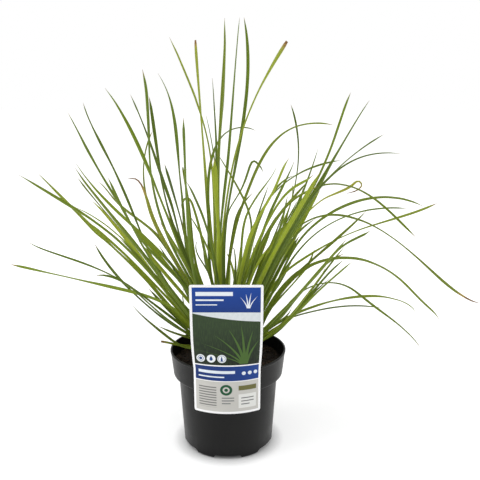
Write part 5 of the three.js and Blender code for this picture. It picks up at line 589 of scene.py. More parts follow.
        ((.58, 4, 0, 0), (-3.7, 7.4, 105.5, .76, .02, .01, -4.1, 8.7, 128.6, 1.2, .04, .02, -4.6, 10.9, 151.2, 1.26, .04, .02, -5.1, 14.1, 174.9, 1.26, .04, .02, -5.3, 17.9, 196.7, 1.26, .01, 0, -5.1, 22.5, 218.3, 1.18, -.43, .08, -4.4, 27.6, 238.1, 1, -.75, .15, -3.2, 33, 256.2, .83, -.92, .23, -1.4, 38.4, 271.1, .65, -1.04, .3, .3, 41.5, 278.4, .61, -1.06, .3, 3.1, 44.9, 285.3, .62, -1.07, .26, 13.9, 54.9, 301.6, .77, -.99, .14, 17.6, 59.1, 308.1, .93, -.85, .06, 21.8, 65, 317.9, 1.15, -.47, -.15, 27.4, 74.4, 333.8, 1.14, -.09, -.4, 29.6, 76.9, 337.9, .88, -.1, -.73, 32.4, 78.5, 339.3, 0, -.13, -1.08, 35.3, 80.1, 337.8, -.6, -.11, -.81, 41.9, 84.5, 330, -.62, -.19, -.41, 44.4, 90.5, 323.5, -.3, -.16, -.2)),
        ((.36, 7, 0, .07), (-5.3, 7.3, 105.5, .75, .03, .02, -5.5, 9.3, 137.2, 1.25, .03, -.02, -4.1, 13.7, 171.2, 1.25, .01, -.08, -1.2, 20.1, 204.4, 1.24, -.04, -.13, 3.4, 29, 239.1, 1.09, -.62, .01, 7.8, 37.1, 264.5, 1.01, -.65, .02, 10, 40.3, 273.2, .96, -.45, -.13, 12.4, 42.9, 279.4, .87, -.3, -.26, 15.6, 45.6, 285.3, .76, -.19, -.39, 20.3, 48.6, 291.7, .68, -.12, -.52, 25.7, 51.1, 297.6, .5, -.15, -.43, 31.5, 52.6, 303.4, .24, -.19, -.22)),
        ((.58, 2, 0, .01), (-4.4, 6, 105.5, .75, .02, .01, -5, 7.8, 131.9, 1.25, .05, .04, -6.5, 11.4, 158.4, 1.24, .07, .09, -9.2, 15.9, 181.2, 1.24, .09, .17, -13.3, 21.4, 202.3, 1.22, .05, .28, -18.6, 27.1, 220, 1.04, -.46, .52, -24.9, 32.8, 235.3, .87, -.59, .67, -32.1, 39.4, 249, .86, -.05, .53, -39.3, 45.3, 260.5, .7, .12, .4, -44.2, 48.4, 268, .51, .06, .32, -48.7, 49.9, 274.8, .34, -.05, .23)),
    ]),
    ((-16, -.4), [
        ((.75, 3, 0, .1), (-15.2, .1, 105.5, .96, .42, .04, -15.7, .2, 112.7, 1.12, .52, .08, -17.3, .8, 123, 1.33, .7, .22, -21.7, 2, 138.6, 1.43, .89, .44, -29.4, 3.9, 156.2, 1.35, .95, .56, -40.1, 7, 174.4, 1.28, .99, .65, -55, 11.5, 195, 1.27, .93, .76, -73.2, 17.5, 217, 1.29, .76, .9, -89.4, 23.1, 234.9, 1.27, .6, 1, -107.9, 29.5, 254, 1.12, .39, .99, -115.7, 31.7, 261.9, .69, .32, .6, -122.7, 32.9, 269.1, .27, .28, .23)),
        ((.85, 3, 0, .2), (-16.8, -.1, 105.5, 1, -.26, .04, -18.1, .1, 117.8, 1.31, -.28, .25, -21.9, .3, 132.7, 1.61, -.29, .52, -27.2, .4, 145.8, 1.54, -.24, .74, -34.4, .7, 158.9, 1.45, -.21, .9, -41.5, .9, 169.6, 1.4, -.19, .99, -50.2, 1.3, 181.4, 1.35, -.11, 1.06, -92.6, 3.5, 233.6, 1.24, .41, .93, -106.4, 4.1, 252.8, .36, -.08, .24)),
        ((.31, 6, 0, .07), (-15.9, -1.3, 105.5, .88, .36, .06, -18.3, -.2, 129.5, 1.38, .66, .25, -23.7, 0, 154.3, 1.38, .73, .31, -29.6, 1, 176.1, 1.34, .78, .37, -36.9, 2.1, 198.2, 1.31, .81, .43, -45.7, 2.9, 221.9, 1.31, .78, .46, -63.1, 8, 265.6, 1.39, .25, .52, -66.4, 8.7, 274.1, 1.21, .25, .44, -70.6, 9.2, 285.6, .35, .27, .12)),
    ]),
    ((-20.4, -6.6), [
        ((.5, 4, 0, .2), (-19.6, -6.1, 105.5, .56, .49, -.12, -19, -6.1, 110.8, .6, .61, .02, -19.5, -6.6, 114.8, .49, .73, .29, -21.3, -7.7, 118.3, .16, .85, .53, -24.3, -9.5, 120.8, -.22, .9, .59, -29.7, -11.4, 122.2, -.17, 1.08, .51, -42.7, -13.1, 122.9, -.1, 1.13, .53, -48.8, -14.3, 124.2, -.05, 1.08, .62, -56.5, -16.6, 128.1, .18, .96, .78, -64.5, -19.8, 134.6, .46, .79, .86, -76.8, -25.6, 147.6, .52, .79, .82, -92.6, -34.5, 166, .12, .89, .54, -102.8, -41.2, 180.1, .04, .56, .25, -108.5, -43.7, 189, .07, .23, .07)),
        ((.45, 6, 0, .2), (-21.1, -7.1, 105.5, .75, 0, -.08, -21.2, -7.2, 112.9, .87, .11, .15, -23.4, -7.3, 119.2, .91, .22, .42, -23.8, -7.2, 121.9, 1.07, .09, .08, -27.5, -6.4, 125.3, .95, .3, .62, -34.6, -6.6, 129.6, .4, .46, 1.09, -47.2, -10, 135.9, .4, .41, 1.11, -56.5, -11.7, 139.6, .44, -.04, 1.12, -69, -14, 145, .32, .3, .79, -82.9, -16.4, 152.6, .19, .04, .33)),
    ]),
    ((-11.8, -7.4), [
        ((.55, 42, 0, .7), (-11.1, -6.9, 105.5, 1.04, .04, .01, -11.3, -7, 111.7, 1.2, .05, .07, -12.4, -7.9, 122.6, 1.48, .04, .22, -16, -9.9, 139.6, 1.67, .02, .48, -19.5, -11.6, 150.1, 1.63, .01, .59, -26.1, -14.9, 167.6, 1.62, -.06, .6, -34.9, -19.9, 188.5, 1.58, -.1, .71, -44.1, -25.7, 207.4, 1.57, -.14, .73, -54.9, -33.8, 230, 1.59, -.12, .69, -64.3, -41.9, 251, 1.61, -.13, .64, -74.5, -51.7, 275.4, 1.63, -.18, .55, -79.8, -58.4, 292.1, 1.65, -.09, .37, -82.3, -62.9, 303.9, 1.5, .12, .33, -84.8, -68.2, 316.8, 1.19, -.21, .17, -88.3, -73.7, 329, .83, -.34, .18, -90.8, -75.8, 333.2, .62, -.24, .42, -93.6, -77.2, 335.3, .32, -.16, .59, -98.1, -78.6, 335.9, -.01, -.11, .59, -102.7, -79.6, 335, -.16, -.11, .51)),
        ((.34, 2, 0, .04), (-12.5, -7.9, 105.5, .75, .04, .02, -13.6, -8.4, 119.2, 1, .1, .15, -16.6, -9.7, 133.8, 1.19, .18, .33, -21.3, -11.7, 148.9, 1.14, .23, .45, -27.6, -14.8, 164.3, 1.09, .26, .55, -36.1, -19.3, 181.9, 1.05, .28, .62, -44.5, -24.7, 198.1, 1.11, 0, .58, -57.6, -34, 223.1, 1.07, -.49, .35, -71.3, -45.8, 250.9, .56, -.12, .23, -76.8, -48.7, 261.6, .22, -.09, .11)),
    ]),
    ((-16.3, -13.6), [
        ((.4, 6, 0, 0), (-15.5, -13.1, 105.5, .79, .03, 0, -15.8, -13.3, 111.9, .91, .08, .09, -17.8, -15, 122.9, 1.09, .18, .33, -21.4, -16.8, 133.2, 1.16, .28, .55, -26.1, -19, 142.9, 1.09, .32, .66, -33.6, -22.5, 155.7, 1.03, .33, .76, -46.5, -29.1, 175.1, 1.1, .07, .73, -64.4, -40.5, 205.2, 1.16, -.41, .48, -73.7, -47.7, 222.9, 1.13, -.57, .34, -82.2, -54.7, 240.5, 1.09, -.7, .23, -96.2, -65.9, 273.4, .99, -.86, .08, -106.4, -76.3, 300.4, 1.19, -.5, .27, -116.8, -87.6, 323.9, 1.21, -.41, .32, -125.5, -98.7, 345.1, 1.06, -.69, .03, -133.3, -110.6, 367.3, .93, .12, .38, -139.9, -120.7, 387.2, .6, -.21, .11, -143.4, -124.4, 396.7, .43, -.1, .14, -146.9, -126.2, 404.7, .26, -.06, .11)),
        ((.55, 3, 0, 0), (-17, -14.1, 105.5, .78, .06, .05, -17.5, -14.2, 111.8, .9, .08, .08, -19.5, -15.6, 127.7, 1.2, .14, .21, -24.2, -18.5, 149.7, 1.24, .19, .36, -31, -22.9, 171, 1.21, .1, .48, -39.8, -29.1, 191.2, 1.16, .03, .59, -48, -35.1, 206.1, 1.11, 0, .68, -58.7, -43.5, 222.5, 1.08, -.03, .73, -79.4, -62, 251.9, 1.13, -.21, .62, -86.8, -69.6, 263.6, 1.15, -.5, .35, -92, -75.6, 273.3, 1.11, -.67, .14, -99.8, -86.4, 291.8, 1.05, -.63, .03, -104.7, -94.5, 306.7, 1.07, .1, .38, -107.9, -100.2, 317.7, .98, .25, .4, -111.7, -106, 330.8, .82, .16, .31, -115.2, -108.6, 340.9, .43, -.07, .15)),
    ]),
    ((-8.4, -14.2), [
        ((.75, 4, 0, .25), (-7.5, -13.7, 105.5, .75, .04, .04, -9.2, -15.4, 132.4, 1.24, .08, .09, -11.9, -19.7, 173.5, 1.24, .08, .09, -13.4, -23.9, 204.3, 1.24, .1, .06, -13.9, -28.4, 232.2, 1.18, .4, .07, -13.7, -34.4, 261.8, 1.06, .64, .13, -13.5, -41.5, 290.7, .93, .81, .22, -13.9, -51.6, 325, .74, .96, .32, -15.1, -59.3, 347.6, .58, 1.01, .44, -16.5, -65.2, 361.6, .49, 1.02, .54, -18.2, -71.1, 373.3, .4, 1.01, .62, -20.7, -78.9, 386.5, .29, .99, .7, -23.6, -87.7, 399.1, .3, .94, .77, -26.8, -97.3, 411.2, .41, .81, .8, -30.1, -107.6, 422.7, .46, .64, .75, -41, -139, 453.7, .54, .12, .32, -44.4, -145.2, 461.8, .4, .12, .25, -47.4, -148.2, 468.6, .21, .14, .14)),
        ((.8, 3, 0, .1), (-9.2, -14.7, 105.5, 1.38, .07, .06, -9.8, -16.2, 132.5, 2.3, .09, .03, -9.8, -20.5, 167, 2.3, .07, -.01, -9.3, -26.7, 198.4, 2.3, .07, -.01, -9.1, -35.3, 229.4, 2.3, .08, .03, -9.2, -42.8, 251.2, 2.22, -.55, -.18, -9.4, -48.5, 265.4, 1.76, -1.38, -.54, -9.7, -54.6, 279.5, 1.5, -1.6, -.7, -10.3, -66.9, 304.1, 1.77, -1.25, -.64, -10.6, -78.9, 325.2, 2.04, -.06, -.01, -10.8, -89.1, 342.9, 2, .06, .04, -10.8, -92.5, 350.1, 1.61, -.15, -.05, -10.8, -94.8, 358.3, .62, -.32, -.06)),
    ]),
    ((-4.4, -20.9), [
        ((.5, 3, 0, 0), (-3.6, -20.4, 105.5, .75, .03, .02, -4, -21, 118, .99, .04, .03, -4.7, -23.1, 137.5, 1.25, .06, .06, -5.4, -25.8, 154.4, 1.25, .06, .08, -6.4, -29.4, 171.2, 1.24, .07, .1, -7.5, -33.6, 186.7, 1.24, .08, .12, -8.8, -38.6, 202.1, 1.24, .05, .13, -10.3, -44.4, 217.4, 1.24, -.11, .09, -11.9, -50.5, 231.2, 1.22, -.25, .03, -13.6, -57.3, 244.8, 1.2, -.34, -.01, -15.6, -64.9, 258.2, 1.16, -.45, -.09, -17.8, -73.3, 271.3, 1.08, -.59, -.21, -20, -81.5, 282.9, 1.05, -.62, -.26, -24.3, -97.9, 302.8, 1.08, -.29, 0, -30.8, -119.7, 325.8, .79, .11, .37, -33.5, -125.8, 333, .59, .02, .26, -36.7, -129.2, 339.6, .27, -.1, .11)),
        ((.4, 6, 0, .11), (-5.1, -21.4, 105.5, .84, .05, .05, -5.5, -21.7, 116.4, 1.08, .03, -.01, -5, -22.5, 128.3, 1.34, 0, -.1, -1.8, -25.5, 153.9, 1.39, -.11, -.24, 1.2, -28.7, 171.2, 1.35, -.26, -.3, 4.4, -32.7, 188.4, 1.33, -.34, -.32, 7.2, -37.4, 205.6, 1.32, -.39, -.3, 8.7, -41.8, 219.2, 1.2, -.66, -.33, 9.5, -48.6, 238.1, .81, -.71, -.26, 8.3, -54.9, 254.7, .48, -.48, -.05, 7.3, -55.7, 257, .44, -.36, .19, -.6, -57.6, 258, 0, -.11, .26)),
    ]),
    ((.3, -14.5), [
        ((.7, 5, 0, .15), (1.1, -14, 105.5, .83, .05, -.01, .5, -14.9, 141.7, 1.35, .26, .08, -2.4, -16.5, 173.2, 1.33, .36, .13, -2.7, -16.8, 181.4, 1.34, .33, -.01, .6, -17.7, 213.9, 1.3, .46, -.09, 2.4, -18.8, 231.9, 1.24, .58, -.11, 6.2, -21.5, 255.7, 1.22, .63, -.14, 11.2, -25.5, 279, 1.19, .68, -.16, 16.7, -29.8, 297.7, 1.2, .65, -.23, 24.9, -36.6, 321.2, 1.25, .51, -.28, 32.2, -43.5, 340.3, 1.26, .42, -.36, 40, -51.1, 356.7, 1.23, .44, -.45, 48.6, -59.4, 370, 1.14, .62, -.43, 57.8, -67.9, 379.9, .94, .72, -.33, 63, -72.6, 383.9, .84, .7, -.32, 68.5, -77.4, 387.2, .73, .63, -.36, 74.3, -82.4, 389.6, .61, .53, -.47, 81.7, -88.5, 391.5, .4, .37, -.59, 87.7, -92.9, 392.3, .21, .23, -.64, 93.7, -96.8, 392.5, .07, .16, -.68, 99.8, -99.7, 392, -.01, .17, -.61, 105.9, -101.5, 391, -.03, .19, -.37)),
        ((.5, 3, 0, 0), (-.5, -14.1, 105.5, .75, .03, .03, -.4, -14.6, 119, 1.01, 0, -.05, .8, -15.9, 134.1, 1.24, -.04, -.15, 3.3, -18.1, 150.7, 1.23, -.06, -.23, 6.8, -21.5, 168.6, 1.22, -.08, -.27, 12, -27.2, 192.4, 1.21, -.08, -.28, 16.3, -33.5, 214.4, 1.23, -.01, -.22, 20.5, -41.4, 237.6, 1.22, .21, -.16, 24.5, -48.8, 255.9, 1.2, .29, -.17, 29, -56.8, 272.4, 1.19, .35, -.17, 34, -65.9, 288.3, 1.18, .39, -.16, 39.5, -76.2, 303.6, 1.16, .34, -.19, 45, -86.8, 317, .96, .05, -.39, 50.2, -96.1, 327.1, .76, -.07, -.53, 55.9, -104.2, 334.9, .51, -.03, -.49, 61.8, -109.8, 340.2, .33, .02, -.47, 67.8, -112.6, 343.1, .13, .1, -.27)),
        ((.55, 3, 0, .07), (.4, -15.4, 105.5, .75, .02, .01, .4, -15.6, 116.1, .95, .01, -.03, 1.2, -16.5, 129.5, 1.21, -.02, -.1, 4.2, -19.3, 154.9, 1.23, -.05, -.2, 9.2, -24.3, 182.6, 1.22, -.08, -.26, 15.3, -31.8, 212.6, 1.23, .07, -.23, 20.7, -40.3, 239.4, 1.12, .54, -.04, 26.1, -49.9, 264.3, .99, .75, .09, 31.5, -59.8, 286, .86, .76, .15, 39.9, -75.2, 315.6, .6, .16, -.11, 42.2, -78.2, 323.1, .45, .06, -.12, 44.3, -79.6, 329.3, .24, .1, -.06)),
    ]),
    ((3.8, -20.9), [
        ((.6, 3, 0, 0), (4.5, -20.4, 105.5, .75, .01, -.01, 5.1, -21.3, 122.8, 1.08, -.01, -.06, 6.6, -23.4, 143.3, 1.24, -.03, -.12, 8.8, -26.5, 162.3, 1.24, -.05, -.18, 11.8, -30.7, 181.2, 1.23, -.07, -.23, 15.4, -36.1, 199.9, 1.21, -.11, -.29, 19.3, -42.2, 216.9, 1.14, -.31, -.4, 24, -50.2, 235, 1.01, -.51, -.53, 28.8, -58.6, 251.3, .9, -.61, -.62, 34.5, -69, 268.5, .78, -.67, -.71, 40.5, -80.9, 285.1, .65, -.71, -.8, 46.2, -93, 299.7, .52, -.73, -.87, 51.6, -105.5, 312.4, .41, -.7, -.94, 57.8, -119.4, 324.1, .43, -.45, -.87, 64.3, -132.8, 333, .52, -.22, -.83, 69.2, -141.5, 337.8, .46, -.17, -.86, 74.3, -149.1, 342, .4, -.17, -.77, 78.4, -153.6, 345.5, .34, -.21, -.55, 81.3, -155.8, 348.7, .3, -.24, -.35)),
        ((.75, 4, 0, .15), (3, -21.4, 105.5, 1.07, .01, -.01, 3.5, -22.4, 123, 1.55, 0, -.06, 4.6, -24.6, 142.3, 1.78, -.03, -.14, 6.3, -27.8, 161.6, 1.76, -.19, -.22, 8.4, -31.9, 179.3, 1.72, -.35, -.31, 10.8, -36.9, 196.9, 1.68, -.46, -.39, 13.8, -43.6, 216, 1.63, -.54, -.48, 16.8, -50.8, 233.2, 1.61, -.55, -.54, 20, -59.2, 250.2, 1.57, -.57, -.62, 22.6, -66, 262.4, 1.53, -.59, -.7, 25.1, -72.7, 272.8, 1.42, -.68, -.84, 28.1, -80, 282.9, 1.16, -.88, -1.03, 31.4, -88, 292.8, .8, -1.05, -1.2, 36.8, -100.6, 306.1, .38, -1.15, -1.31, 42.9, -115.3, 320.2, .24, -1.1, -1.3, 47.5, -129.2, 332.7, .42, -.84, -1.06, 53.3, -149.7, 352, .64, -.29, -.49, 55.8, -155.2, 358.5, .49, -.21, -.37, 59, -158.4, 364.3, .21, -.21, -.22)),
    ]),
    ((8.4, -14.2), [
        ((.7, 3, 0, .04), (9.1, -13.7, 105.5, .75, -.01, -.03, 10.2, -15.2, 125, 1.12, -.03, -.08, 12.1, -19, 146.7, 1.24, -.05, -.15, 14.8, -24.5, 166.8, 1.23, -.08, -.22, 18.2, -31.6, 186, 1.21, -.1, -.29, 22.3, -40.2, 204.1, 1.2, -.07, -.34, 27.3, -50.6, 221.8, 1.2, .07, -.32, 31.8, -60.2, 235.6, 1.04, -.12, -.46, 38, -72.1, 251.1, .84, -.14, -.48, 40.8, -76.1, 257, .64, -.06, -.36, 43.5, -78.1, 261.7, .48, .05, -.29)),
        ((.44, 2, 0, .13), (7.6, -14.7, 105.5, .83, -.2, -.02, 8.5, -15.5, 122.6, 1.17, -.34, -.12, 10.5, -17.7, 141.8, 1.32, -.46, -.23, 13.3, -21.2, 161, 1.28, -.52, -.32, 16.8, -25.9, 180.1, 1.23, -.57, -.4, 20.6, -31.5, 198.1, 1.19, -.61, -.47, 24.7, -38.1, 215.9, 1.16, -.62, -.52, 29.7, -47.5, 237.1, 1.24, -.27, -.42, 34.9, -58, 258.6, 1.14, -.12, -.33, 36.8, -61.2, 266.2, .66, -.16, -.22, 38.3, -62.5, 271.9, .32, -.19, -.11)),
    ]),
    ((16.3, -14.3), [
        ((.6, 5, 0, .1), (16.9, -13.8, 105.5, .82, -.02, -.03, 17.3, -13.8, 111.5, .94, -.05, -.1, 19, -14.6, 121.5, 1.12, -.12, -.27, 24, -16.1, 136.8, 1.23, -.26, -.52, 30.6, -17.9, 151.3, 1.15, -.39, -.62, 47, -23.4, 184.6, 1.02, -.69, -.58, 56, -27.3, 205.9, .9, -.87, -.53, 65.8, -32.4, 230.5, .75, -1, -.53, 72.4, -36.1, 245.8, .69, -1.01, -.59, 78.2, -39.4, 257.1, .64, -1, -.67, 84.9, -43, 267.7, .51, -1.02, -.75, 92.4, -47.1, 277.3, .38, -1.03, -.8, 104.3, -53.5, 289.4, .32, -.94, -.93, 118.3, -61.5, 300.5, .29, -.77, -1.08, 133.1, -70.2, 309.1, .08, -.76, -1.12, 146.7, -78.7, 314.6, -.13, -.71, -1.01, 161.8, -88.4, 317.9, -.19, -.45, -.89, 175.4, -96.9, 318, -.17, -.15, -.82, 182, -100.7, 316.9, -.21, -.09, -.75, 187.3, -103.1, 315.5, -.25, -.1, -.64, 192.6, -105, 313.5, -.23, -.14, -.44, 198, -106.1, 310.9, -.15, -.15, -.25)),
        ((.35, 3, 0, 0), (15.5, -13.9, 105.5, .75, -.02, -.04, 17.4, -14.8, 126.3, 1.14, -.07, -.16, 21.7, -16.5, 148.8, 1.21, -.12, -.29, 27.7, -19, 170.7, 1.18, -.15, -.39, 35.7, -22.7, 193.9, 1.14, -.18, -.47, 46.4, -28.1, 219.9, 1.13, -.12, -.52, 60.2, -35.9, 250.1, 1.14, .14, -.5, 76.3, -46.7, 284.1, 1.13, .3, -.44, 88.9, -55.7, 308, 1.09, .39, -.48, 98.2, -62.3, 322.7, 1.06, .43, -.5, 106.2, -68.9, 333.5, 1.04, .49, -.49, 115.8, -77.3, 344.4, .96, .62, -.42, 126.3, -86.3, 353.3, .78, .59, -.41, 137.6, -95.5, 359.8, .57, .45, -.49, 149.6, -104.5, 363.5, .3, .28, -.53, 160.6, -110.9, 364.6, .09, .19, -.42, 166.3, -113, 364.4, .03, .17, -.3, 170.7, -114, 364, 0, .14, -.22)),
        ((.6, 7, 0, .1), (16.4, -15.2, 105.5, .75, -.02, -.05, 18.9, -15.7, 130, 1.21, -.08, -.19, 23.6, -16.3, 153.9, 1.21, -.12, -.29, 29.3, -16.2, 174.6, 1.2, -.14, -.34, 34.5, -15.1, 194.3, 1.19, -.14, -.34, 39.2, -14.3, 205.8, 1.09, -.25, -.55, 44.2, -14.3, 215.4, 1.06, -.37, -.55, 48.9, -15, 225.1, 1.01, -.5, -.53, 58.9, -18.7, 246.3, .85, -.72, -.57, 71.1, -25, 270.7, .69, -.86, -.59, 86.3, -33, 299.4, .52, -.99, -.56, 95.1, -37.3, 314.6, .38, -1.05, -.56, 100, -39.3, 320.5, .16, -1.08, -.61, 103, -40.2, 322.6, .01, -1.09, -.62, 108.2, -41.8, 324.6, -.17, -1.09, -.58, 113.6, -43.3, 325.4, -.26, -1.1, -.52, 120.8, -45.4, 325.7, -.35, -1.12, -.44, 133.2, -49.2, 323.8, -.44, -1.13, -.3, 144.9, -53, 319.4, -.53, -1.06, -.36, 158.6, -57.9, 311.3, -.65, -.66, -.59, 172.4, -63, 300.3, -.67, -.16, -.69, 189.2, -68.6, 284.4, -.72, 0, -.73, 202.4, -70.9, 271.5, -.34, -.23, -.34)),
    ]),
    ((12.2, -7.2), [
        ((.55, 4, 0, .1), (13, -6.7, 105.5, .75, -.02, -.05, 14.7, -8, 130.8, 1.23, -.04, -.11, 18, -11.3, 157.8, 1.25, -.04, -.09, 18.1, -13, 172.4, 1.25, -.02, -.05, 19, -13.4, 179.5, 1.22, -.09, -.24, 23.4, -14.2, 197.6, 1.21, -.1, -.28, 27.3, -16.2, 214.2, 1.2, -.12, -.33, 31.9, -19.2, 230.5, 1.14, -.31, -.42, 37.9, -23.3, 247.8, 1.02, -.5, -.52, 44.3, -27.8, 263.1, .92, -.61, -.6, 51.2, -32.8, 277.9, .81, -.69, -.67, 57.7, -37.6, 289.6, .71, -.7, -.74, 64.2, -42.4, 299.3, .65, -.51, -.76, 70.7, -47.1, 307.1, .6, -.29, -.76, 77.1, -51.4, 313.1, .52, -.21, -.81, 82.9, -55.4, 317.3, .42, -.19, -.84, 90.8, -61, 322.2, .28, -.21, -.7, 97.3, -65, 326.3, .1, -.22, -.32)),
        ((.44, 3, 0, .05), (11.4, -6.8, 105.5, .75, -.01, -.03, 12.7, -7.7, 124.7, 1.11, -.04, -.11, 15.2, -9.8, 143.9, 1.23, -.08, -.21, 19.9, -14, 165.8, 1.21, -.11, -.29, 22.7, -17.8, 182.1, 1.22, -.1, -.27, 24.7, -19.4, 189.3, 1.16, -.16, -.45, 31.1, -23, 204.7, 1.13, -.17, -.5, 36.8, -27.3, 218.5, 1.13, -.09, -.52, 46.2, -35.9, 240, 1.17, .21, -.4, 52.6, -43.3, 256.9, 1.17, .37, -.23, 57.4, -50.7, 274, 1.1, .26, -.14, 61.9, -60.9, 297.7, .88, -.09, -.18, 63.6, -64.7, 308.6, .66, -.01, -.11, 65.1, -66.4, 317, .35, .1, -.05)),
        ((.46, 7, 0, .02), (12.3, -8.1, 105.5, .9, .24, -.04, 13.8, -8.6, 126, 1.38, .35, -.14, 16.6, -9.5, 145.3, 1.49, .38, -.26, 19.6, -10.1, 157.2, 1.45, .32, -.49, 24, -10.3, 167.9, 1.42, .31, -.57, 25.6, -10.5, 172.7, 1.48, .39, -.31, 26.5, -11.9, 182.6, 1.49, .47, -.03, 28.1, -13.7, 191.5, 1.48, .4, -.31, 34.1, -17.3, 209.7, 1.45, .37, -.44, 39.9, -20.9, 224.6, 1.42, .29, -.58, 45.3, -22.8, 234.5, 1.3, .06, -.78, 49.7, -23.5, 243, 1.38, -.14, -.52, 51.8, -24.3, 249.8, 1.39, -.18, -.47, 54.4, -25.9, 256.7, 1.26, -.2, -.6, 58.8, -28.5, 266, .86, -.1, -.46, 63.1, -29.9, 274.1, .35, .11, -.19)),
    ]),
    ((19.9, -6.7), [
        ((.33, 5, 0, .14), (20.6, -6.2, 105.5, .74, .04, .1, 20.3, -6.2, 110, .84, -.02, -.02, 20.9, -6.2, 114.3, .88, -.11, -.24, 23.5, -5.7, 120.3, .92, -.2, -.46, 25.1, -5.5, 122.6, .77, -.31, -.73, 31.6, -5.4, 126.7, .49, -.43, -1.06, 49.4, -7.6, 135.6, .57, -.43, -1.03, 55.1, -8.2, 139.4, .69, -.41, -.96, 60.9, -8.8, 144.3, .79, -.4, -.88, 71.3, -9.8, 155.5, .78, -.67, -.71, 98.4, -12.9, 188.8, .5, -.8, -.53, 111.2, -14.5, 202.6, .23, -.56, -.29, 121.2, -15.3, 212.2, .11, -.21, -.13)),
        ((.66, 6, 0, .01), (19.1, -6.3, 105.5, .74, .03, .09, 18.9, -6.4, 111.1, .85, -.04, -.07, 20.1, -6.9, 116.8, .9, -.14, -.34, 22.6, -7.7, 122, .87, -.25, -.6, 26, -8.8, 126.4, .81, -.34, -.81, 30, -9.9, 130.3, .71, -.39, -.95, 35.9, -11.7, 134.9, .6, -.41, -1.02, 45, -14.6, 141.3, .7, -.13, -1.03, 56.5, -19, 150.3, .86, .47, -.77, 65.7, -23.1, 159.3, .95, .47, -.66, 73.2, -27.1, 168.6, 1.01, .54, -.51, 84.9, -34.5, 187.3, 1.01, .67, -.3, 103.3, -49, 221.1, .6, .38, -.15, 107, -51.7, 228.9, .42, .25, -.1, 109.6, -53.1, 236, .23, .11, -.06)),
        ((.62, 5, 0, .02), (19.9, -7.6, 105.5, .75, .01, .04, 20.1, -7.7, 112.1, .87, -.05, -.11, 21.6, -8.1, 118.6, .94, -.14, -.32, 24.3, -8.7, 124.8, .96, -.24, -.55, 28.2, -9.6, 130.8, .93, -.32, -.77, 34, -11, 137.3, .8, -.36, -.89, 41.2, -12.9, 143.9, .7, -.39, -.96, 56.7, -18, 156.1, .02, -1.09, -.55, 67.2, -22.2, 165.1, .45, -.45, -.61, 72.5, -24.8, 172.6, .42, -.31, -.3, 74.1, -25.8, 176.6, .3, -.29, -.14, 75, -26.3, 180.8, .16, -.19, -.04)),
    ]),
    ((16.2, -.1), [
        ((.45, 4, 0, 0), (16.9, .5, 105.5, 1.37, -.05, -.1, 18.1, 0, 118.3, 1.81, -.1, -.23, 20.4, -1.1, 133.2, 2.24, -.18, -.42, 23.5, -2.5, 147.9, 2.21, -.22, -.55, 27.3, -4.5, 162.4, 2.18, -.2, -.67, 33.7, -8.5, 181, 2.11, -.08, -.88, 40.7, -13.3, 197.2, 2.13, .06, -.83, 48.2, -19.9, 218.7, 2.13, .17, -.8, 58, -25.3, 240.4, 2.07, .2, -.95, 77.5, -33.6, 279.5, 2.05, .23, -.98, 90.8, -41, 305.8, 2.06, .27, -.95, 101.1, -48.4, 326.7, 2.06, .66, -.74, 112.7, -58.5, 351.8, 1.53, 1.65, 0, 121.6, -67.1, 371.4, .99, 1.55, .24, 131.8, -76.8, 393, .7, 1.06, .11, 138.2, -81.4, 405.3, .51, .69, -.08, 143.6, -83.3, 414.6, .26, .38, -.11)),
        ((.8, 3, 0, .1), (15.4, .3, 105.5, 1.04, -.24, -.08, 18.2, -1.1, 136.2, 1.7, -.51, -.23, 22.7, -4.3, 167.9, 1.63, -.63, -.37, 28.6, -8.6, 195, 1.53, -.74, -.55, 36.7, -14.4, 221, 1.44, -.79, -.7, 40.6, -18.3, 233, 1.41, -.78, -.78, 44.4, -22.4, 242.4, 1.22, -.83, -1.01, 61.4, -34.6, 269.3, 1.15, -.82, -1.08, 70.4, -42, 284.7, 1.34, -.36, -.91, 79.1, -51.7, 302.6, 1.34, -.26, -.74, 83.5, -57.7, 313.1, .61, -.29, -.4, 85.6, -59.9, 318.2, .27, -.25, -.21)),
        ((.7, 4, 0, .1), (16.2, -1, 105.5, 1.18, -.33, -.08, 18.5, -1.2, 125.1, 1.72, -.6, -.3, 22.3, -1.7, 142.7, 1.83, -.76, -.49, 28.3, -2.5, 162.7, 1.74, -.85, -.64, 36.7, -3.8, 184.6, 1.65, -.93, -.75, 46.1, -5.3, 205.8, 1.59, -.98, -.83, 58.6, -7.6, 231.4, 1.56, -.97, -.89, 82.3, -12.7, 276.9, 1.57, -.91, -.93, 101.5, -17.7, 315, 1.66, -.32, -.85, 106.6, -18.8, 325.6, 1.4, -.38, -.7, 112.1, -19.6, 337.3, .3, -.36, -.15)),
    ]),
    ((20.3, 6.8), [
        ((.5, 4, 0, 0), (21, 7.3, 105.5, .75, -.03, -.07, 23.7, 8.2, 126.8, 1.15, -.09, -.18, 27.9, 9.8, 147.4, 1.21, -.12, -.28, 33.4, 11.8, 167.4, 1.19, -.15, -.36, 40.7, 14.6, 188.3, 1.16, -.17, -.43, 48.7, 17.7, 206.9, 1.13, -.24, -.48, 56.7, 21.2, 223.1, 1.05, -.53, -.43, 69.1, 26.9, 245.2, .9, -.81, -.31, 83.3, 33.5, 268.3, .77, -.97, -.2, 95.6, 39.3, 286.2, .67, -1.05, -.12, 107.7, 45.2, 302.1, .58, -1.11, -.04, 119.9, 50.9, 315.9, .49, -1.15, .05, 131.8, 56.5, 327.6, .41, -1.17, .15, 149.1, 64.5, 342.1, .44, -1.02, .02, 169.5, 73.2, 356.5, .49, -.49, -.46, 184.3, 78.3, 365.7, .44, -.25, -.62, 197.5, 80.7, 373.4, .16, -.23, -.24)),
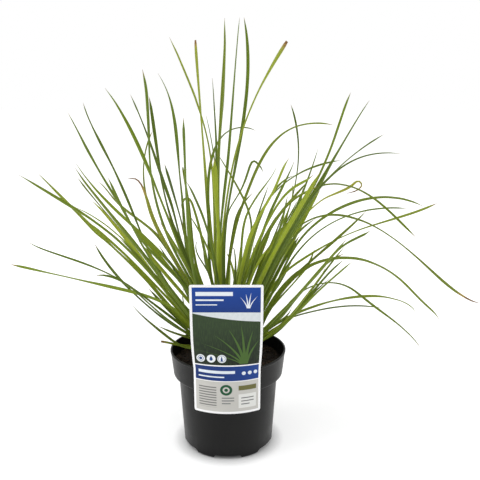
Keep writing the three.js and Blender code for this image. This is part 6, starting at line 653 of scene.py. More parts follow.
        ((.95, 34, 0, 1), (19.4, 7.2, 105.5, .86, .29, -.07, 21.7, 8.1, 124.8, 1.28, .41, -.23, 25.3, 9.7, 143.4, 1.41, .43, -.36, 30.1, 11.8, 161.4, 1.38, .4, -.48, 36.1, 14.6, 178.8, 1.34, .38, -.59, 43.3, 18, 195.5, 1.28, .41, -.7, 51.5, 22.1, 211.4, 1.15, .57, -.8, 62.5, 27.5, 229.6, .99, .75, -.87, 75.1, 34.1, 248.6, .82, .9, -.9, 84.6, 39.3, 261.9, .66, 1, -.93, 94.1, 44.5, 273.2, .43, 1.1, -.95, 102.4, 48.9, 281.4, .23, 1.16, -.95, 111.7, 53.7, 288.6, .08, 1.16, -.98, 119, 57.4, 293, .04, 1.08, -1.06, 125.3, 60.3, 295.9, .05, .95, -1.17, 143.8, 68.5, 302.3, .36, .27, -1.35, 152, 71.8, 305.6, .63, 0, -1.28, 158.1, 74.1, 309.2, .81, .01, -1.14, 163.6, 76, 313.4, .44, .25, -1.06, 167, 76.8, 313.5, -.46, .48, -.8, 169.8, 77.4, 311.1, -.66, .59, -.31, 170.5, 78, 307.6, -.55, .63, .21, 167.4, 78.6, 303.6, -.3, .52, .46, 161.4, 79, 300.3, -.17, .35, .49, 154.7, 79.2, 298.5, -.13, .26, .37, 149.9, 79.2, 296.4, -.13, .22, .27)),
        ((.65, 3, 0, .05), (20.3, 5.9, 105.5, 1.07, .34, -.08, 22, 6.4, 118.7, 1.43, .41, -.29, 25.6, 7.5, 134, 1.74, .45, -.56, 30.7, 9.1, 148.5, 1.69, .41, -.72, 37.8, 11.4, 164.7, 1.64, .38, -.84, 49.7, 15.6, 188.2, 1.61, .35, -.91, 66.8, 22.7, 221.1, 1.63, .26, -.9, 85.1, 31.4, 257.6, 1.67, .08, -.86, 99.6, 38.6, 284.9, 1.62, -.32, -.82, 106.4, 41.5, 296.7, 1.22, -.19, -.68, 113.5, 43.1, 308.4, .48, .14, -.31)),
    ]),
    ((12.3, 6.6), [
        ((.59, 3, 0, .12), (13.1, 7.1, 105.5, .75, -.01, -.04, 14.6, 8, 125.3, 1.12, -.05, -.12, 17.5, 9.8, 145.7, 1.23, -.08, -.21, 21.7, 12.3, 165.5, 1.21, -.11, -.28, 26.8, 15.3, 183.5, 1.19, -.13, -.36, 33.5, 19.3, 202, 1.16, -.19, -.43, 41.1, 23.6, 218.7, 1.06, -.56, -.37, 49.7, 28.5, 234.8, .95, -.76, -.28, 66.4, 38.5, 264.5, .78, -.94, -.1, 74.9, 44.2, 282.2, .65, -.7, -.05, 78, 46.7, 291.6, .61, -.5, -.05, 79.8, 48.5, 300.1, .6, -.25, -.03, 80, 49.7, 307.5, .52, -.14, .06, 78.4, 50.3, 314.9, .31, -.14, .11)),
        ((.47, 5, 0, .1), (11.6, 6.1, 105.5, .75, -.01, -.02, 12.8, 6, 123.2, 1.09, -.04, -.11, 15.3, 5.8, 140.7, 1.23, -.08, -.22, 19.2, 5.4, 158.9, 1.21, -.11, -.31, 24.6, 4.9, 177.7, 1.18, -.14, -.38, 31.9, 4.2, 198.1, 1.15, -.16, -.46, 40.1, 3.2, 217.8, 1.05, -.46, -.49, 54.5, 1.5, 247.6, .76, -.87, -.45, 65.8, -.1, 271.1, .69, -.4, -.31, 70, -.8, 283.2, .59, -.12, -.17, 72.5, -1.2, 295.7, .29, -.13, -.04)),
    ]),
    ((16.5, 14), [
        ((.7, 3, 0, .2), (17.2, 14.5, 105.5, .83, .12, -.09, 18.5, 15.4, 120.5, 1.15, .21, -.09, 19.3, 17.6, 140.6, 1.37, .28, -.08, 20.2, 20.4, 160.4, 1.37, .28, -.12, 21.4, 23.4, 175.9, 1.37, .26, -.21, 23, 26.1, 187.2, 1.35, .23, -.3, 25.4, 29.3, 198.3, 1.33, .19, -.41, 28.7, 33, 209.1, 1.3, .15, -.5, 32.5, 37.2, 219.6, 1.28, .12, -.57, 37.5, 42.4, 231, 1.25, .08, -.64, 43.3, 48.3, 242, 1.22, .03, -.7, 49.8, 54.8, 252.6, 1.18, -.04, -.76, 56.3, 61.1, 261.7, 1.15, -.12, -.8, 68.8, 72.7, 276.2, 1.09, -.22, -.85, 88.5, 89.6, 295.6, .94, -.18, -.82, 96.1, 94.6, 303.2, .73, -.04, -.67, 102.5, 97, 310.3, .35, .14, -.33)),
        ((.34, 4, 0, .08), (15.7, 14.4, 105.5, .75, -.02, -.05, 17.8, 16.1, 129.2, 1.2, -.06, -.13, 21.2, 19.3, 152.1, 1.23, -.08, -.21, 25.9, 23.5, 173, 1.21, -.11, -.3, 32, 28.7, 192, 1.17, -.15, -.4, 38.1, 33.5, 206.2, 1.14, -.17, -.49, 46.5, 39.9, 221.6, 1.1, -.12, -.59, 62.4, 52.2, 246.7, .91, .34, -.78, 79.6, 66.1, 274.1, .73, -.12, -.36, 84, 69.1, 282.1, .55, -.04, -.27, 87.9, 70.7, 290.5, .32, .07, -.15)),
        ((.31, 3, 0, .12), (16.5, 13.1, 105.5, .75, -.03, -.06, 18.4, 14.7, 126.6, 1.15, -.05, -.1, 20.8, 17.7, 148, 1.24, -.07, -.16, 23.8, 21.2, 165.8, 1.23, -.09, -.23, 27.9, 25.4, 182.1, 1.2, -.12, -.33, 31.7, 28.9, 193.1, 1.17, -.15, -.41, 36.5, 32.9, 203.8, 1.14, -.26, -.45, 51.2, 45.5, 232.2, .88, -.86, -.04, 62, 56.5, 256.3, .72, -.28, -.17, 65.6, 59.8, 265.6, .58, -.12, -.18, 68.7, 61.4, 274.3, .31, -.16, -.09)),
    ]),
    ((8.3, 14.4), [
        ((.61, 5, 0, .14), (9, 14.9, 105.5, .78, 0, -.02, 9.2, 15, 111.2, .89, -.01, -.04, 10, 17.1, 124.1, 1.15, -.03, -.09, 11.1, 19.4, 134.5, 1.29, -.05, -.14, 12.7, 22.5, 145.8, 1.28, -.07, -.19, 16.7, 29.6, 164.5, 1.26, -.1, -.28, 22.3, 38.9, 182.3, 1.23, -.13, -.39, 28, 47.7, 195.7, 1.2, -.15, -.47, 37.2, 61.1, 212.9, 1.19, -.16, -.5, 42.5, 69.7, 223.5, 1.21, -.15, -.44, 50.1, 84.1, 240.9, 1.21, -.15, -.44, 56.3, 94.8, 252.5, 1.16, -.17, -.56, 60.5, 100.6, 258.5, 1.08, -.19, -.69, 64.9, 105.2, 263.3, .88, -.16, -.76, 69.9, 108.6, 267.6, .56, -.04, -.71, 74.6, 110.3, 270.9, .37, .07, -.62)),
        ((.6, 3, 0, .1), (7.4, 14.8, 105.5, .86, -.36, -.01, 7.6, 14.9, 111.4, .98, -.42, -.01, 8.1, 16, 119, 1.14, -.51, -.02, 10.3, 19.3, 135.4, 1.4, -.66, -.08, 13.7, 24.1, 151.1, 1.39, -.67, -.12, 18.2, 30.2, 166.2, 1.39, -.67, -.15, 23.4, 37.5, 180.8, 1.39, -.65, -.19, 30, 46.8, 196.6, 1.41, -.59, -.25, 36.8, 56.7, 211.5, 1.43, -.47, -.34, 50.9, 78.2, 241.6, 1.33, -.17, -.48, 54.1, 82.1, 249.2, .85, -.21, -.26, 56.5, 83.7, 255.5, .4, -.24, -.11)),
        ((.44, 6, 0, .06), (8.3, 13.5, 105.5, .75, 0, -.02, 9.1, 14.7, 121.1, 1.05, -.02, -.07, 10.7, 17.9, 139.2, 1.24, -.05, -.14, 13.2, 21.9, 155.2, 1.23, -.07, -.21, 16.8, 27, 170.6, 1.21, -.1, -.3, 20.4, 31.7, 181.9, 1.19, -.12, -.37, 24.8, 37, 192.9, 1.16, -.15, -.45, 29.8, 42.5, 202.7, 1.12, -.17, -.53, 41.9, 55.2, 223.3, .89, -.12, -.39, 44.8, 57.9, 229.6, .74, -.04, -.28, 46.6, 59, 234.9, .63, .06, -.2)),
    ]),
    ((4, 21.3), [
        ((.5, 3, 0, 0), (4.7, 21.8, 105.5, .8, .01, -.01, 4.9, 22.2, 112.6, .95, 0, -.03, 6.2, 27.4, 132.5, 1.33, -.03, -.12, 8.1, 33.1, 147.8, 1.32, -.04, -.16, 10.4, 40.9, 163.9, 1.32, -.05, -.17, 13.6, 53.6, 185.9, 1.33, -.08, -.13, 15.8, 67.8, 208.2, 1.23, -.47, .24, 16.9, 83.5, 230.8, 1.32, -.2, .07, 18.6, 96, 245.7, 1.32, -.17, -.08, 20.2, 103.1, 253.1, 1.3, -.28, -.06, 22.1, 109.6, 259, 1.27, -.41, -.01, 24.7, 116.7, 264.8, 1.22, -.53, .06, 28.6, 125.9, 271.4, 1.17, -.62, .14, 39.3, 148.2, 284.7, 1.19, -.56, -.08, 49.9, 168.2, 295.7, .93, -.48, -.06, 56.8, 180.1, 303, .67, -.47, .1, 60.6, 186.1, 307.6, .52, -.44, .11, 64, 191, 312.5, .41, -.37, .04, 67, 194.5, 317.8, .34, -.26, -.03, 68.8, 196.2, 322, .32, -.19, -.06)),
        ((.6, 5, 0, .12), (3.2, 20.8, 105.5, 1.18, .56, -.01, 3.3, 21, 111.1, 1.35, .63, -.1, 3.8, 22.8, 120.6, 1.64, .72, -.28, 4.7, 25.5, 130.8, 1.96, .81, -.47, 6, 28.5, 139.8, 1.95, .77, -.59, 9.2, 36.3, 157.1, 1.92, .67, -.78, 13.9, 47.3, 175.6, 1.9, .57, -.9, 18.8, 59.7, 192.8, 1.94, .4, -.89, 24.8, 76, 212.8, 2.03, .19, -.76, 29.8, 90.7, 229.4, 2.09, -.07, -.6, 35.8, 107.1, 245.9, 1.92, -.12, -.68, 40.5, 117.7, 255.9, 1.57, -.17, -.65, 44.6, 124.7, 263.2, 1.21, -.12, -.62, 48, 128.8, 268.7, .77, .03, -.51, 51.7, 131.2, 274.3, .38, .15, -.3)),
    ]),
    ((.4, 14.3), [
        ((.48, 5, 0, .01), (1.1, 14.8, 105.5, .75, .01, -.01, 1.2, 15.2, 112.6, .89, .02, .01, .4, 19.1, 128.9, 1.21, .05, .08, -.9, 22.9, 141.7, 1.24, .07, .12, -2.8, 28.3, 155.8, 1.24, .08, .15, -5.1, 35.3, 171.1, 1.24, .08, .15, -7.7, 45, 189.4, 1.24, .07, .12, -9.8, 55.5, 207.8, 1.25, .06, .08, -11.2, 66.5, 226.5, 1.23, .2, -.04, -12.4, 80.3, 248.6, 1.11, .51, -.27, -13.5, 94.1, 269.4, .99, .65, -.39, -14.7, 106.9, 287.2, .9, .73, -.47, -16.5, 120.7, 305.3, .82, .78, -.53, -20.9, 146, 335.5, .74, .81, -.58, -24.9, 164.2, 356.2, .59, .67, -.46, -28, 175.9, 370.3, .51, .52, -.28, -29.7, 181.1, 377.4, .46, .43, -.18, -31.5, 185.4, 384.7, .39, .34, -.08, -33.2, 188.5, 391.9, .28, .25, -.02, -34.6, 190, 397.4, .21, .19, .01)),
        ((.7, 11, 1, .4), (-.4, 14.7, 105.5, 1.15, -.45, -.02, -.4, 14.9, 112.5, 1.36, -.51, .09, -1.4, 17, 127.9, 1.82, -.64, .29, -5.2, 21, 151.7, 1.9, -.62, .5, -9.7, 25.7, 172.6, 1.89, -.59, .57, -14.9, 32.4, 197.6, 1.92, -.55, .51, -18.3, 38.3, 218.5, 1.95, -.49, .42, -21.5, 45.6, 243.7, 1.99, -.4, .34, -26, 59.6, 290.4, 1.99, -.42, .3, -30.8, 78.8, 348.2, 1.19, -1.55, .65, -34.3, 93, 387.2, .89, -1.71, .72, -40.6, 119.5, 457.9, 1.45, -1.35, .56, -42, 124.5, 475.8, 1.47, -1.35, .41, -43, 127, 491.3, 1.06, -.93, .16)),
        ((.4, 4, 0, .1), (.4, 13.4, 105.5, .82, .16, -.04, .5, 13.6, 115.1, 1.02, .24, .03, -.3, 14, 124.5, 1.2, .34, .14, -4.4, 15.2, 144.6, 1.28, .47, .31, -9.7, 17.1, 161.9, 1.26, .5, .34, -15.8, 20.6, 180.4, 1.28, .49, .29, -19.5, 23.8, 193.9, 1.31, .46, .19, -22, 27.5, 207.5, 1.33, .42, .07, -24, 34.9, 231.6, 1.35, .37, -.07, -24.8, 49.6, 274.7, 1.36, .32, -.08, -25.5, 61.9, 305.8, 1.37, .26, -.12, -24.3, 71, 326.7, 1.36, .2, -.25, -21.6, 78.5, 342.2, 1.27, .35, -.48, -17.3, 86, 355.6, .91, .68, -.81, -12.3, 92.6, 365, .44, .79, -.93, -9, 96.2, 369.2, .21, .77, -.92, -5.1, 100.1, 372.9, .02, .73, -.87, -.6, 104.1, 375.9, -.12, .66, -.81, 4.5, 108.3, 378.1, -.18, .56, -.76, 10, 112.4, 379.5, -.19, .44, -.72, 15.6, 116.3, 380.1, -.18, .31, -.69, 21.4, 119.8, 379.9, -.19, .22, -.68, 27.1, 122.8, 378.9, -.24, .18, -.61, 32.6, 125, 376.9, -.27, .18, -.44, 36, 126, 375, -.25, .18, -.32)),
    ]),
    ((-4.4, 21.2), [
        ((.25, 3, 0, 0), (-3.6, 21.7, 105.5, .83, -.42, -.05, -3.5, 21.9, 111.4, .97, -.45, .08, -4.9, 24.6, 122.1, 1.19, -.45, .42, -7.7, 27.8, 130.9, 1.31, -.43, .71, -12.2, 32.4, 140.1, 1.22, -.35, .9, -20.7, 41, 152.6, 1.12, -.26, 1.05, -36, 58.1, 172.8, 1.18, -.22, .99, -40.8, 64.3, 180.3, 1.25, -.23, .89, -44.8, 70.3, 188.4, 1.34, -.26, .75, -49.6, 79.4, 202, 1.41, -.27, .6, -58.1, 99.2, 232.9, 1.41, -.28, .59, -65.8, 116.3, 257.7, .79, -.94, .95, -71.9, 129, 274.7, .9, -.8, .96, -83.8, 152.3, 305.5, 1.45, .19, .42, -87.9, 158.8, 316.7, 1.35, .08, .43, -89.8, 161, 322.4, .98, -.11, .35, -91.6, 162.4, 328.2, .59, -.21, .21)),
        ((.75, 4, 0, .1), (-5.1, 20.7, 105.5, .94, .29, 0, -5.4, 21.7, 116.8, 1.2, .4, .01, -7.1, 24.7, 132.3, 1.54, .56, .09, -9.8, 28.9, 147.2, 1.53, .57, .14, -13.3, 34.3, 161.7, 1.53, .57, .17, -18.7, 42.9, 180, 1.53, .54, .19, -25.2, 54.6, 201.5, 1.44, .79, -.03, -31.2, 67.5, 223.3, 1.44, .78, -.11, -37.2, 81.7, 245.3, 1.48, .7, -.04, -42.1, 92.8, 260.7, 1.47, .72, -.02, -48, 105.1, 275.9, 1.36, .9, -.18, -51.2, 110.6, 282.3, 1.28, 1.02, -.06, -53.7, 113.2, 285.1, 1.16, 1.09, .36, -56.1, 114.9, 286, .73, 1.12, .95, -60, 117.3, 284.4, -.37, 1.03, 1.22, -61.8, 118.8, 282.1, -.8, .97, 1.05, -64.3, 121.7, 275.4, -1.16, .86, .49, -64.5, 122.8, 271.3, -1.04, .74, .06, -63.9, 123.3, 268.6, -.86, .64, -.14)),
    ]),
    ((-8.3, 14.4), [
        ((.4, 5, 0, .2), (-7.6, 14.9, 105.5, .77, .02, -.01, -7.7, 15.1, 112.8, .91, .05, .05, -9, 16.5, 124, 1.12, .1, .17, -11.3, 18.2, 134.8, 1.24, .15, .3, -14.5, 20.4, 145.2, 1.22, .18, .37, -21.8, 25.5, 164, 1.19, .2, .44, -34.3, 35.7, 193.2, 1.21, .19, .4, -38.7, 40.1, 205.7, 1.23, .17, .32, -42, 44.5, 218.7, 1.26, .16, .21, -45.2, 50.9, 238.5, 1.25, .32, .05, -50.4, 66.1, 284.1, 1.12, .6, -.05, -56.3, 77.7, 316.2, .96, .14, .14, -58.4, 80.9, 328.5, .82, .19, .07, -58.6, 81.5, 331.3, .62, .16, -.37, -51.5, 82.6, 326.2, -.21, .12, -.3)),
        ((.55, 4, 0, .08), (-9.2, 14.8, 105.5, .75, .04, .04, -9.5, 15, 111.7, .87, .04, .04, -9.9, 16.3, 120.9, 1.05, .05, .03, -10.8, 20.3, 140.7, 1.25, .06, .06, -12.1, 24.9, 156.6, 1.24, .08, .11, -14.4, 30.6, 171.3, 1.23, .11, .21, -18.1, 37.1, 184.7, 1.19, .21, .31, -23, 44, 195.9, 1.03, .7, .06, -28.2, 50.3, 204.4, .89, .87, -.07, -38.1, 61.2, 217.4, .76, .58, .06, -41.5, 65.6, 223.6, .66, .41, 0, -42.6, 68.1, 228.2, .59, .28, -.08, -42.5, 69.8, 232.3, .52, .15, -.14, -41.3, 71, 236.3, .41, .08, -.2, -39.2, 71.7, 240, .29, .09, -.2)),
        ((.5, 3, 0, .08), (-8.3, 13.5, 105.5, .93, -.25, -.01, -9.4, 13.2, 121.9, 1.33, -.28, .19, -13.1, 12.4, 138.9, 1.53, -.28, .41, -20, 10.5, 161.1, 1.49, -.28, .53, -31.9, 8.3, 188.7, 1.48, -.31, .55, -39.1, 6.4, 210.1, 1.52, -.32, .41, -43.3, 4.7, 227.1, 1.56, -.24, .31, -49.5, -.3, 259.3, 1.38, .18, .3, -53.2, -1.9, 275.7, .4, -.13, .1)),
    ]),
    ((-16.4, 13.9), [
        ((.6, 6, 0, .2), (-15.7, 14.4, 105.5, 1.04, .54, .03, -16, 14.5, 111.8, 1.2, .65, .05, -16.8, 15.3, 117.7, 1.34, .77, .1, -19.6, 17.4, 130.8, 1.63, 1.04, .27, -23.9, 20.2, 143.1, 1.59, 1.08, .37, -30, 24.2, 156.1, 1.56, 1.1, .44, -37.8, 29.6, 169.5, 1.55, 1.1, .49, -47.9, 36.9, 184.8, 1.56, 1.06, .52, -63.9, 49.7, 208.2, 1.63, .92, .58, -75.5, 59.7, 224.5, 1.63, .8, .73, -87, 69.3, 237.6, 1.53, .99, .72, -98.4, 78.4, 247.4, 1.38, 1.28, .54, -110.1, 87.3, 254.8, 1.3, 1.41, .41, -139.7, 109.5, 271.1, 1.23, 1.33, .38, -154.4, 120.7, 281.4, .89, 1.14, 0, -161.5, 126.2, 288, .69, .99, -.07, -169.2, 131.6, 296.3, .54, .71, .12, -176.2, 134.7, 303.2, .39, .43, .3, -180.3, 135.5, 305.6, .15, .32, .43)),
        ((.5, 7, 0, .2), (-17.3, 14.3, 105.5, .75, .05, .04, -17.6, 14.3, 110.8, .85, .06, .07, -18.6, 15.4, 119.2, 1, .1, .15, -22.3, 18.1, 135.4, 1.19, .18, .32, -27.3, 21.2, 149.2, 1.16, .21, .42, -34.2, 25.7, 163.7, 1.12, .24, .51, -41.3, 30.5, 176.1, 1.09, .26, .56, -50, 36.6, 189.4, 1.07, .27, .6, -74, 54.7, 223.5, 1.07, .3, .57, -87.2, 65.6, 244.1, 1.06, .57, .33, -98.5, 76.1, 266.1, .97, .78, .08, -102.9, 80.7, 276.9, .92, .85, -.01, -106, 84.4, 286.4, .88, .89, -.08, -108.8, 88.4, 297.8, .82, .94, -.14, -110.7, 92, 309.5, .74, .97, -.19, -111.5, 95.2, 321.4, .62, .92, -.21, -111.2, 97.8, 333.3, .57, .79, -.2, -109.6, 100, 345.2, .66, .5, -.2, -107.3, 101.4, 355.2, .78, .25, -.25, -103.4, 102.4, 366.7, .8, .21, -.34, -99, 102.9, 376.1, .46, .3, -.25)),
        ((.6, 4, 0, 0), (-16.3, 13, 105.5, .86, .39, .05, -17.3, 13.3, 116, 1.08, .54, .11, -19.4, 14.2, 128, 1.31, .71, .22, -21.8, 15.1, 137.9, 1.35, .78, .3, -25, 16.2, 147.5, 1.29, .83, .42, -28.6, 17.2, 155.2, 1.22, .87, .53, -42.3, 20.6, 180.2, 1.19, .89, .55, -53.4, 23.7, 196.5, 1.11, .93, .65, -69.3, 28.4, 215.2, 1.06, .96, .69, -87.7, 34.4, 233.9, 1.01, .98, .73, -106.1, 40.5, 250.5, .99, .98, .75, -142.8, 53.2, 282, 1.03, .91, .8, -164.8, 61.2, 302.8, .78, .92, .43, -173.9, 64.5, 312.7, .55, .87, .21, -181.4, 67, 321.8, .34, .75, .09, -187.3, 68.6, 329.9, .23, .54, .07, -192.6, 69.5, 338.4, .15, .3, .07)),
    ]),
    ((-12.2, 7), [
        ((.55, 3, 0, 0), (-11.5, 7.5, 105.5, 1.11, -.28, .03, -12.1, 7.8, 116.1, 1.41, -.32, .17, -13.8, 8.3, 126.5, 1.7, -.34, .36, -16.2, 8.9, 136.6, 1.8, -.33, .54, -20.1, 9.8, 148.4, 1.76, -.29, .68, -37.4, 13.3, 189.5, 1.71, -.32, .78, -55.3, 17.6, 231.6, 1.62, -.7, .73, -82.5, 25.9, 300.9, 1.05, -1.48, .6, -97.3, 31, 338.6, 1.66, -.57, .76, -108.7, 34.9, 365, 1.69, -.14, .8, -120.6, 39, 389, 1.31, .16, .68, -134.2, 42.8, 412, .66, -.48, .5, -146, 44.5, 429.1, .19, -.32, .16)),
        ((.25, 5, 0, 0), (-12.9, 6.5, 105.5, .96, .42, .05, -14.1, 7.2, 119.1, 1.28, .61, .12, -16.8, 8.6, 134, 1.53, .81, .27, -20.9, 10.3, 148.6, 1.49, .86, .36, -27.4, 13.1, 167.9, 1.47, .88, .38, -37.6, 17.7, 193.2, 1.43, .91, .45, -51.9, 24.9, 224.5, 1.42, .94, .41, -61.1, 30.1, 246.2, 1.43, .95, .34, -69.1, 35.3, 268.3, 1.24, 1.24, .12, -75.8, 40.3, 290.9, .72, 1.59, -.15, -80, 44, 308.5, .61, 1.63, -.2, -83.4, 47.6, 326.3, .86, 1.52, -.15, -90.6, 57.6, 378.4, 1.66, .27, .16, -93.8, 61.6, 401.6, 1.41, .25, .17, -96.5, 63.2, 419.4, .54, .37, .07)),
    ]),
    ((-20.7, 7.4), [
        ((.4, 6, 0, .11), (-19.9, 7.9, 105.5, .85, .34, -.1, -19.8, 8, 111.1, .93, .47, .06, -20.8, 8.5, 115.7, .95, .61, .26, -23.2, 9.2, 120.4, .92, .76, .48, -26.6, 10.3, 124.2, .89, .88, .65, -34.8, 13.3, 130.4, .82, .98, .83, -50.2, 17.5, 138.8, .85, .95, .84, -63.4, 22.6, 148, .98, .84, .82, -75.8, 28.1, 158.3, 1.07, .65, .86, -91, 35.7, 172.2, .98, .4, .84, -97.2, 38.4, 178.1, .59, .29, .5, -101.8, 39.6, 182.8, .26, .26, .22)),
        ((.47, 4, 0, .11), (-21.5, 6.9, 105.5, .74, .07, .07, -23.1, 8, 119.7, 1.01, .1, .12, -26, 10.9, 138.5, 1.22, .15, .21, -29.8, 14.4, 156.8, 1.24, .12, .12, -30.7, 16.4, 164, 1.23, .14, .18, -32.4, 18.7, 170.3, 1.18, .19, .36, -41.5, 28, 192.3, 1.14, .38, .33, -50.4, 36.7, 209.6, .74, .99, -.12, -57.5, 43.3, 220.6, .48, .87, -.21, -66.1, 50.5, 231.8, .37, .58, -.04, -71, 53.5, 237.7, .27, .37, .08, -74.9, 54.7, 242.3, .17, .21, .11)),
    ]),
    ((-24.2, -.1), [
        ((.69, 2, 0, .02), (-23.4, .4, 105.5, .75, .04, 0, -23.7, .4, 111.5, .85, .09, .11, -25.4, .7, 118.7, .94, .18, .31, -28.3, 1.1, 125.3, 1, .26, .5, -32, 1.5, 131.5, 1.01, .32, .66, -38.9, 2.2, 140.5, .93, .35, .75, -52.8, 3.9, 156.5, .95, .23, .78, -63.4, 5.5, 169.5, .98, -.15, .77, -94.8, 10.8, 213.9, .8, -.68, .68, -110.2, 13.6, 233.3, .61, -.86, .67, -126.4, 16.6, 250.1, .45, -.96, .66, -144.3, 19.9, 265.2, .36, -.8, .67, -154.5, 21.8, 272.3, .33, -.57, .66, -165.1, 23.6, 278.8, .3, -.29, .6, -174.8, 24.9, 284.1, .23, -.07, .47, -184.7, 25.6, 288.9, .14, -.04, .3)),
        ((.95, 4, 0, .35), (-24.9, -.6, 105.5, 1.08, -.31, .06, -26.5, -.2, 116.8, 1.37, -.31, .35, -30, .7, 127.3, 1.6, -.29, .72, -35.1, 1.7, 137.1, 1.58, -.24, .98, -42.7, 3.4, 148.2, 1.46, -.19, 1.15, -78.7, 12.8, 191.3, 1.46, .02, 1.17, -108.4, 22.2, 229, 1.48, .11, 1.14, -127.8, 28.7, 252.9, 1.31, -.46, 1.24, -153.1, 37.1, 280.6, .8, .16, .74, -161.7, 39.2, 289.2, .52, -.01, .53, -168.4, 40.1, 295.8, .26, -.12, .28)),
    ]),
    ((-28.1, -7.3), [
        ((.5, 4, 0, 0), (-27.3, -6.8, 105.5, .77, .04, 0, -27.7, -6.9, 111.9, .88, .12, .16, -30.1, -8.1, 120, .95, .23, .43, -35.4, -9.5, 130, 1.04, .34, .68, -41.8, -10.9, 138.7, .9, .39, .84, -54.6, -13.4, 152, .8, .42, .92, -69, -16.9, 165.5, .67, .62, .91, -87.5, -22.6, 182.8, .3, 1.05, .68, -110.7, -30.9, 205, -.07, 1.21, .44, -124.7, -36.3, 216.7, -.24, 1.22, .32, -139.2, -42.2, 226.8, -.32, 1.21, .29, -159.5, -51.1, 238.7, -.13, 1.09, .67, -196.5, -68.4, 258.5, .17, .35, .56, -208, -72, 265.6, .18, .25, .32, -210.3, -72.4, 268.5, .22, .24, .1)),
        ((.45, 3, 0, 0), (-28.9, -6.9, 105.5, .75, .04, 0, -29.5, -7.1, 112.8, .87, .13, .18, -31.4, -7.9, 119.1, .9, .23, .41, -34.4, -9.1, 125, .9, .32, .64, -40.9, -11.4, 134.4, .87, .38, .81, -47.2, -13.4, 141, .77, .33, .93, -58.6, -17.3, 151, .86, -.18, .89, -74.3, -24.2, 166.5, .93, -.6, .58, -90.3, -32.7, 185.5, .91, -.77, .37, -107.1, -43.2, 206.8, .97, -.57, .51, -117.3, -50, 217.4, .65, .07, .78, -126.5, -55.9, 224.1, .32, .32, .91, -134.9, -60.3, 227.4, .09, .25, .9, -139, -61.8, 227.9, -.01, .12, .84, -143.2, -62.6, 227.6, -.09, -.07, .64)),
        ((.32, 4, 0, .13), (-28, -8.2, 105.5, .74, .08, .09, -29.9, -8.3, 117.5, .95, .14, .2, -35.2, -9.1, 140.1, 1.17, .23, .38, -41.5, -9.4, 156.1, 1.11, .27, .51, -48, -10.1, 168.3, 1.02, .31, .65, -60.3, -11.5, 185.3, .92, .34, .78, -87.8, -15.2, 218.5, .97, -.03, .79, -106.8, -18.2, 241.9, .72, .27, .64, -115.8, -19.5, 252.3, .5, .18, .49, -124.1, -20.2, 260.5, .22, -.03, .24)),
    ]),
    ((-23.9, -14.3), [
        ((.6, 4, 0, 0), (-23.1, -13.8, 105.5, 1.01, .08, .06, -24.6, -14.4, 117.4, 1.29, .19, .28, -27.9, -15.4, 129, 1.51, .31, .58, -33.4, -16.9, 141.7, 1.47, .34, .78, -41.1, -19, 155.3, 1.42, .21, .9, -53.6, -23, 174.8, 1.41, -.1, .94, -69.9, -28.9, 197.9, 1.39, -.42, .87, -88.9, -37.1, 224.9, 1.36, -.71, .73, -104.6, -44.7, 246.3, 1.31, -.85, .67, -122.8, -54.4, 268.8, 1.28, -.88, .7, -140.7, -64.6, 287.4, 1.23, -.92, .72, -152, -71.4, 297.9, 1.25, -.77, .85, -163.1, -78.6, 307.8, 1.08, -.15, 1.12, -188.8, -95.8, 330.1, .57, .06, .73, -197.5, -100.1, 337, .41, -.23, .43, -205.5, -102.2, 342.7, .18, -.21, .21)),
        ((.7, 4, 0, 0), (-24.6, -13.9, 105.5, .76, .06, .05, -25.3, -14.1, 112.3, .88, .11, .14, -27, -14.8, 120.4, 1.01, .17, .28, -32.5, -16.8, 135.9, 1.11, .29, .55, -41.5, -20, 152.6, 1.01, .34, .7, -54.1, -25.2, 171.4, .83, .6, .76, -73.7, -34.8, 198.8, .61, .81, .77, -95, -47.4, 228, .42, .95, .74, -111.8, -58.9, 251.2, .36, .92, .76, -123.5, -67.7, 266.8, .72, .4, .79, -132.4, -74.3, 278, .71, .33, .78, -138.1, -77.5, 284.5, .59, .35, .7, -144.1, -79.4, 290.5, .29, .36, .39)),
        ((.65, 4, 0, .1), (-23.8, -15.2, 105.5, 1, .09, .08, -25.3, -15.9, 117.7, 1.3, .17, .24, -28, -17.3, 129.8, 1.56, .28, .48, -32, -19, 141.4, 1.52, .34, .65, -37.6, -21.4, 154.3, 1.48, .3, .76, -43.7, -24.4, 166.5, 1.43, .25, .86, -52.3, -29, 181.2, 1.4, .25, .91, -64.1, -36.2, 201.5, 1.43, .19, .88, -76.1, -44.6, 223, 1.44, .14, .86, -85.4, -52, 239.7, 1.46, .09, .85, -92.1, -58.5, 252.1, 1.48, .06, .81, -104.2, -72.4, 274.7, 1.49, -.08, .79, -118.8, -89.2, 300.8, 1.47, -.64, .38, -135.8, -111.1, 333.8, .84, -.11, .34, -140.8, -116.3, 344, .56, -.12, .23, -144.8, -118.5, 351.8, .29, -.14, .13)),
    ]),
    ((-12.3, -20.9), [
        ((.4, 3, 0, 0), (-11.5, -20.3, 105.5, 1.06, .06, .04, -11.9, -20.7, 112.8, 1.26, .09, .1, -14, -24.1, 131.8, 1.73, .2, .31, -16.8, -27.5, 146.9, 1.71, .23, .41, -20.5, -32.5, 163.7, 1.68, .26, .49, -25.5, -40.1, 184, 1.67, .26, .52, -31.1, -50.4, 207.8, 1.73, .04, .4, -35.2, -60.5, 229.3, 1.75, -.11, .22, -37.3, -68.8, 247, 1.76, -.18, .05, -38.2, -77.1, 264.2, 1.75, -.25, -.07, -38.5, -88, 286, 1.72, -.4, -.19, -38.8, -106.2, 318, .95, -1.27, -.79, -38.5, -113.9, 330.2, .74, -1.34, -.89, -38.1, -122.9, 343.6, .89, -1.18, -.86, -35.9, -152.6, 383.7, 1.06, .07, -.01, -35.5, -157.8, 392.6, .79, -.05, -.05, -35.3, -160.3, 400, .38, -.15, -.04)),
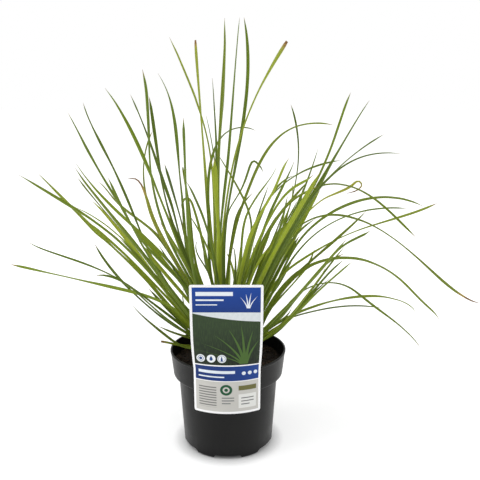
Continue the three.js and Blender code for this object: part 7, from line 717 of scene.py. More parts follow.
        ((.35, 6, 0, 0), (-13.1, -20.5, 105.5, .76, .04, .03, -13.4, -20.6, 112.2, .89, .06, .06, -14.5, -22, 123.7, 1.11, .1, .14, -17.7, -25, 144, 1.23, .16, .27, -22.4, -29, 163.9, 1.2, .2, .37, -28.9, -35, 185.6, 1.16, .22, .46, -34.1, -40.1, 200.4, 1.14, .24, .51, -39.6, -45.9, 214.8, 1.14, .21, .53, -54.6, -63.7, 252.4, 1.2, -.1, .4, -62.2, -75.3, 275.5, 1.23, -.22, .24, -68.2, -87.2, 300.2, 1.21, -.38, .07, -71.7, -97.2, 322.4, 1.08, -.65, -.15, -73.3, -106, 343.9, .8, -.93, -.34, -73.1, -113.9, 364.7, .82, -.9, -.36, -71.6, -124, 391.3, 1.09, -.05, -.08, -70.6, -136, 419.6, 1.06, .15, .08, -71.3, -140.4, 431.6, .87, .03, .1, -72.9, -142.7, 441.8, .44, -.14, .07)),
        ((.66, 6, 0, .15), (-12.2, -21.7, 105.5, .89, -.1, .04, -14, -23.2, 127, 1.38, -.15, .16, -17.7, -26.6, 149.7, 1.46, -.18, .26, -22.9, -31.8, 172.2, 1.45, -.21, .32, -29.5, -39.2, 195.3, 1.44, -.24, .36, -36.2, -47.6, 215.6, 1.43, -.26, .38, -43.7, -58.1, 236.4, 1.42, -.24, .4, -51, -69.4, 255.4, 1.32, -.01, .52, -61.4, -86.7, 281, 1.04, .24, .6, -64.3, -90.2, 287.1, .74, .06, .39, -67.3, -92.1, 292.8, .34, -.1, .17)),
    ]),
    ((12.1, -20.8), [
        ((.85, 4, 0, .15), (12.8, -20.3, 105.4, 1.13, -.02, -.06, 13.5, -20.8, 116.2, 1.44, -.05, -.13, 15.5, -23, 133.4, 1.86, -.12, -.29, 18.2, -25.7, 148.9, 1.84, -.17, -.39, 21.5, -29.2, 164.3, 1.79, -.32, -.5, 25, -33.3, 178.1, 1.72, -.49, -.62, 29.3, -38.6, 193.3, 1.63, -.61, -.73, 33.9, -44.8, 208.2, 1.55, -.7, -.82, 38.9, -51.9, 222.8, 1.48, -.75, -.9, 48.7, -67.5, 249.7, 1.36, -.8, -1.03, 58.6, -85.6, 275.3, 1.23, -.86, -1.14, 68.5, -107, 300.8, 1.18, -.83, -1.2, 75.8, -125.4, 320.1, 1.37, -.33, -.84, 82.1, -141.7, 337, 1.17, -.25, -.67, 85.1, -147.2, 344.4, .62, -.32, -.46, 87.8, -149.9, 350.3, .21, -.29, -.18)),
        ((.37, 3, 0, .11), (11.3, -21.3, 105.5, .75, 0, -.01, 11.8, -21.6, 115.3, .93, -.04, -.1, 13.6, -22.7, 126.5, 1.13, -.1, -.24, 16.7, -24.4, 138.6, 1.18, -.15, -.37, 20.6, -26.5, 150.5, 1.15, -.18, -.45, 26.5, -30.2, 165.6, 1.12, -.2, -.52, 34.3, -35.6, 183.9, 1.11, -.22, -.54, 41.8, -41.9, 202.1, 1.02, -.45, -.57, 48.7, -48.7, 220.1, .9, -.63, -.6, 59.9, -61.6, 248.6, .7, -.77, -.69, 64.4, -67.2, 259.1, .63, -.76, -.73, 69.5, -73.4, 269.1, .62, -.53, -.69, 75.6, -80.7, 279.4, .64, -.25, -.62, 81.9, -87.2, 287.7, .53, -.19, -.62, 86.9, -90.9, 292.6, .32, -.2, -.5, 92.3, -93, 296.6, .13, -.2, -.27)),
    ]),
    ((24.7, -14.2), [
        ((.65, 4, 0, .1), (25.4, -13.7, 105.5, .94, -.03, -.05, 25.9, -13.8, 111.3, 1.07, -.08, -.16, 27.6, -15.4, 119.7, 1.23, -.17, -.37, 30.3, -17.5, 128, 1.36, -.27, -.6, 33.8, -20.1, 135.9, 1.34, -.32, -.77, 37.8, -23.1, 143.5, 1.29, -.29, -.86, 42.9, -27.2, 151.9, 1.29, -.15, -.9, 55.8, -39.1, 171.1, 1.37, .37, -.68, 70.1, -55.4, 193.1, 1.42, .43, -.54, 83.9, -74.9, 217, 1.46, .36, -.48, 96.9, -97.8, 242.6, 1.45, .12, -.57, 111.2, -128.6, 274.2, .67, -.17, -.48, 114.3, -133.1, 280, .49, -.08, -.33, 117.1, -135.2, 284.4, .29, .05, -.19)),
        ((.48, 7, 0, .02), (23.8, -13.8, 105.5, .75, -.01, 0, 24.7, -14.2, 114.2, .89, -.09, -.19, 27.7, -15.5, 123.8, .99, -.21, -.47, 32.6, -17.2, 132.6, .98, -.31, -.71, 40.4, -20.3, 143.2, .88, -.35, -.82, 56.9, -28, 163.3, .9, -.3, -.82, 71.8, -36.9, 184.2, 1.06, .1, -.66, 89.9, -50.3, 213.6, 1.1, .38, -.45, 97.1, -56.6, 225.9, 1.07, .37, -.44, 103, -61.9, 235.1, .88, .16, -.51, 109.4, -67.6, 243.5, .6, -.1, -.59, 115.2, -72.1, 249.4, .41, -.2, -.63, 121, -75.4, 253.5, .27, -.1, -.54, 126.5, -77, 256, .11, .05, -.3)),
        ((.45, 3, 0, 0), (24.7, -15.1, 105.5, .75, .01, .04, 25, -15.2, 112, .86, -.07, -.14, 26.8, -16.2, 118.4, .9, -.18, -.4, 29.9, -17.4, 124.2, .88, -.29, -.66, 34.7, -19.1, 130.2, .81, -.37, -.88, 42.5, -22, 137.6, .7, -.4, -.96, 55.8, -28, 149.9, .74, -.39, -.93, 63.7, -32.2, 158.4, .84, -.29, -.88, 72.5, -37.4, 169.1, .96, -.08, -.79, 86.2, -46.6, 187.5, 1.04, .15, -.68, 99.9, -57.1, 206.4, 1.05, .47, -.49, 109.2, -65, 219.1, .98, .36, -.49, 124.6, -78.7, 239.5, .52, -.21, -.55, 129.3, -81.8, 245, .39, -.11, -.41, 133.6, -83.3, 249.4, .25, .01, -.26)),
    ]),
    ((28.3, -7.4), [
        ((.7, 4, 0, .1), (29, -6.9, 105.5, 1.36, -.1, -.18, 29.8, -6.9, 111.3, 1.56, -.15, -.27, 31.5, -7.8, 119.3, 1.8, -.26, -.47, 36.7, -9, 140.1, 2.18, -.48, -.56, 40.5, -9.7, 152.9, 2.07, -.65, -.77, 48.6, -11.5, 172.1, 1.93, -.72, -1.02, 59.6, -14.3, 191.8, 1.84, -.54, -1.27, 71.7, -17.6, 208.1, 1.61, -.6, -1.53, 83.1, -20.9, 219.6, 1.11, -1.12, -1.68, 95.9, -24.6, 228.8, .15, -1.94, -1.23, 103.5, -26.9, 232.8, -.15, -2.06, -1.01, 111.2, -29.3, 236, -.3, -2.08, -.94, 119.1, -31.8, 238.4, -.42, -2.06, -.93, 127.1, -34.3, 240.1, -.52, -2.05, -.9, 141.5, -39.1, 241, -.72, -2.07, -.69, 149.3, -41.8, 240.4, -.8, -2.1, -.51, 156.9, -44.5, 239, -.84, -2.12, -.31, 171.5, -49.8, 233.9, -.79, -2.16, .07, 183.5, -54.6, 227.2, -.85, -2.12, .02, 195.4, -59.7, 217.7, -1.02, -1.73, -.26, 211.7, -66.9, 201.6, -.87, -1.1, -.44, 222, -70.5, 192.4, -.64, -.71, -.5, 227.8, -71.9, 186.9, -.5, -.5, -.36, 232.8, -72.8, 180.3, -.3, -.35, -.16)),
        ((.4, 7, 0, .1), (27.4, -7, 105.5, .75, -.02, -.01, 27.7, -7, 110.5, .84, -.06, -.1, 29.2, -7.7, 117.3, .92, -.14, -.31, 31.8, -8.3, 123.6, .96, -.23, -.51, 35.1, -8.9, 129.4, 1, -.29, -.67, 40.9, -9.9, 137.4, .92, -.33, -.78, 55.3, -12.5, 155.1, .98, -.21, -.75, 69, -16, 175.3, 1.02, .37, -.62, 76.5, -18.2, 185.7, .93, .58, -.61, 85.1, -20.6, 194.9, .77, .76, -.62, 93.7, -23, 201.4, .63, .9, -.59, 102.9, -25.6, 206.2, .52, .96, -.6, 112.7, -28.4, 209.2, .41, .96, -.69, 121.2, -30.9, 210.1, .28, .92, -.8, 129.6, -33.4, 209.3, .08, .86, -.91, 137.5, -35.9, 206.8, -.19, .75, -.98, 144.8, -38.4, 202.8, -.42, .61, -1.01, 165.8, -46.2, 187.5, -.57, .41, -1.03, 185.8, -53.8, 173.7, -.37, .53, -.8, 196.4, -57.9, 165.6, -.27, .54, -.57, 207.5, -61.7, 155.4, -.3, .33, -.37, 216.7, -63.6, 144.3, -.3, .12, -.23)),
        ((.55, 3, 0, 0), (28.3, -8.3, 105.5, .79, 0, .03, 28.6, -8.4, 111.6, .9, -.08, -.15, 29.9, -8.8, 116.6, .94, -.17, -.35, 32.6, -9.3, 122.2, .94, -.27, -.6, 36.1, -10.1, 127.1, .91, -.35, -.81, 43.7, -11.7, 135, .8, -.41, -.96, 62, -16.4, 151.6, .76, -.52, -.94, 76, -21, 166.7, .81, -.59, -.85, 83.8, -23.9, 176.7, .84, -.62, -.8, 91.6, -27.2, 187.9, .76, -.78, -.73, 105, -33.6, 208.8, .48, -.98, -.63, 116.1, -39.4, 225, .49, -.49, -.55, 124.1, -43, 234.7, .41, -.21, -.46, 131.2, -44.6, 241.3, .18, -.21, -.25)),
    ]),
    ((24.6, -.3), [
        ((.7, 4, 0, .2), (25.3, .2, 105.5, 1.04, -.27, -.05, 26, .1, 112.6, 1.2, -.38, -.2, 27.4, -.2, 119.5, 1.33, -.51, -.38, 32.7, -1.2, 134.1, 1.46, -.76, -.71, 54.4, -6, 177.6, 1.4, -.76, -.84, 64.3, -8.6, 193.8, 1.28, -.74, -1.02, 71.4, -10.5, 203.5, 1.21, -.73, -1.11, 80.7, -13.1, 214.6, 1.1, -.8, -1.17, 97.4, -18.2, 232.6, .3, -1.59, -.77, 120.1, -25.8, 256.1, .5, -1.38, -.95, 139.8, -33.1, 277.5, .41, -.83, -.63, 148.4, -35.9, 287.4, .35, -.52, -.42, 155.4, -37.1, 295.4, .2, -.28, -.2)),
        ((.55, 3, 0, 0), (23.8, .1, 105.5, .75, -.03, -.04, 25, .1, 116, .93, -.08, -.17, 27.7, .1, 127.1, 1.11, -.16, -.35, 31.8, .1, 137.6, 1.12, -.22, -.5, 37.3, 0, 148.5, 1.06, -.26, -.61, 44.8, 0, 160.1, .99, -.28, -.7, 52.5, -.1, 170.3, .97, .01, -.79, 77.9, -.3, 199.5, .7, .85, -.59, 90, -.5, 214.9, .95, -.06, -.65, 94.2, -.5, 221.7, .96, -.24, -.55, 98.2, -.6, 229.6, .89, -.2, -.39, 101.1, -.6, 237.1, .67, -.07, -.21, 103.1, -.6, 244.8, .24, .11, -.05)),
        ((.51, 4, 0, .06), (24.7, -1.2, 105.5, .89, -.32, -.09, 27.2, -1.5, 124.1, 1.28, -.54, -.24, 30.8, -2.2, 141.4, 1.39, -.66, -.37, 36, -3.3, 160.2, 1.33, -.72, -.46, 42.6, -4.8, 179.3, 1.26, -.78, -.55, 50.9, -7, 199.6, 1.22, -.79, -.63, 60.8, -9.9, 220.9, 1.22, -.7, -.71, 75.7, -14.6, 249.3, 1.17, -.26, -.7, 83.8, -16.3, 263.2, .29, -.25, -.19)),
    ]),
    ((28.5, 7.4), [
        ((.6, 4, 0, .1), (29.2, 7.9, 105.5, .82, -.24, .02, 29.5, 8, 111.1, .91, -.34, -.12, 30.4, 8.4, 115.1, .95, -.42, -.24, 32.4, 9, 120.1, .96, -.54, -.43, 35.3, 9.7, 124.5, .95, -.65, -.6, 43.6, 11.6, 132.9, .85, -.77, -.83, 56.5, 14.8, 141.7, .74, -.83, -.89, 72.8, 19.4, 149.9, .64, -.91, -.88, 90.2, 24.6, 156.4, .57, -.99, -.84, 111, 31.1, 162, .52, -1.09, -.75, 131.3, 37.7, 165.7, .47, -1.3, -.31, 152.4, 44.7, 167.8, .4, -1.04, -.88, 171.3, 51.1, 168, .19, -.69, -1.22, 189.2, 57.1, 166.5, .18, -.96, -1.03, 205.9, 62.7, 163.1, .27, -1.2, -.5, 224, 68.5, 157.2, .17, -.97, -.3, 231.4, 70.7, 153.8, .02, -.79, -.39, 238.4, 72.5, 149.7, -.19, -.52, -.48, 245.8, 74.1, 143.5, -.38, -.19, -.3, 247.1, 74.5, 140.7, -.41, -.09, -.11, 247.2, 74.9, 136.1, -.32, -.05, .03)),
        ((.4, 4, 0, 0), (27.6, 7.8, 105.5, .75, -.01, 0, 28.1, 7.9, 112.2, .86, -.08, -.15, 30.4, 8.3, 119.5, .93, -.18, -.41, 34.2, 8.8, 125.9, .93, -.28, -.66, 39.9, 9.5, 132.2, .83, -.36, -.86, 47.4, 10.5, 138, .7, -.38, -.96, 56.3, 11.8, 143.3, .59, -.16, -1.09, 66.8, 13.5, 148, .4, .34, -1.14, 77.7, 15.2, 151.8, .23, .58, -1.08, 91.9, 17.7, 155.5, .14, .61, -1.08, 109.6, 20.8, 158.9, .07, .61, -1.09, 125.6, 23.8, 161.1, 0, .61, -1.09, 140.7, 26.7, 162.2, -.08, .64, -1.07, 155, 29.5, 162.3, -.14, .56, -.98, 169.5, 32.3, 161.3, -.15, .33, -.82, 184, 34.8, 159.3, -.12, .18, -.56, 196.1, 35.9, 156.9, -.06, .11, -.23)),
        ((.47, 4, 0, .1), (28.5, 6.5, 105.5, .75, 0, .03, 28.7, 6.5, 110.9, .85, -.06, -.11, 29.6, 6.6, 115.1, .89, -.13, -.27, 31.2, 6.6, 119.1, .89, -.2, -.46, 34.1, 6.7, 123.4, .85, -.29, -.68, 38.4, 6.9, 127.9, .78, -.37, -.89, 43.3, 7, 131.6, .68, -.4, -.97, 66.6, 7.9, 146.3, .73, -.39, -.94, 72.7, 8.2, 151.6, .83, -.37, -.86, 78.4, 8.5, 157.5, .9, -.37, -.78, 90.9, 9.2, 173.5, .86, -.68, -.59, 113.2, 10.6, 206, .68, -.93, -.42, 129.4, 11.7, 228.8, .63, -.25, -.46, 140.9, 12.1, 243.7, .22, -.21, -.17)),
    ]),
    ((24.7, 14.2), [
        ((.55, 46, 0, .2), (25.5, 14.7, 105.5, .87, .25, -.1, 28.4, 15.1, 125.8, 1.32, .37, -.23, 31.2, 15.6, 140.8, 1.43, .4, -.31, 35.2, 16.2, 157.9, 1.41, .39, -.39, 39.4, 16.9, 172.2, 1.38, .41, -.47, 48.8, 18.5, 197.3, 1.25, .63, -.58, 70.9, 22.2, 245.3, .9, 1.08, -.56, 74.3, 22.8, 251.5, .81, 1.11, -.64, 78.5, 23.5, 257.2, .69, 1.13, -.73, 83.4, 24.2, 262.2, .56, 1.15, -.81, 88.9, 25.1, 266.6, .45, 1.15, -.87, 94.9, 25.9, 270.3, .35, 1.13, -.94, 101.3, 26.8, 273.4, .26, 1.09, -1.02, 108.1, 27.8, 275.7, .17, 1.01, -1.11, 115.1, 28.8, 277.2, .07, .93, -1.2, 122.2, 29.9, 278.1, -.05, .84, -1.26, 131.9, 31.3, 278, -.21, .78, -1.28, 139.3, 32.4, 277.1, -.32, .77, -1.26, 148.9, 33.9, 275, -.44, .83, -1.18, 168, 36.9, 268.4, -.56, 1.08, -.9, 186.3, 39.9, 259.1, -.53, 1.31, -.54, 203.9, 42.9, 247.8, -.48, 1.4, -.34, 220.8, 45.8, 235.1, -.53, 1.37, -.36, 241.5, 49.4, 217.7, -.74, 1.17, -.61, 274.8, 55.2, 188.5, -.96, .2, -1.1, 292.3, 57.9, 174.5, -.8, .05, -1.08, 303.9, 59.4, 166.6, -.56, .08, -.86, 313.4, 60.3, 161, -.39, .08, -.74, 320.9, 60.9, 157.7, -.24, .06, -.68, 328.7, 61.2, 155.8, -.1, .06, -.59)),
        ((.65, 9, 0, .2), (23.9, 14.6, 105.5, .76, -.04, -.07, 26, 15.1, 120.6, 1.04, -.1, -.2, 30.2, 15.9, 136.8, 1.21, -.16, -.37, 35.8, 17, 152.4, 1.17, -.19, -.46, 44.1, 18.8, 170.6, 1.13, -.22, -.54, 51.9, 20.6, 184.7, 1.08, -.23, -.63, 60, 22.4, 196.4, 1, -.13, -.77, 68.3, 24.3, 205.5, .87, .01, -.92, 77.8, 26.4, 213.4, .74, .1, -1.03, 92.6, 29.7, 223.1, .63, .08, -1.1, 112.7, 34.5, 234.4, .48, .46, -1.09, 130.3, 38.8, 243.3, .17, .92, -.86, 145.3, 42.5, 249.7, .02, 1.04, -.73, 159.1, 46, 254.6, .02, .96, -.83, 175, 50, 259.3, .07, .8, -.98, 218.9, 61.2, 270.5, .35, -.19, -1.19, 237.3, 65.7, 275.5, .41, -.31, -1.15, 253.4, 69, 280.8, .42, -.23, -1.04, 267.1, 70.6, 286.5, .31, .05, -.68)),
        ((.45, 4, 0, 0), (24.8, 13.3, 105.5, .75, -.03, -.05, 25.5, 13.5, 112.4, .87, -.07, -.13, 27.3, 14.4, 120.6, 1.01, -.12, -.25, 32.7, 16.6, 136.3, 1.15, -.2, -.46, 44.9, 21.6, 161.1, 1.12, -.21, -.52, 58.4, 28.3, 186.6, 1.05, .19, -.64, 69, 34, 204.4, .93, .4, -.74, 80.1, 40, 220, .79, .5, -.83, 91.8, 46.3, 233.3, .64, .56, -.92, 103.8, 52.7, 244.1, .45, .62, -.99, 116, 59.1, 252.6, .25, .7, -1.01, 131, 66.8, 260.4, .03, .78, -.98, 147.3, 75.2, 266.4, -.12, .81, -.95, 164.8, 84.1, 270.7, -.2, .76, -.97, 185.2, 94.2, 273.5, -.17, .52, -1, 208.4, 105.1, 274.2, -.03, .03, -.93, 226, 111.7, 273.4, -.05, -.05, -.88, 241.1, 114.9, 271.9, -.07, .13, -.41)),
    ]),
    ((20.1, 21), [
        ((.5, 4, 0, 0), (20.8, 21.5, 105.5, .8, .03, .09, 20.6, 21.6, 110.8, .92, -.03, -.06, 21.7, 22.7, 115.6, .96, -.14, -.32, 24, 24.3, 119.7, .91, -.25, -.61, 27.4, 26.1, 123, .82, -.34, -.85, 31.4, 28.1, 125.4, .74, -.41, -1.04, 37, 30.8, 127.8, .63, -.44, -1.11, 56.6, 41.6, 134.3, .69, -.43, -1.07, 66, 47.7, 139.6, .93, -.38, -.9, 72.3, 52.3, 145.1, 1.04, -.35, -.78, 85.6, 62.8, 158.9, 1.04, -.35, -.78, 99, 73, 171.4, 1.01, -.36, -.82, 130.7, 98.4, 200, 1.03, -.38, -.79, 143.7, 109.1, 210.8, .99, -.76, -.51, 151.4, 115.3, 216.1, .92, -.83, -.45, 158.6, 120.8, 220.1, .81, -.66, -.63, 166.3, 126.4, 223.4, .67, -.47, -.92, 174.6, 131.8, 226.2, .57, -.37, -1.11, 188.4, 139.5, 230.7, .59, -.41, -1.03, 193.6, 141.6, 233, .55, -.44, -.75, 198.4, 142.9, 236, .45, -.45, -.48)),
        ((.35, 4, 0, .05), (19.3, 21.3, 105.5, .87, .35, -.02, 20.1, 22.2, 115.1, 1.08, .38, -.24, 22.6, 24.3, 124.7, 1.26, .38, -.53, 26.3, 27.1, 133.6, 1.31, .34, -.78, 31.7, 31.3, 142.9, 1.22, .27, -.95, 40.1, 38, 154, 1.12, .2, -1.07, 51, 47.4, 166.5, 1.1, .12, -1.1, 65, 61.1, 182.6, 1.29, -.23, -.82, 75.2, 72.6, 196.9, 1.16, -.26, -.64, 79.4, 76.2, 202.5, .67, -.09, -.48, 83.1, 77.8, 207, .34, .07, -.3)),
        ((.6, 3, 0, 0), (20.2, 20.1, 105.5, 1.24, .49, -.12, 20.8, 20.3, 111.9, 1.44, .57, -.21, 22.5, 23, 127.8, 1.94, .76, -.38, 25.7, 28.7, 150.3, 2.02, .74, -.58, 29.9, 35.8, 169.5, 1.97, .63, -.82, 35.4, 44, 185.7, 1.89, .51, -1.08, 41.7, 52.6, 198.8, 1.8, .37, -1.27, 50, 63.3, 212.3, 1.74, .23, -1.37, 60, 76.2, 226.3, 1.75, .08, -1.38, 80.4, 103.4, 253.7, 1.95, -.33, -1.04, 90.8, 118.2, 270.3, 2.03, -.33, -.85, 94.8, 124.1, 278.1, 1.97, -.29, -.7, 97.2, 127.7, 283.9, 1.68, -.16, -.54, 99.6, 130.9, 291.2, .97, .14, -.31, 101, 132.4, 297.6, .44, .22, -.13)),
    ]),
    ((12.3, 21), [
        ((.35, 3, 0, 0), (13, 21.5, 105.5, .8, -.02, -.05, 13.4, 21.7, 112, .94, -.03, -.08, 14.8, 23.8, 122.6, 1.15, -.07, -.17, 18.9, 28.8, 141.5, 1.3, -.12, -.32, 24.9, 35.7, 159.4, 1.26, -.16, -.42, 32.3, 44.6, 176.3, 1.23, -.18, -.5, 41, 55.4, 192.5, 1.21, -.2, -.55, 51.4, 68.6, 209.5, 1.19, -.21, -.59, 68.1, 90.6, 235, 1.18, -.21, -.6, 85.1, 114.2, 261.7, 1.21, -.2, -.55, 94.4, 127.9, 277.9, 1.22, -.13, -.56, 102.4, 140.2, 293.3, 1.05, .3, -.75, 111.3, 154.3, 312.4, .76, .39, -.61, 117.7, 164, 327.6, .56, .34, -.41, 121.8, 169.3, 338.6, .4, .29, -.25, 125.6, 172.2, 349.9, .27, .15, -.11)),
        ((.35, 3, 0, 0), (11.4, 21.4, 105.5, .75, -.01, -.03, 11.7, 21.5, 111.3, .86, -.02, -.07, 12.5, 23, 118.3, .99, -.05, -.12, 15.9, 27.4, 135.6, 1.21, -.11, -.29, 20.6, 32.6, 150.3, 1.18, -.14, -.38, 27, 39.9, 165.8, 1.16, -.16, -.45, 33.7, 47.7, 179.3, 1.14, -.18, -.49, 42.5, 58.6, 195.3, 1.12, -.15, -.53, 59.8, 81.6, 226.4, .92, .37, -.76, 72.2, 99.9, 251.4, .76, .62, -.78, 82.9, 117.7, 278.1, .6, .82, -.72, 87.2, 126.2, 292.1, .54, .91, -.67, 90.4, 133.2, 304.8, .5, .96, -.62, 93.2, 140.7, 319.6, .57, .97, -.55, 94.8, 146.8, 332.8, .74, .89, -.45, 95.5, 152.3, 346.2, .91, .66, -.27, 95.3, 157.2, 359.7, 1, .29, -.05, 94, 161.4, 373.3, 1.07, .01, .14, 92.1, 164.2, 384.9, 1.05, -.06, .23, 89.4, 166.4, 396.3, .92, .03, .25, 85.2, 167.7, 409.4, .47, .18, .16)),
        ((.5, 4, 0, 0), (12.4, 20.1, 105.5, .75, -.01, -.02, 12.7, 20.2, 111.8, .87, -.02, -.06, 13.8, 21.4, 121.9, 1.06, -.06, -.16, 18.3, 24.2, 141.4, 1.2, -.13, -.33, 24.8, 28, 159.8, 1.16, -.16, -.44, 34.4, 34, 180.8, 1.13, -.18, -.5, 47.7, 43.2, 206.2, 1.12, -.19, -.53, 62, 53.8, 231.1, 1.09, -.2, -.57, 74.4, 63.2, 250.6, 1.07, -.21, -.61, 105.1, 86.8, 296.3, 1.09, -.2, -.58, 114.4, 94.3, 311.8, 1.11, -.21, -.53, 122.9, 101.6, 327.8, 1.13, -.35, -.41, 135.6, 113.1, 355.7, 1.09, -.52, -.24, 148.5, 125.7, 390.4, 1.17, -.2, -.35, 155.6, 131.2, 409.9, 1.04, -.25, -.34, 161.8, 133.6, 425.1, .52, -.33, -.2)),
    ]),
    ((8, 28.1), [
        ((.6, 7, 0, .05), (8.7, 28.6, 105.5, .88, -.47, .02, 8.8, 29.2, 109.8, .97, -.51, .15, 9, 31.3, 113.5, 1.08, -.52, .23, 9.6, 34.5, 117.5, 1.21, -.52, .28, 10.5, 39.1, 121.5, 1.38, -.53, .29, 11.8, 44.6, 125.2, 1.55, -.54, .26, 13.5, 50.9, 128.5, 1.57, -.51, .2, 17.8, 67, 134.5, 1.6, -.45, .01, 23.4, 86.6, 139.3, 1.59, -.41, -.25, 30.4, 110.5, 143.4, 1.5, -.35, -.63, 36.3, 130.4, 145.9, 1.39, -.31, -.86, 44, 156.3, 148.8, 1.48, -.38, -.63, 53.7, 187.6, 152.3, 1.03, -.24, -.7, 58.4, 199.7, 155.1, .7, -.19, -.4, 60.3, 202.9, 156.6, .56, -.2, -.27, 62, 204.9, 158.6, .42, -.23, -.18)),
        ((.56, 4, 0, .03), (7.2, 28.5, 105.5, .87, -.46, -.01, 7.3, 28.8, 109.1, .95, -.5, .06, 7.4, 29.6, 111.7, 1.02, -.47, .23, 7.7, 33.6, 118.3, 1.2, -.52, .3, 8.1, 38.1, 124, 1.38, -.53, .38, 9, 48.5, 133.5, 1.51, -.48, .43, 10.3, 62.3, 142.8, 1.54, -.4, .4, 12.1, 79, 151.6, 1.58, -.33, .31, 14.7, 100.3, 160.9, 1.63, -.22, .05, 17.5, 122, 169.1, 1.61, -.1, -.32, 22.3, 156.2, 180.9, 1.57, -.1, -.34, 23.9, 167.5, 185.3, 1.3, -.08, -.26, 25.4, 176.7, 190.3, .86, -.09, -.09, 26, 179.4, 192.9, .65, -.14, -.02, 26.5, 181.2, 195.7, .47, -.18, 0)),
        ((.66, 6, 0, .14), (8.1, 27.2, 105.5, .92, .28, -.03, 8.3, 27.6, 110.6, 1.04, .31, -.1, 8.6, 29.4, 116.7, 1.18, .34, -.18, 9.4, 36, 130.7, 1.52, .37, -.31, 10.1, 45.1, 144, 1.54, .31, -.31, 10.2, 57.2, 157.3, 1.56, .25, -.23, 9.9, 66.5, 165.8, 1.58, .21, -.13, 9, 76.7, 174.1, 1.59, .15, .04, 8, 84, 179.6, 1.59, .18, .08, 6, 95, 187.2, 1.46, .47, -.25, 2.8, 108.5, 195.7, 1.16, .22, .17, -.1, 117.4, 201.6, .95, .12, .34, -2.6, 122.6, 206.2, .64, .14, .22, -5, 125.1, 210.6, .34, .19, .12)),
    ]),
    ((.1, 28.5), [
        ((.63, 7, 0, .02), (.9, 29, 105.5, .86, .56, -.02, .9, 29.4, 108.6, .93, .57, -.2, .8, 35.2, 114.2, 1.13, .41, -.56, .6, 40.6, 117.4, 1.28, .37, -.67, .3, 55.1, 123.2, 1.5, .29, -.78, -.3, 74.6, 128.3, 1.53, .2, -.74, -.9, 99.3, 132.8, 1.57, .14, -.66, -1.5, 131.2, 137.2, 1.66, .08, -.42, -2, 165.6, 141, 1.71, .02, -.04, -2.2, 243.6, 149.4, 1.6, 0, -.09, -2, 260.5, 152.9, 1.04, .02, -.13, -1.8, 266.2, 155.4, .72, .08, -.18, -1.6, 268.9, 158, .52, .16, -.16)),
        ((.31, 3, 0, .06), (-.7, 28.8, 105.5, .87, -.51, -.04, -.6, 29.8, 111.2, 1.01, -.49, .28, -.9, 33.5, 116.5, 1.14, -.45, .51, -1.7, 37.8, 120.9, 1.25, -.4, .71, -4, 49, 128.8, 1.34, -.26, .98, -7.3, 63.4, 135.5, 1.29, -.12, 1.06, -11.5, 81.9, 141.9, 1.3, -.03, 1.07, -16.9, 105.8, 148.5, 1.38, .06, .96, -25.3, 146, 158.1, 1.59, .21, .5, -33.9, 189.2, 168, 1.61, .2, .45, -37.7, 208.7, 173, 1.55, .19, .41, -40.7, 222.3, 178.1, 1.01, .09, .32, -42, 226.8, 181.3, .69, -.03, .29, -43, 229, 184.3, .49, -.12, .21)),
        ((.58, 4, 0, .08), (.1, 27.6, 105.5, .86, .52, .01, .1, 27.9, 109.7, .95, .56, -.11, .3, 33.3, 118.8, 1.19, .54, -.48, .6, 38.5, 124.5, 1.35, .53, -.65, 1.7, 50.1, 134.1, 1.41, .41, -.8, 3.4, 65.8, 143.4, 1.41, .29, -.86, 5.6, 85.9, 152.6, 1.43, .2, -.84, 8.3, 111.7, 162.5, 1.53, .09, -.68, 11.7, 146.8, 174.5, 1.65, -.06, -.26, 15.4, 194.2, 190.1, 1.66, -.05, -.21, 16.7, 210.6, 196, 1.43, -.05, -.19, 17.4, 218, 199.3, 1.17, -.03, -.17, 18.1, 224.2, 202.9, .89, .01, -.19, 18.7, 227.8, 206.1, .66, .08, -.19, 19.3, 230, 209.6, .49, .15, -.15)),
    ]),
    ((-7.9, 28.4), [
        ((.6, 2, 0, .1), (-7.1, 28.9, 105.5, .87, .5, -.06, -7, 29.1, 109, .94, .56, -.1, -7.1, 30, 111.5, 1, .54, -.24, -7.8, 32.9, 116.1, 1.13, .6, -.22, -8.8, 36.3, 119.7, 1.27, .63, -.21, -12.1, 45, 126, 1.52, .67, -.13, -16.7, 56.8, 131.7, 1.55, .61, -.01, -23.3, 74, 137.3, 1.57, .55, .09, -31.8, 98.4, 143.7, 1.58, .47, .24, -43.2, 133.7, 151.9, 1.5, .32, .67, -59.9, 188.1, 164.6, 1.35, .27, .59, -64.2, 200, 168.9, .94, .22, .36, -66.2, 204, 171.6, .65, .24, .18, -67.8, 205.9, 174.1, .45, .26, .11)),
        ((.32, 3, 0, .11), (-8.7, 28.8, 105.5, 1.08, -.41, -.02, -8.8, 29.5, 111.3, 1.24, -.4, .24, -9.4, 32.1, 116.4, 1.39, -.38, .43, -10.3, 35.4, 121.2, 1.51, -.33, .64, -13.1, 43.4, 129.4, 1.65, -.21, .96, -16.9, 53.7, 136.7, 1.59, -.06, 1.08, -22.5, 68.7, 144.5, 1.57, .06, 1.12, -29.8, 89.3, 152.9, 1.63, .18, 1.01, -39.5, 119.1, 164, 1.77, .27, .7, -44.4, 136.6, 170.6, 1.51, -.07, 1.17, -47.6, 149.6, 175.9, 1.35, -.11, .96, -50.1, 162.2, 181.7, 1.15, -.06, .53, -51.5, 171.3, 187, .89, -.06, .25, -52.1, 176.6, 191.7, .65, -.07, .1, -52.1, 179.1, 196.3, .47, -.12, .03)),
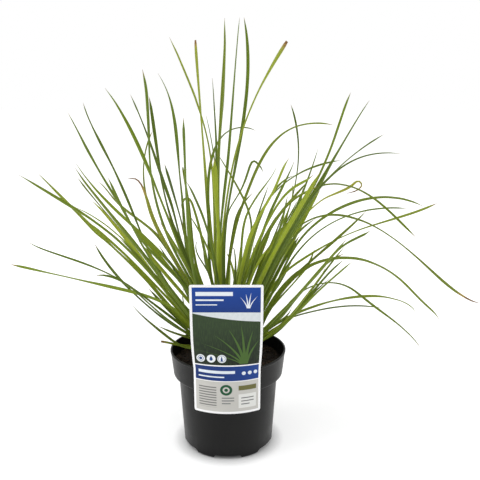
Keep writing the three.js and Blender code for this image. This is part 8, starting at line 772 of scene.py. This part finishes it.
        ((.57, 4, 0, .04), (-7.9, 27.5, 105.5, .89, -.4, .04, -8.1, 28.3, 111.9, 1.03, -.43, .22, -8.5, 32.1, 120.5, 1.24, -.49, .32, -9, 37, 128.8, 1.46, -.53, .43, -9.7, 46.4, 140.6, 1.48, -.44, .51, -10.8, 58.8, 152.5, 1.48, -.35, .57, -12.4, 73.6, 164, 1.51, -.22, .56, -14.8, 91.6, 175.9, 1.56, -.05, .46, -17.5, 107.7, 185.3, 1.59, .13, .29, -23.2, 138.8, 201.9, 1.55, .12, .24, -24.8, 149.8, 208.3, 1.28, .08, .13, -25.7, 157.8, 214.7, .84, -.01, .07, -25.8, 160.2, 217.8, .63, -.09, .06, -25.8, 161.7, 221.2, .47, -.14, .03)),
    ]),
    ((-11.9, 21.2), [
        ((.45, 5, 0, 0), (-11.2, 21.7, 105.5, .95, .54, 0, -11.4, 22, 111.9, 1.1, .64, -.05, -12.5, 24.4, 119.4, 1.28, .79, .01, -14.9, 27.5, 128.7, 1.48, .98, .13, -18.3, 31, 137.5, 1.5, 1.02, .21, -26, 38.7, 152.4, 1.49, 1.01, .27, -42.7, 57.1, 181.5, 1.56, .94, .18, -47.8, 64.2, 193.8, 1.59, .89, .08, -51.7, 70.9, 206.6, 1.62, .85, 0, -54.6, 77.2, 219.9, 1.63, .81, -.06, -57.1, 84, 235.5, 1.65, .78, -.11, -61.6, 101, 277.4, 1.31, 1.22, -.36, -66.4, 117.5, 315.9, .58, 1.61, -.64, -68.5, 125.8, 334.4, 1.03, 1.41, -.53, -71, 137.5, 359.2, 1.71, .64, -.12, -74.6, 150.6, 384.4, 1.72, .48, .04, -80.1, 164.3, 407.5, 1.16, .83, -.17, -86.7, 175.7, 426.2, .6, .85, -.24, -93.5, 182.8, 440.3, .33, .63, -.08, -100.3, 186.3, 451.8, .17, .36, .03)),
        ((.3, 4, 0, 0), (-12.7, 20.7, 105.5, .91, .48, .03, -13, 20.8, 111.6, 1.05, .57, .02, -13.8, 22, 119.2, 1.21, .69, .06, -17.1, 25.1, 135.9, 1.45, .9, .18, -22.1, 29.1, 151.8, 1.43, .92, .25, -28.3, 34.2, 167.1, 1.42, .93, .29, -36, 40.9, 183.4, 1.42, .92, .3, -48.3, 52.1, 207.8, 1.42, .93, .26, -58.8, 63, 231.2, 1.08, 1.33, -.16, -64.4, 69.8, 246.9, .79, 1.48, -.37, -70.7, 78.8, 268.4, .96, 1.39, -.31, -75.2, 85.1, 282.8, 1.29, 1.13, -.06, -80.6, 91.7, 297, 1.49, .82, .2, -88.4, 101.3, 316.6, 1.58, .56, .35, -95.6, 110.4, 334.6, 1.52, .76, .22, -106.8, 124.9, 361.9, 1.04, 1.25, -.23, -118.1, 138.6, 387.7, .61, 1.01, -.24, -126.6, 147, 406.2, .7, .42, .17, -130.8, 149.8, 415.4, .5, .25, .17, -134.2, 151.2, 422.7, .33, .22, .12)),
    ]),
    ((-20.3, 21.5), [
        ((.5, 3, 0, 0), (-19.5, 22, 105.5, .92, .44, -.04, -19.7, 22.3, 112, 1.05, .58, .04, -21.9, 24.1, 120.1, 1.16, .79, .26, -25.5, 26.4, 126.5, 1.24, .95, .45, -31.2, 29.9, 133.2, 1.24, 1.02, .59, -43.2, 37.9, 143.7, 1.23, .99, .65, -59.8, 51, 157.9, 1.33, .85, .65, -74.7, 64.6, 172, 1.38, .68, .75, -95.7, 85.2, 192.4, 1.15, .38, .82, -101.2, 89.6, 198, .72, .3, .49, -106, 91.8, 203.4, .32, .28, .2)),
        ((.42, 5, 0, .05), (-21, 20.9, 105.5, .84, .42, .02, -21.5, 21.4, 112.6, .97, .53, .05, -24.3, 23.7, 123.4, 1.16, .73, .21, -28.3, 26.8, 132.6, 1.27, .85, .32, -33.9, 31.2, 142.5, 1.26, .85, .37, -42.4, 38.5, 155.4, 1.3, .79, .36, -51.4, 47.7, 169.5, 1.37, .63, .43, -61.5, 59.2, 185.5, 1.39, .45, .55, -70.3, 69.6, 198.4, 1.31, .33, .7, -78.4, 78, 208.6, .71, .22, .45, -81.3, 80, 212.1, .5, .22, .31, -84.3, 81.2, 215.7, .31, .23, .21)),
    ]),
    ((-24, 13.7), [
        ((.5, 5, 0, 0), (-23.2, 14.2, 105.5, .8, .42, .03, -23.7, 14.4, 111.7, .91, .52, .07, -26.2, 16.2, 121.2, 1.04, .69, .23, -29.3, 17.7, 128.3, 1.13, .84, .38, -34.2, 19.9, 136.6, 1.1, .9, .49, -46.1, 25, 151.4, 1.05, .92, .56, -64.1, 33.8, 171.1, 1.06, .94, .51, -75.2, 39.7, 184.3, 1.08, .95, .43, -86.4, 46.3, 199.8, 1.1, .97, .34, -96.5, 52.6, 216.4, 1.1, 1, .25, -104.5, 58.1, 231.9, 1.02, 1.1, .12, -113.4, 64.6, 251.5, .73, 1.31, -.11, -129.3, 76.5, 287.5, 1.23, .81, .29, -139.6, 84.2, 309, 1.09, 1.02, .17, -150.7, 92.3, 330.4, .76, 1.29, -.1, -167.5, 104.3, 360.4, 1.22, .46, .52, -179.4, 112.3, 381.9, .62, .71, .08, -186.9, 116.8, 398.7, .63, .42, .15, -191.1, 118.7, 412.1, .37, .28, .07)),
        ((.31, 3, 0, .14), (-24.7, 13.2, 105.5, .75, .05, .02, -25.5, 13.6, 113.5, .88, .11, .16, -28.2, 14.9, 122.3, .99, .21, .38, -32.5, 16.4, 130.3, 1.05, .3, .62, -38.9, 18.4, 138.8, .95, .34, .74, -58.7, 25.2, 159.4, .92, .42, .74, -75.9, 32.3, 178.2, .87, .78, .44, -107, 47, 217.1, .67, 1.05, .11, -122.6, 54.8, 235.9, .56, 1.12, .01, -139.2, 63.1, 254.1, .49, 1.15, -.08, -164.1, 75.8, 280, .39, 1.02, -.13, -180.3, 83.7, 297.4, .56, .57, .27, -188.5, 87, 307.1, .64, .34, .42, -196.1, 88.9, 317.1, .31, .28, .19)),
    ]),
    ((-28.8, 6.9), [
        ((.55, 10, 0, 0), (-28, 7.5, 105.5, .95, -.3, .06, -29.4, 7.7, 115.4, 1.17, -.3, .3, -32.4, 8.4, 124.6, 1.35, -.29, .58, -37.6, 9.4, 134.6, 1.38, -.25, .89, -44.1, 10.5, 143.5, 1.25, -.21, 1.07, -52.7, 12.1, 152.6, 1.09, -.2, 1.23, -62.4, 14, 160.5, .93, -.21, 1.35, -72.9, 16.2, 167.1, .75, -.22, 1.46, -84.3, 18.5, 172.5, .57, -.23, 1.54, -100.8, 22.1, 177.9, .37, -.26, 1.59, -122.9, 27.1, 182.6, .26, -.12, 1.63, -153.6, 34.3, 187.5, .24, -.07, 1.64, -210.1, 48.2, 196.1, -.15, -1.24, 1.09, -256.3, 59.6, 202.9, .24, .26, 1.19, -269.9, 62.2, 205.1, .24, .29, 1.09, -283.1, 63.7, 207.6, .13, -.06, .65)),
        ((.75, 5, 0, .1), (-29.6, 7.3, 105.5, 1.31, .42, .06, -30.4, 7.5, 112.7, 1.5, .6, .28, -32.6, 8.3, 119.4, 1.59, .81, .61, -37, 9.5, 127, 1.71, 1.03, .93, -42.7, 11.5, 135.1, 1.69, 1.14, 1.06, -50.8, 14.4, 143.2, 1.51, 1.29, 1.15, -72.1, 22.6, 162, 1.44, 1.61, .79, -100.1, 35.3, 191, 1.25, 1.9, .37, -119.1, 44.1, 208.1, 1.12, 2, .22, -143.4, 55.6, 227.7, .75, 2.15, -.36, -154.5, 61, 236.4, .99, 2.08, -.03, -171.1, 69.2, 249.8, 1.56, 1.2, 1.19, -197.5, 82.6, 271.6, 1.15, 1.97, .17, -224.1, 96, 294.3, .98, 1.27, .42, -239.3, 102.7, 307.8, .51, .98, .17, -246, 104.8, 314.1, .4, .67, .23, -252.4, 106, 320.5, .25, .4, .19)),
        ((.4, 6, 0, 0), (-28.7, 6, 105.5, .78, .03, -.05, -28.9, 6.2, 111.4, .89, .11, .13, -30.6, 7.4, 116.5, .91, .22, .4, -33.6, 8.8, 120.9, .85, .32, .67, -38.6, 10.9, 125, .77, .41, .91, -48.2, 14.9, 129.9, .64, .46, 1.05, -67.5, 24.3, 137.6, .73, .79, .74, -79.5, 30.8, 143.1, .76, .96, .46, -91.2, 37.4, 149.3, .76, 1.03, .28, -115.6, 52.1, 164.9, .71, 1.1, .05, -138.1, 66.3, 182.1, .95, .53, .73, -152.6, 76, 195.1, .99, .41, .74, -165.3, 84.5, 208.5, .99, .38, .62, -173.1, 89.4, 218.7, .83, .33, .45, -179.1, 91.7, 228.8, .45, .35, .19)),
    ]),
]


def spline(points, step):
    """Catmull-Rom through rows of six numbers, about one new row every step millimetres."""
    p = np.asarray(points, dtype=float).reshape(-1, 6)
    n = len(p)
    gap = np.linalg.norm(np.diff(p[:, :3], axis=0), axis=1)
    knot = np.concatenate([[0.0], np.cumsum(np.sqrt(np.maximum(gap, 1e-6)))])
    out = []
    for i in range(n - 1):
        p1, p2, t1, t2 = p[i], p[i + 1], knot[i], knot[i + 1]
        m1 = (p[i + 1] - p[i - 1]) / (knot[i + 1] - knot[i - 1]) if i > 0 else (p2 - p1) / (t2 - t1)
        m2 = (p[i + 2] - p[i]) / (knot[i + 2] - knot[i]) if i + 2 < n else (p2 - p1) / (t2 - t1)
        k = max(1, int(round(gap[i] / step)))
        for j in range(k):
            t = j / k
            h = t2 - t1
            out.append((2 * t ** 3 - 3 * t ** 2 + 1) * p1 + (t ** 3 - 2 * t ** 2 + t) * h * m1
                       + (-2 * t ** 3 + 3 * t ** 2) * p2 + (t ** 3 - t ** 2) * h * m2)
    out.append(p[-1])
    return np.array(out)


ACROSS_TOP = (-1.0, -0.62, -0.2, 0.2, 0.62, 1.0)
ACROSS_LOW = (0.62, 0.2, -0.2, -0.62)
THICK = 0.66
CHANNEL = 0.52


def add_blade(bag, info, flat, foot, rnd):
    tone, tip, blunt, warm = info
    tone = min(1.0, max(0.0, tone + rnd.uniform(-0.16, 0.16)))
    rows = spline(flat, 4.5)
    c, h = rows[:, :3], rows[:, 3:]
    n = len(c)
    length = np.concatenate([[0.0], np.cumsum(np.linalg.norm(np.diff(c, axis=0), axis=1))])
    total = length[-1]
    tangent = np.gradient(c, axis=0)
    tangent /= np.linalg.norm(tangent, axis=1)[:, None] + 1e-9
    width = np.linalg.norm(h, axis=1)
    normal = np.cross(tangent, h)
    normal /= np.linalg.norm(normal, axis=1)[:, None] + 1e-9
    # the hollow side faces the middle of the tuft and, further out, the sky
    mid = n // 2
    inward = np.array([-c[mid][0], -c[mid][1], 60.0])
    if float(np.dot(normal[mid], inward)) < 0:
        normal = -normal
        h = -h
    wave_a, wave_p = rnd.uniform(0.0, 0.10), rnd.uniform(0, 6.28)
    base = len(bag["v"])
    fold = rnd.uniform(0.8, 1.25) * CHANNEL
    ring = len(ACROSS_TOP) + len(ACROSS_LOW)
    for i in range(n):
        w = width[i]
        left = total - length[i]
        taper = 1.0
        if blunt:
            taper = 1.0 if left > 3 else 0.8 + 0.2 * left / 3
        else:
            taper = min(1.0, (left / 13.0) ** 0.55 + 0.04) if left < 13 else 1.0
        hh = h[i] * taper * 1.25 * (1.0 + wave_a * math.sin(length[i] / 21.0 + wave_p))
        ww = w * taper
        deep = fold * ww * min(1.0, 0.45 + 0.55 * min(1.0, length[i] / 70.0 + 0.2))
        th = THICK * min(1.0, 0.35 + left / 40.0)
        for k, u in enumerate(ACROSS_TOP + ACROSS_LOW):
            top = k < len(ACROSS_TOP)
            lift = deep * (abs(u) ** 1.3) - 0.45 * deep
            edge = 0.22 if abs(u) > 0.99 else (0.8 if abs(u) > 0.5 else 1.0)
            s = th / 2 * edge if top else -th / 2 * edge
            if abs(u) > 0.99:
                s = 0.0
            q = c[i] + hh * u + normal[i] * (lift + s)
            bag["v"].append(q)
            bag["uv"].append((u, length[i]))
            bag["along"].append(length[i] / total)
            bag["left"].append(left)
            bag["tone"].append(tone)
            bag["warm"].append(warm)
            bag["tip"].append(tip)
            bag["rise"].append(length[i])
            bag["sheath"].append(0.0)
    for i in range(n - 1):
        a, b = base + i * ring, base + (i + 1) * ring
        for k in range(ring):
            m = (k + 1) % ring
            bag["f"].append((a + k, a + m, b + m, b + k))
    bag["f"].append([base + k for k in range(ring)])
    bag["f"].append([base + (n - 1) * ring + k for k in reversed(range(ring))])


def add_foot(bag, foot, leaves, rnd):
    """The sheathing foot: overlapping dry leaf bases round the bottom of the blades."""
    fx, fy = foot
    turn = rnd.uniform(0, 6.28)
    seg = 14
    lean = np.mean([np.asarray(flat[6:9]) - np.asarray(flat[0:3]) for _, flat in leaves], axis=0)
    lean = lean / (np.linalg.norm(lean) + 1e-9)
    for layer in range(3):
        base = len(bag["v"])
        high = (9.0, 15.0, 21.0)[layer] + rnd.uniform(-1.5, 2.5)
        wide = (2.75, 2.45, 2.1)[layer]
        steps = 7
        for j in range(steps + 1):
            t = j / steps
            z = -5.0 + (high + 5.0) * t
            r = wide * (1.0 - 0.42 * max(0.0, t - 0.25) ** 1.2)
            for k in range(seg):
                a = turn + layer * 2.1 + 2 * math.pi * k / seg
                rise = z + (3.2 * math.cos(a - turn - layer * 2.1) * t * t if j == steps else 2.0 * math.cos(a - turn - layer * 2.1) * t * t)
                out = r * (1.0 + 0.06 * math.sin(3 * a + layer))
                rr = np.array([fx + out * math.cos(a), fy + out * math.sin(a) * 0.9, SOIL_Z + rise])
                rr[:2] += lean[:2] * max(0.0, z) * 0.6
                bag["v"].append(rr)
                bag["uv"].append((math.sin(a * 2.0), z + 9 * layer))
                for key, value in (("along", 0.05), ("left", 200.0), ("tone", 0.5), ("warm", 0.5), ("tip", 0.0), ("rise", max(0.0, z)),
                                   ("sheath", 0.95 - 0.35 * t * (layer / 2.0))):
                    bag[key].append(value)
        for j in range(steps):
            for k in range(seg):
                a, b = base + j * seg, base + (j + 1) * seg
                bag["f"].append((a + k, a + (k + 1) % seg, b + (k + 1) % seg, b + k))
        bag["f"].append([base + k for k in reversed(range(seg))])
        bag["f"].append([base + steps * seg + k for k in range(seg)])


def make_shoots():
    for number, (foot, leaves) in enumerate(SHOOTS, 1):
        rnd = random.Random(100 + number)
        bag = {k: [] for k in ("v", "f", "uv", "along", "left", "tone", "warm", "tip", "rise", "sheath")}
        for info, flat in leaves:
            add_blade(bag, info, flat, foot, rnd)
        add_foot(bag, foot, leaves, rnd)
        attrs = {k: bag[k] for k in ("along", "left", "tone", "warm", "tip", "rise", "sheath")}
        name = "shoot_%02d" % number
        ob = mesh_object("leaves_%02d" % number, bag["v"], bag["f"], LEAF, attrs=attrs, uv=bag["uv"], uv_name="blade")
        ob.data.set_sharp_from_angle(angle=math.radians(70))
        dress(ob, "leaf", name)


make_pot()
make_mix([foot for foot, _ in SHOOTS])
make_label()
make_shoots()

# ---- stage -------------------------------------------------------------------------------------------
scene.view_settings.view_transform = "Standard"

world = bpy.data.worlds.new("studio")
scene.world = world
world.use_nodes = True
wt = world.node_tree
for n in list(wt.nodes):
    wt.nodes.remove(n)
out = wt.nodes.new("ShaderNodeOutputWorld")
seen, lit = wt.nodes.new("ShaderNodeBackground"), wt.nodes.new("ShaderNodeBackground")
seen.inputs[0].default_value = (1.0, 1.0, 1.0, 1.0)
seen.inputs[1].default_value = 1.0
lit.inputs[0].default_value = (0.98, 0.99, 1.0, 1.0)
# dimmer from the front (-Y), bright from the sides, above and behind
way = wt.nodes.new("ShaderNodeTexCoord")
parts = wt.nodes.new("ShaderNodeSeparateXYZ")
wt.links.new(way.outputs["Generated"], parts.inputs[0])
front = wt.nodes.new("ShaderNodeMapRange")
front.clamp = True
front.inputs["From Min"].default_value = -0.95
front.inputs["From Max"].default_value = -0.35
front.inputs["To Min"].default_value = 0.06
front.inputs["To Max"].default_value = 0.42
wt.links.new(parts.outputs[1], front.inputs["Value"])
wt.links.new(front.outputs["Result"], lit.inputs[1])
path = wt.nodes.new("ShaderNodeLightPath")
choose = wt.nodes.new("ShaderNodeMixShader")
wt.links.new(path.outputs["Is Camera Ray"], choose.inputs[0])
wt.links.new(lit.outputs[0], choose.inputs[1])
wt.links.new(seen.outputs[0], choose.inputs[2])
wt.links.new(choose.outputs[0], out.inputs[0])

floor_mat = bpy.data.materials.new("floor")
floor_mat.use_nodes = True
fb = next(n for n in floor_mat.node_tree.nodes if n.type == "BSDF_PRINCIPLED")
fb.inputs["Base Color"].default_value = (0.5, 0.5, 0.5, 1.0)
fb.inputs["Roughness"].default_value = 0.8
fb.inputs["Specular IOR Level"].default_value = 0.1
fb.inputs["Emission Color"].default_value = (1.0, 1.0, 1.0, 1.0)
# the paper sweep glows a little more with distance, so that it ends in plain white; close round the pot the glow is
# cut to nothing, a painted contact shadow
ft = floor_mat.node_tree
fco = ft.nodes.new("ShaderNodeTexCoord")
far = ft.nodes.new("ShaderNodeVectorMath")
far.operation = "LENGTH"
ft.links.new(fco.outputs["Object"], far.inputs[0])
def falloff(a, b, lo, hi):
    n = ft.nodes.new("ShaderNodeMapRange")
    n.clamp = True
    for key, value in (("From Min", a), ("From Max", b), ("To Min", lo), ("To Max", hi)):
        n.inputs[key].default_value = value
    ft.links.new(far.outputs["Value"], n.inputs["Value"])
    return n.outputs["Result"]


glow_with_painted_shadow = ft.nodes.new("ShaderNodeMath")
glow_with_painted_shadow.operation = "MULTIPLY"
ft.links.new(falloff(0.15, 1.1, 0.62, 0.97), glow_with_painted_shadow.inputs[0])
# glow cut to nothing from 46 to 70 mm out from the middle: painted contact shadow round the foot of the pot
ft.links.new(falloff(0.046, 0.070, 0.0, 1.0), glow_with_painted_shadow.inputs[1])
ft.links.new(glow_with_painted_shadow.outputs[0], fb.inputs["Emission Strength"])
me = bpy.data.meshes.new("floor")
E = 30.0
me.from_pydata([(-E, -E, -0.0004), (E, -E, -0.0004), (E, E, -0.0004), (-E, E, -0.0004)], [], [(0, 1, 2, 3)])
me.materials.append(floor_mat)
floor = bpy.data.objects.new("floor", me)
scene.collection.objects.link(floor)


def area(name, place, target, w, h, power, colour=(1.0, 1.0, 1.0)):
    data = bpy.data.lights.new(name, "AREA")
    data.shape = "RECTANGLE"
    data.size, data.size_y = w, h
    data.energy = power
    data.color = colour
    ob = bpy.data.objects.new(name, data)
    scene.collection.objects.link(ob)
    ob.location = place
    d = np.array(target, dtype=float) - np.array(place, dtype=float)
    from_z = -d / np.linalg.norm(d)
    x = np.cross((0.0, 0.0, 1.0), from_z)
    x /= np.linalg.norm(x)
    y = np.cross(from_z, x)
    ob.rotation_euler = mathutils.Matrix((x, y, from_z)).transposed().to_euler()
    return ob


area("soft_left", (-1.5, -0.55, 0.95), (0, 0, 0.2), 1.0, 1.6, 14.5)
area("soft_right", (1.6, -0.35, 0.85), (0, 0, 0.2), 1.0, 1.6, 11.0)
area("soft_top", (-0.25, -0.45, 2.0), (0, 0, 0.15), 1.2, 1.0, 14.5)
area("soft_back", (0.0, 1.7, 1.2), (0, 0, 0.25), 2.0, 1.2, 7.0)

cam_data = bpy.data.cameras.new("camera")
cam_data.sensor_width = 36.0
cam_data.lens = 47.254
cam = bpy.data.objects.new("camera", cam_data)
scene.collection.objects.link(cam)
cam.location = (0.01463, -0.72636, 0.41327)
cam.rotation_euler = (math.radians(77.613), 0.0, 0.0)
scene.camera = cam

bpy.context.view_layer.update()
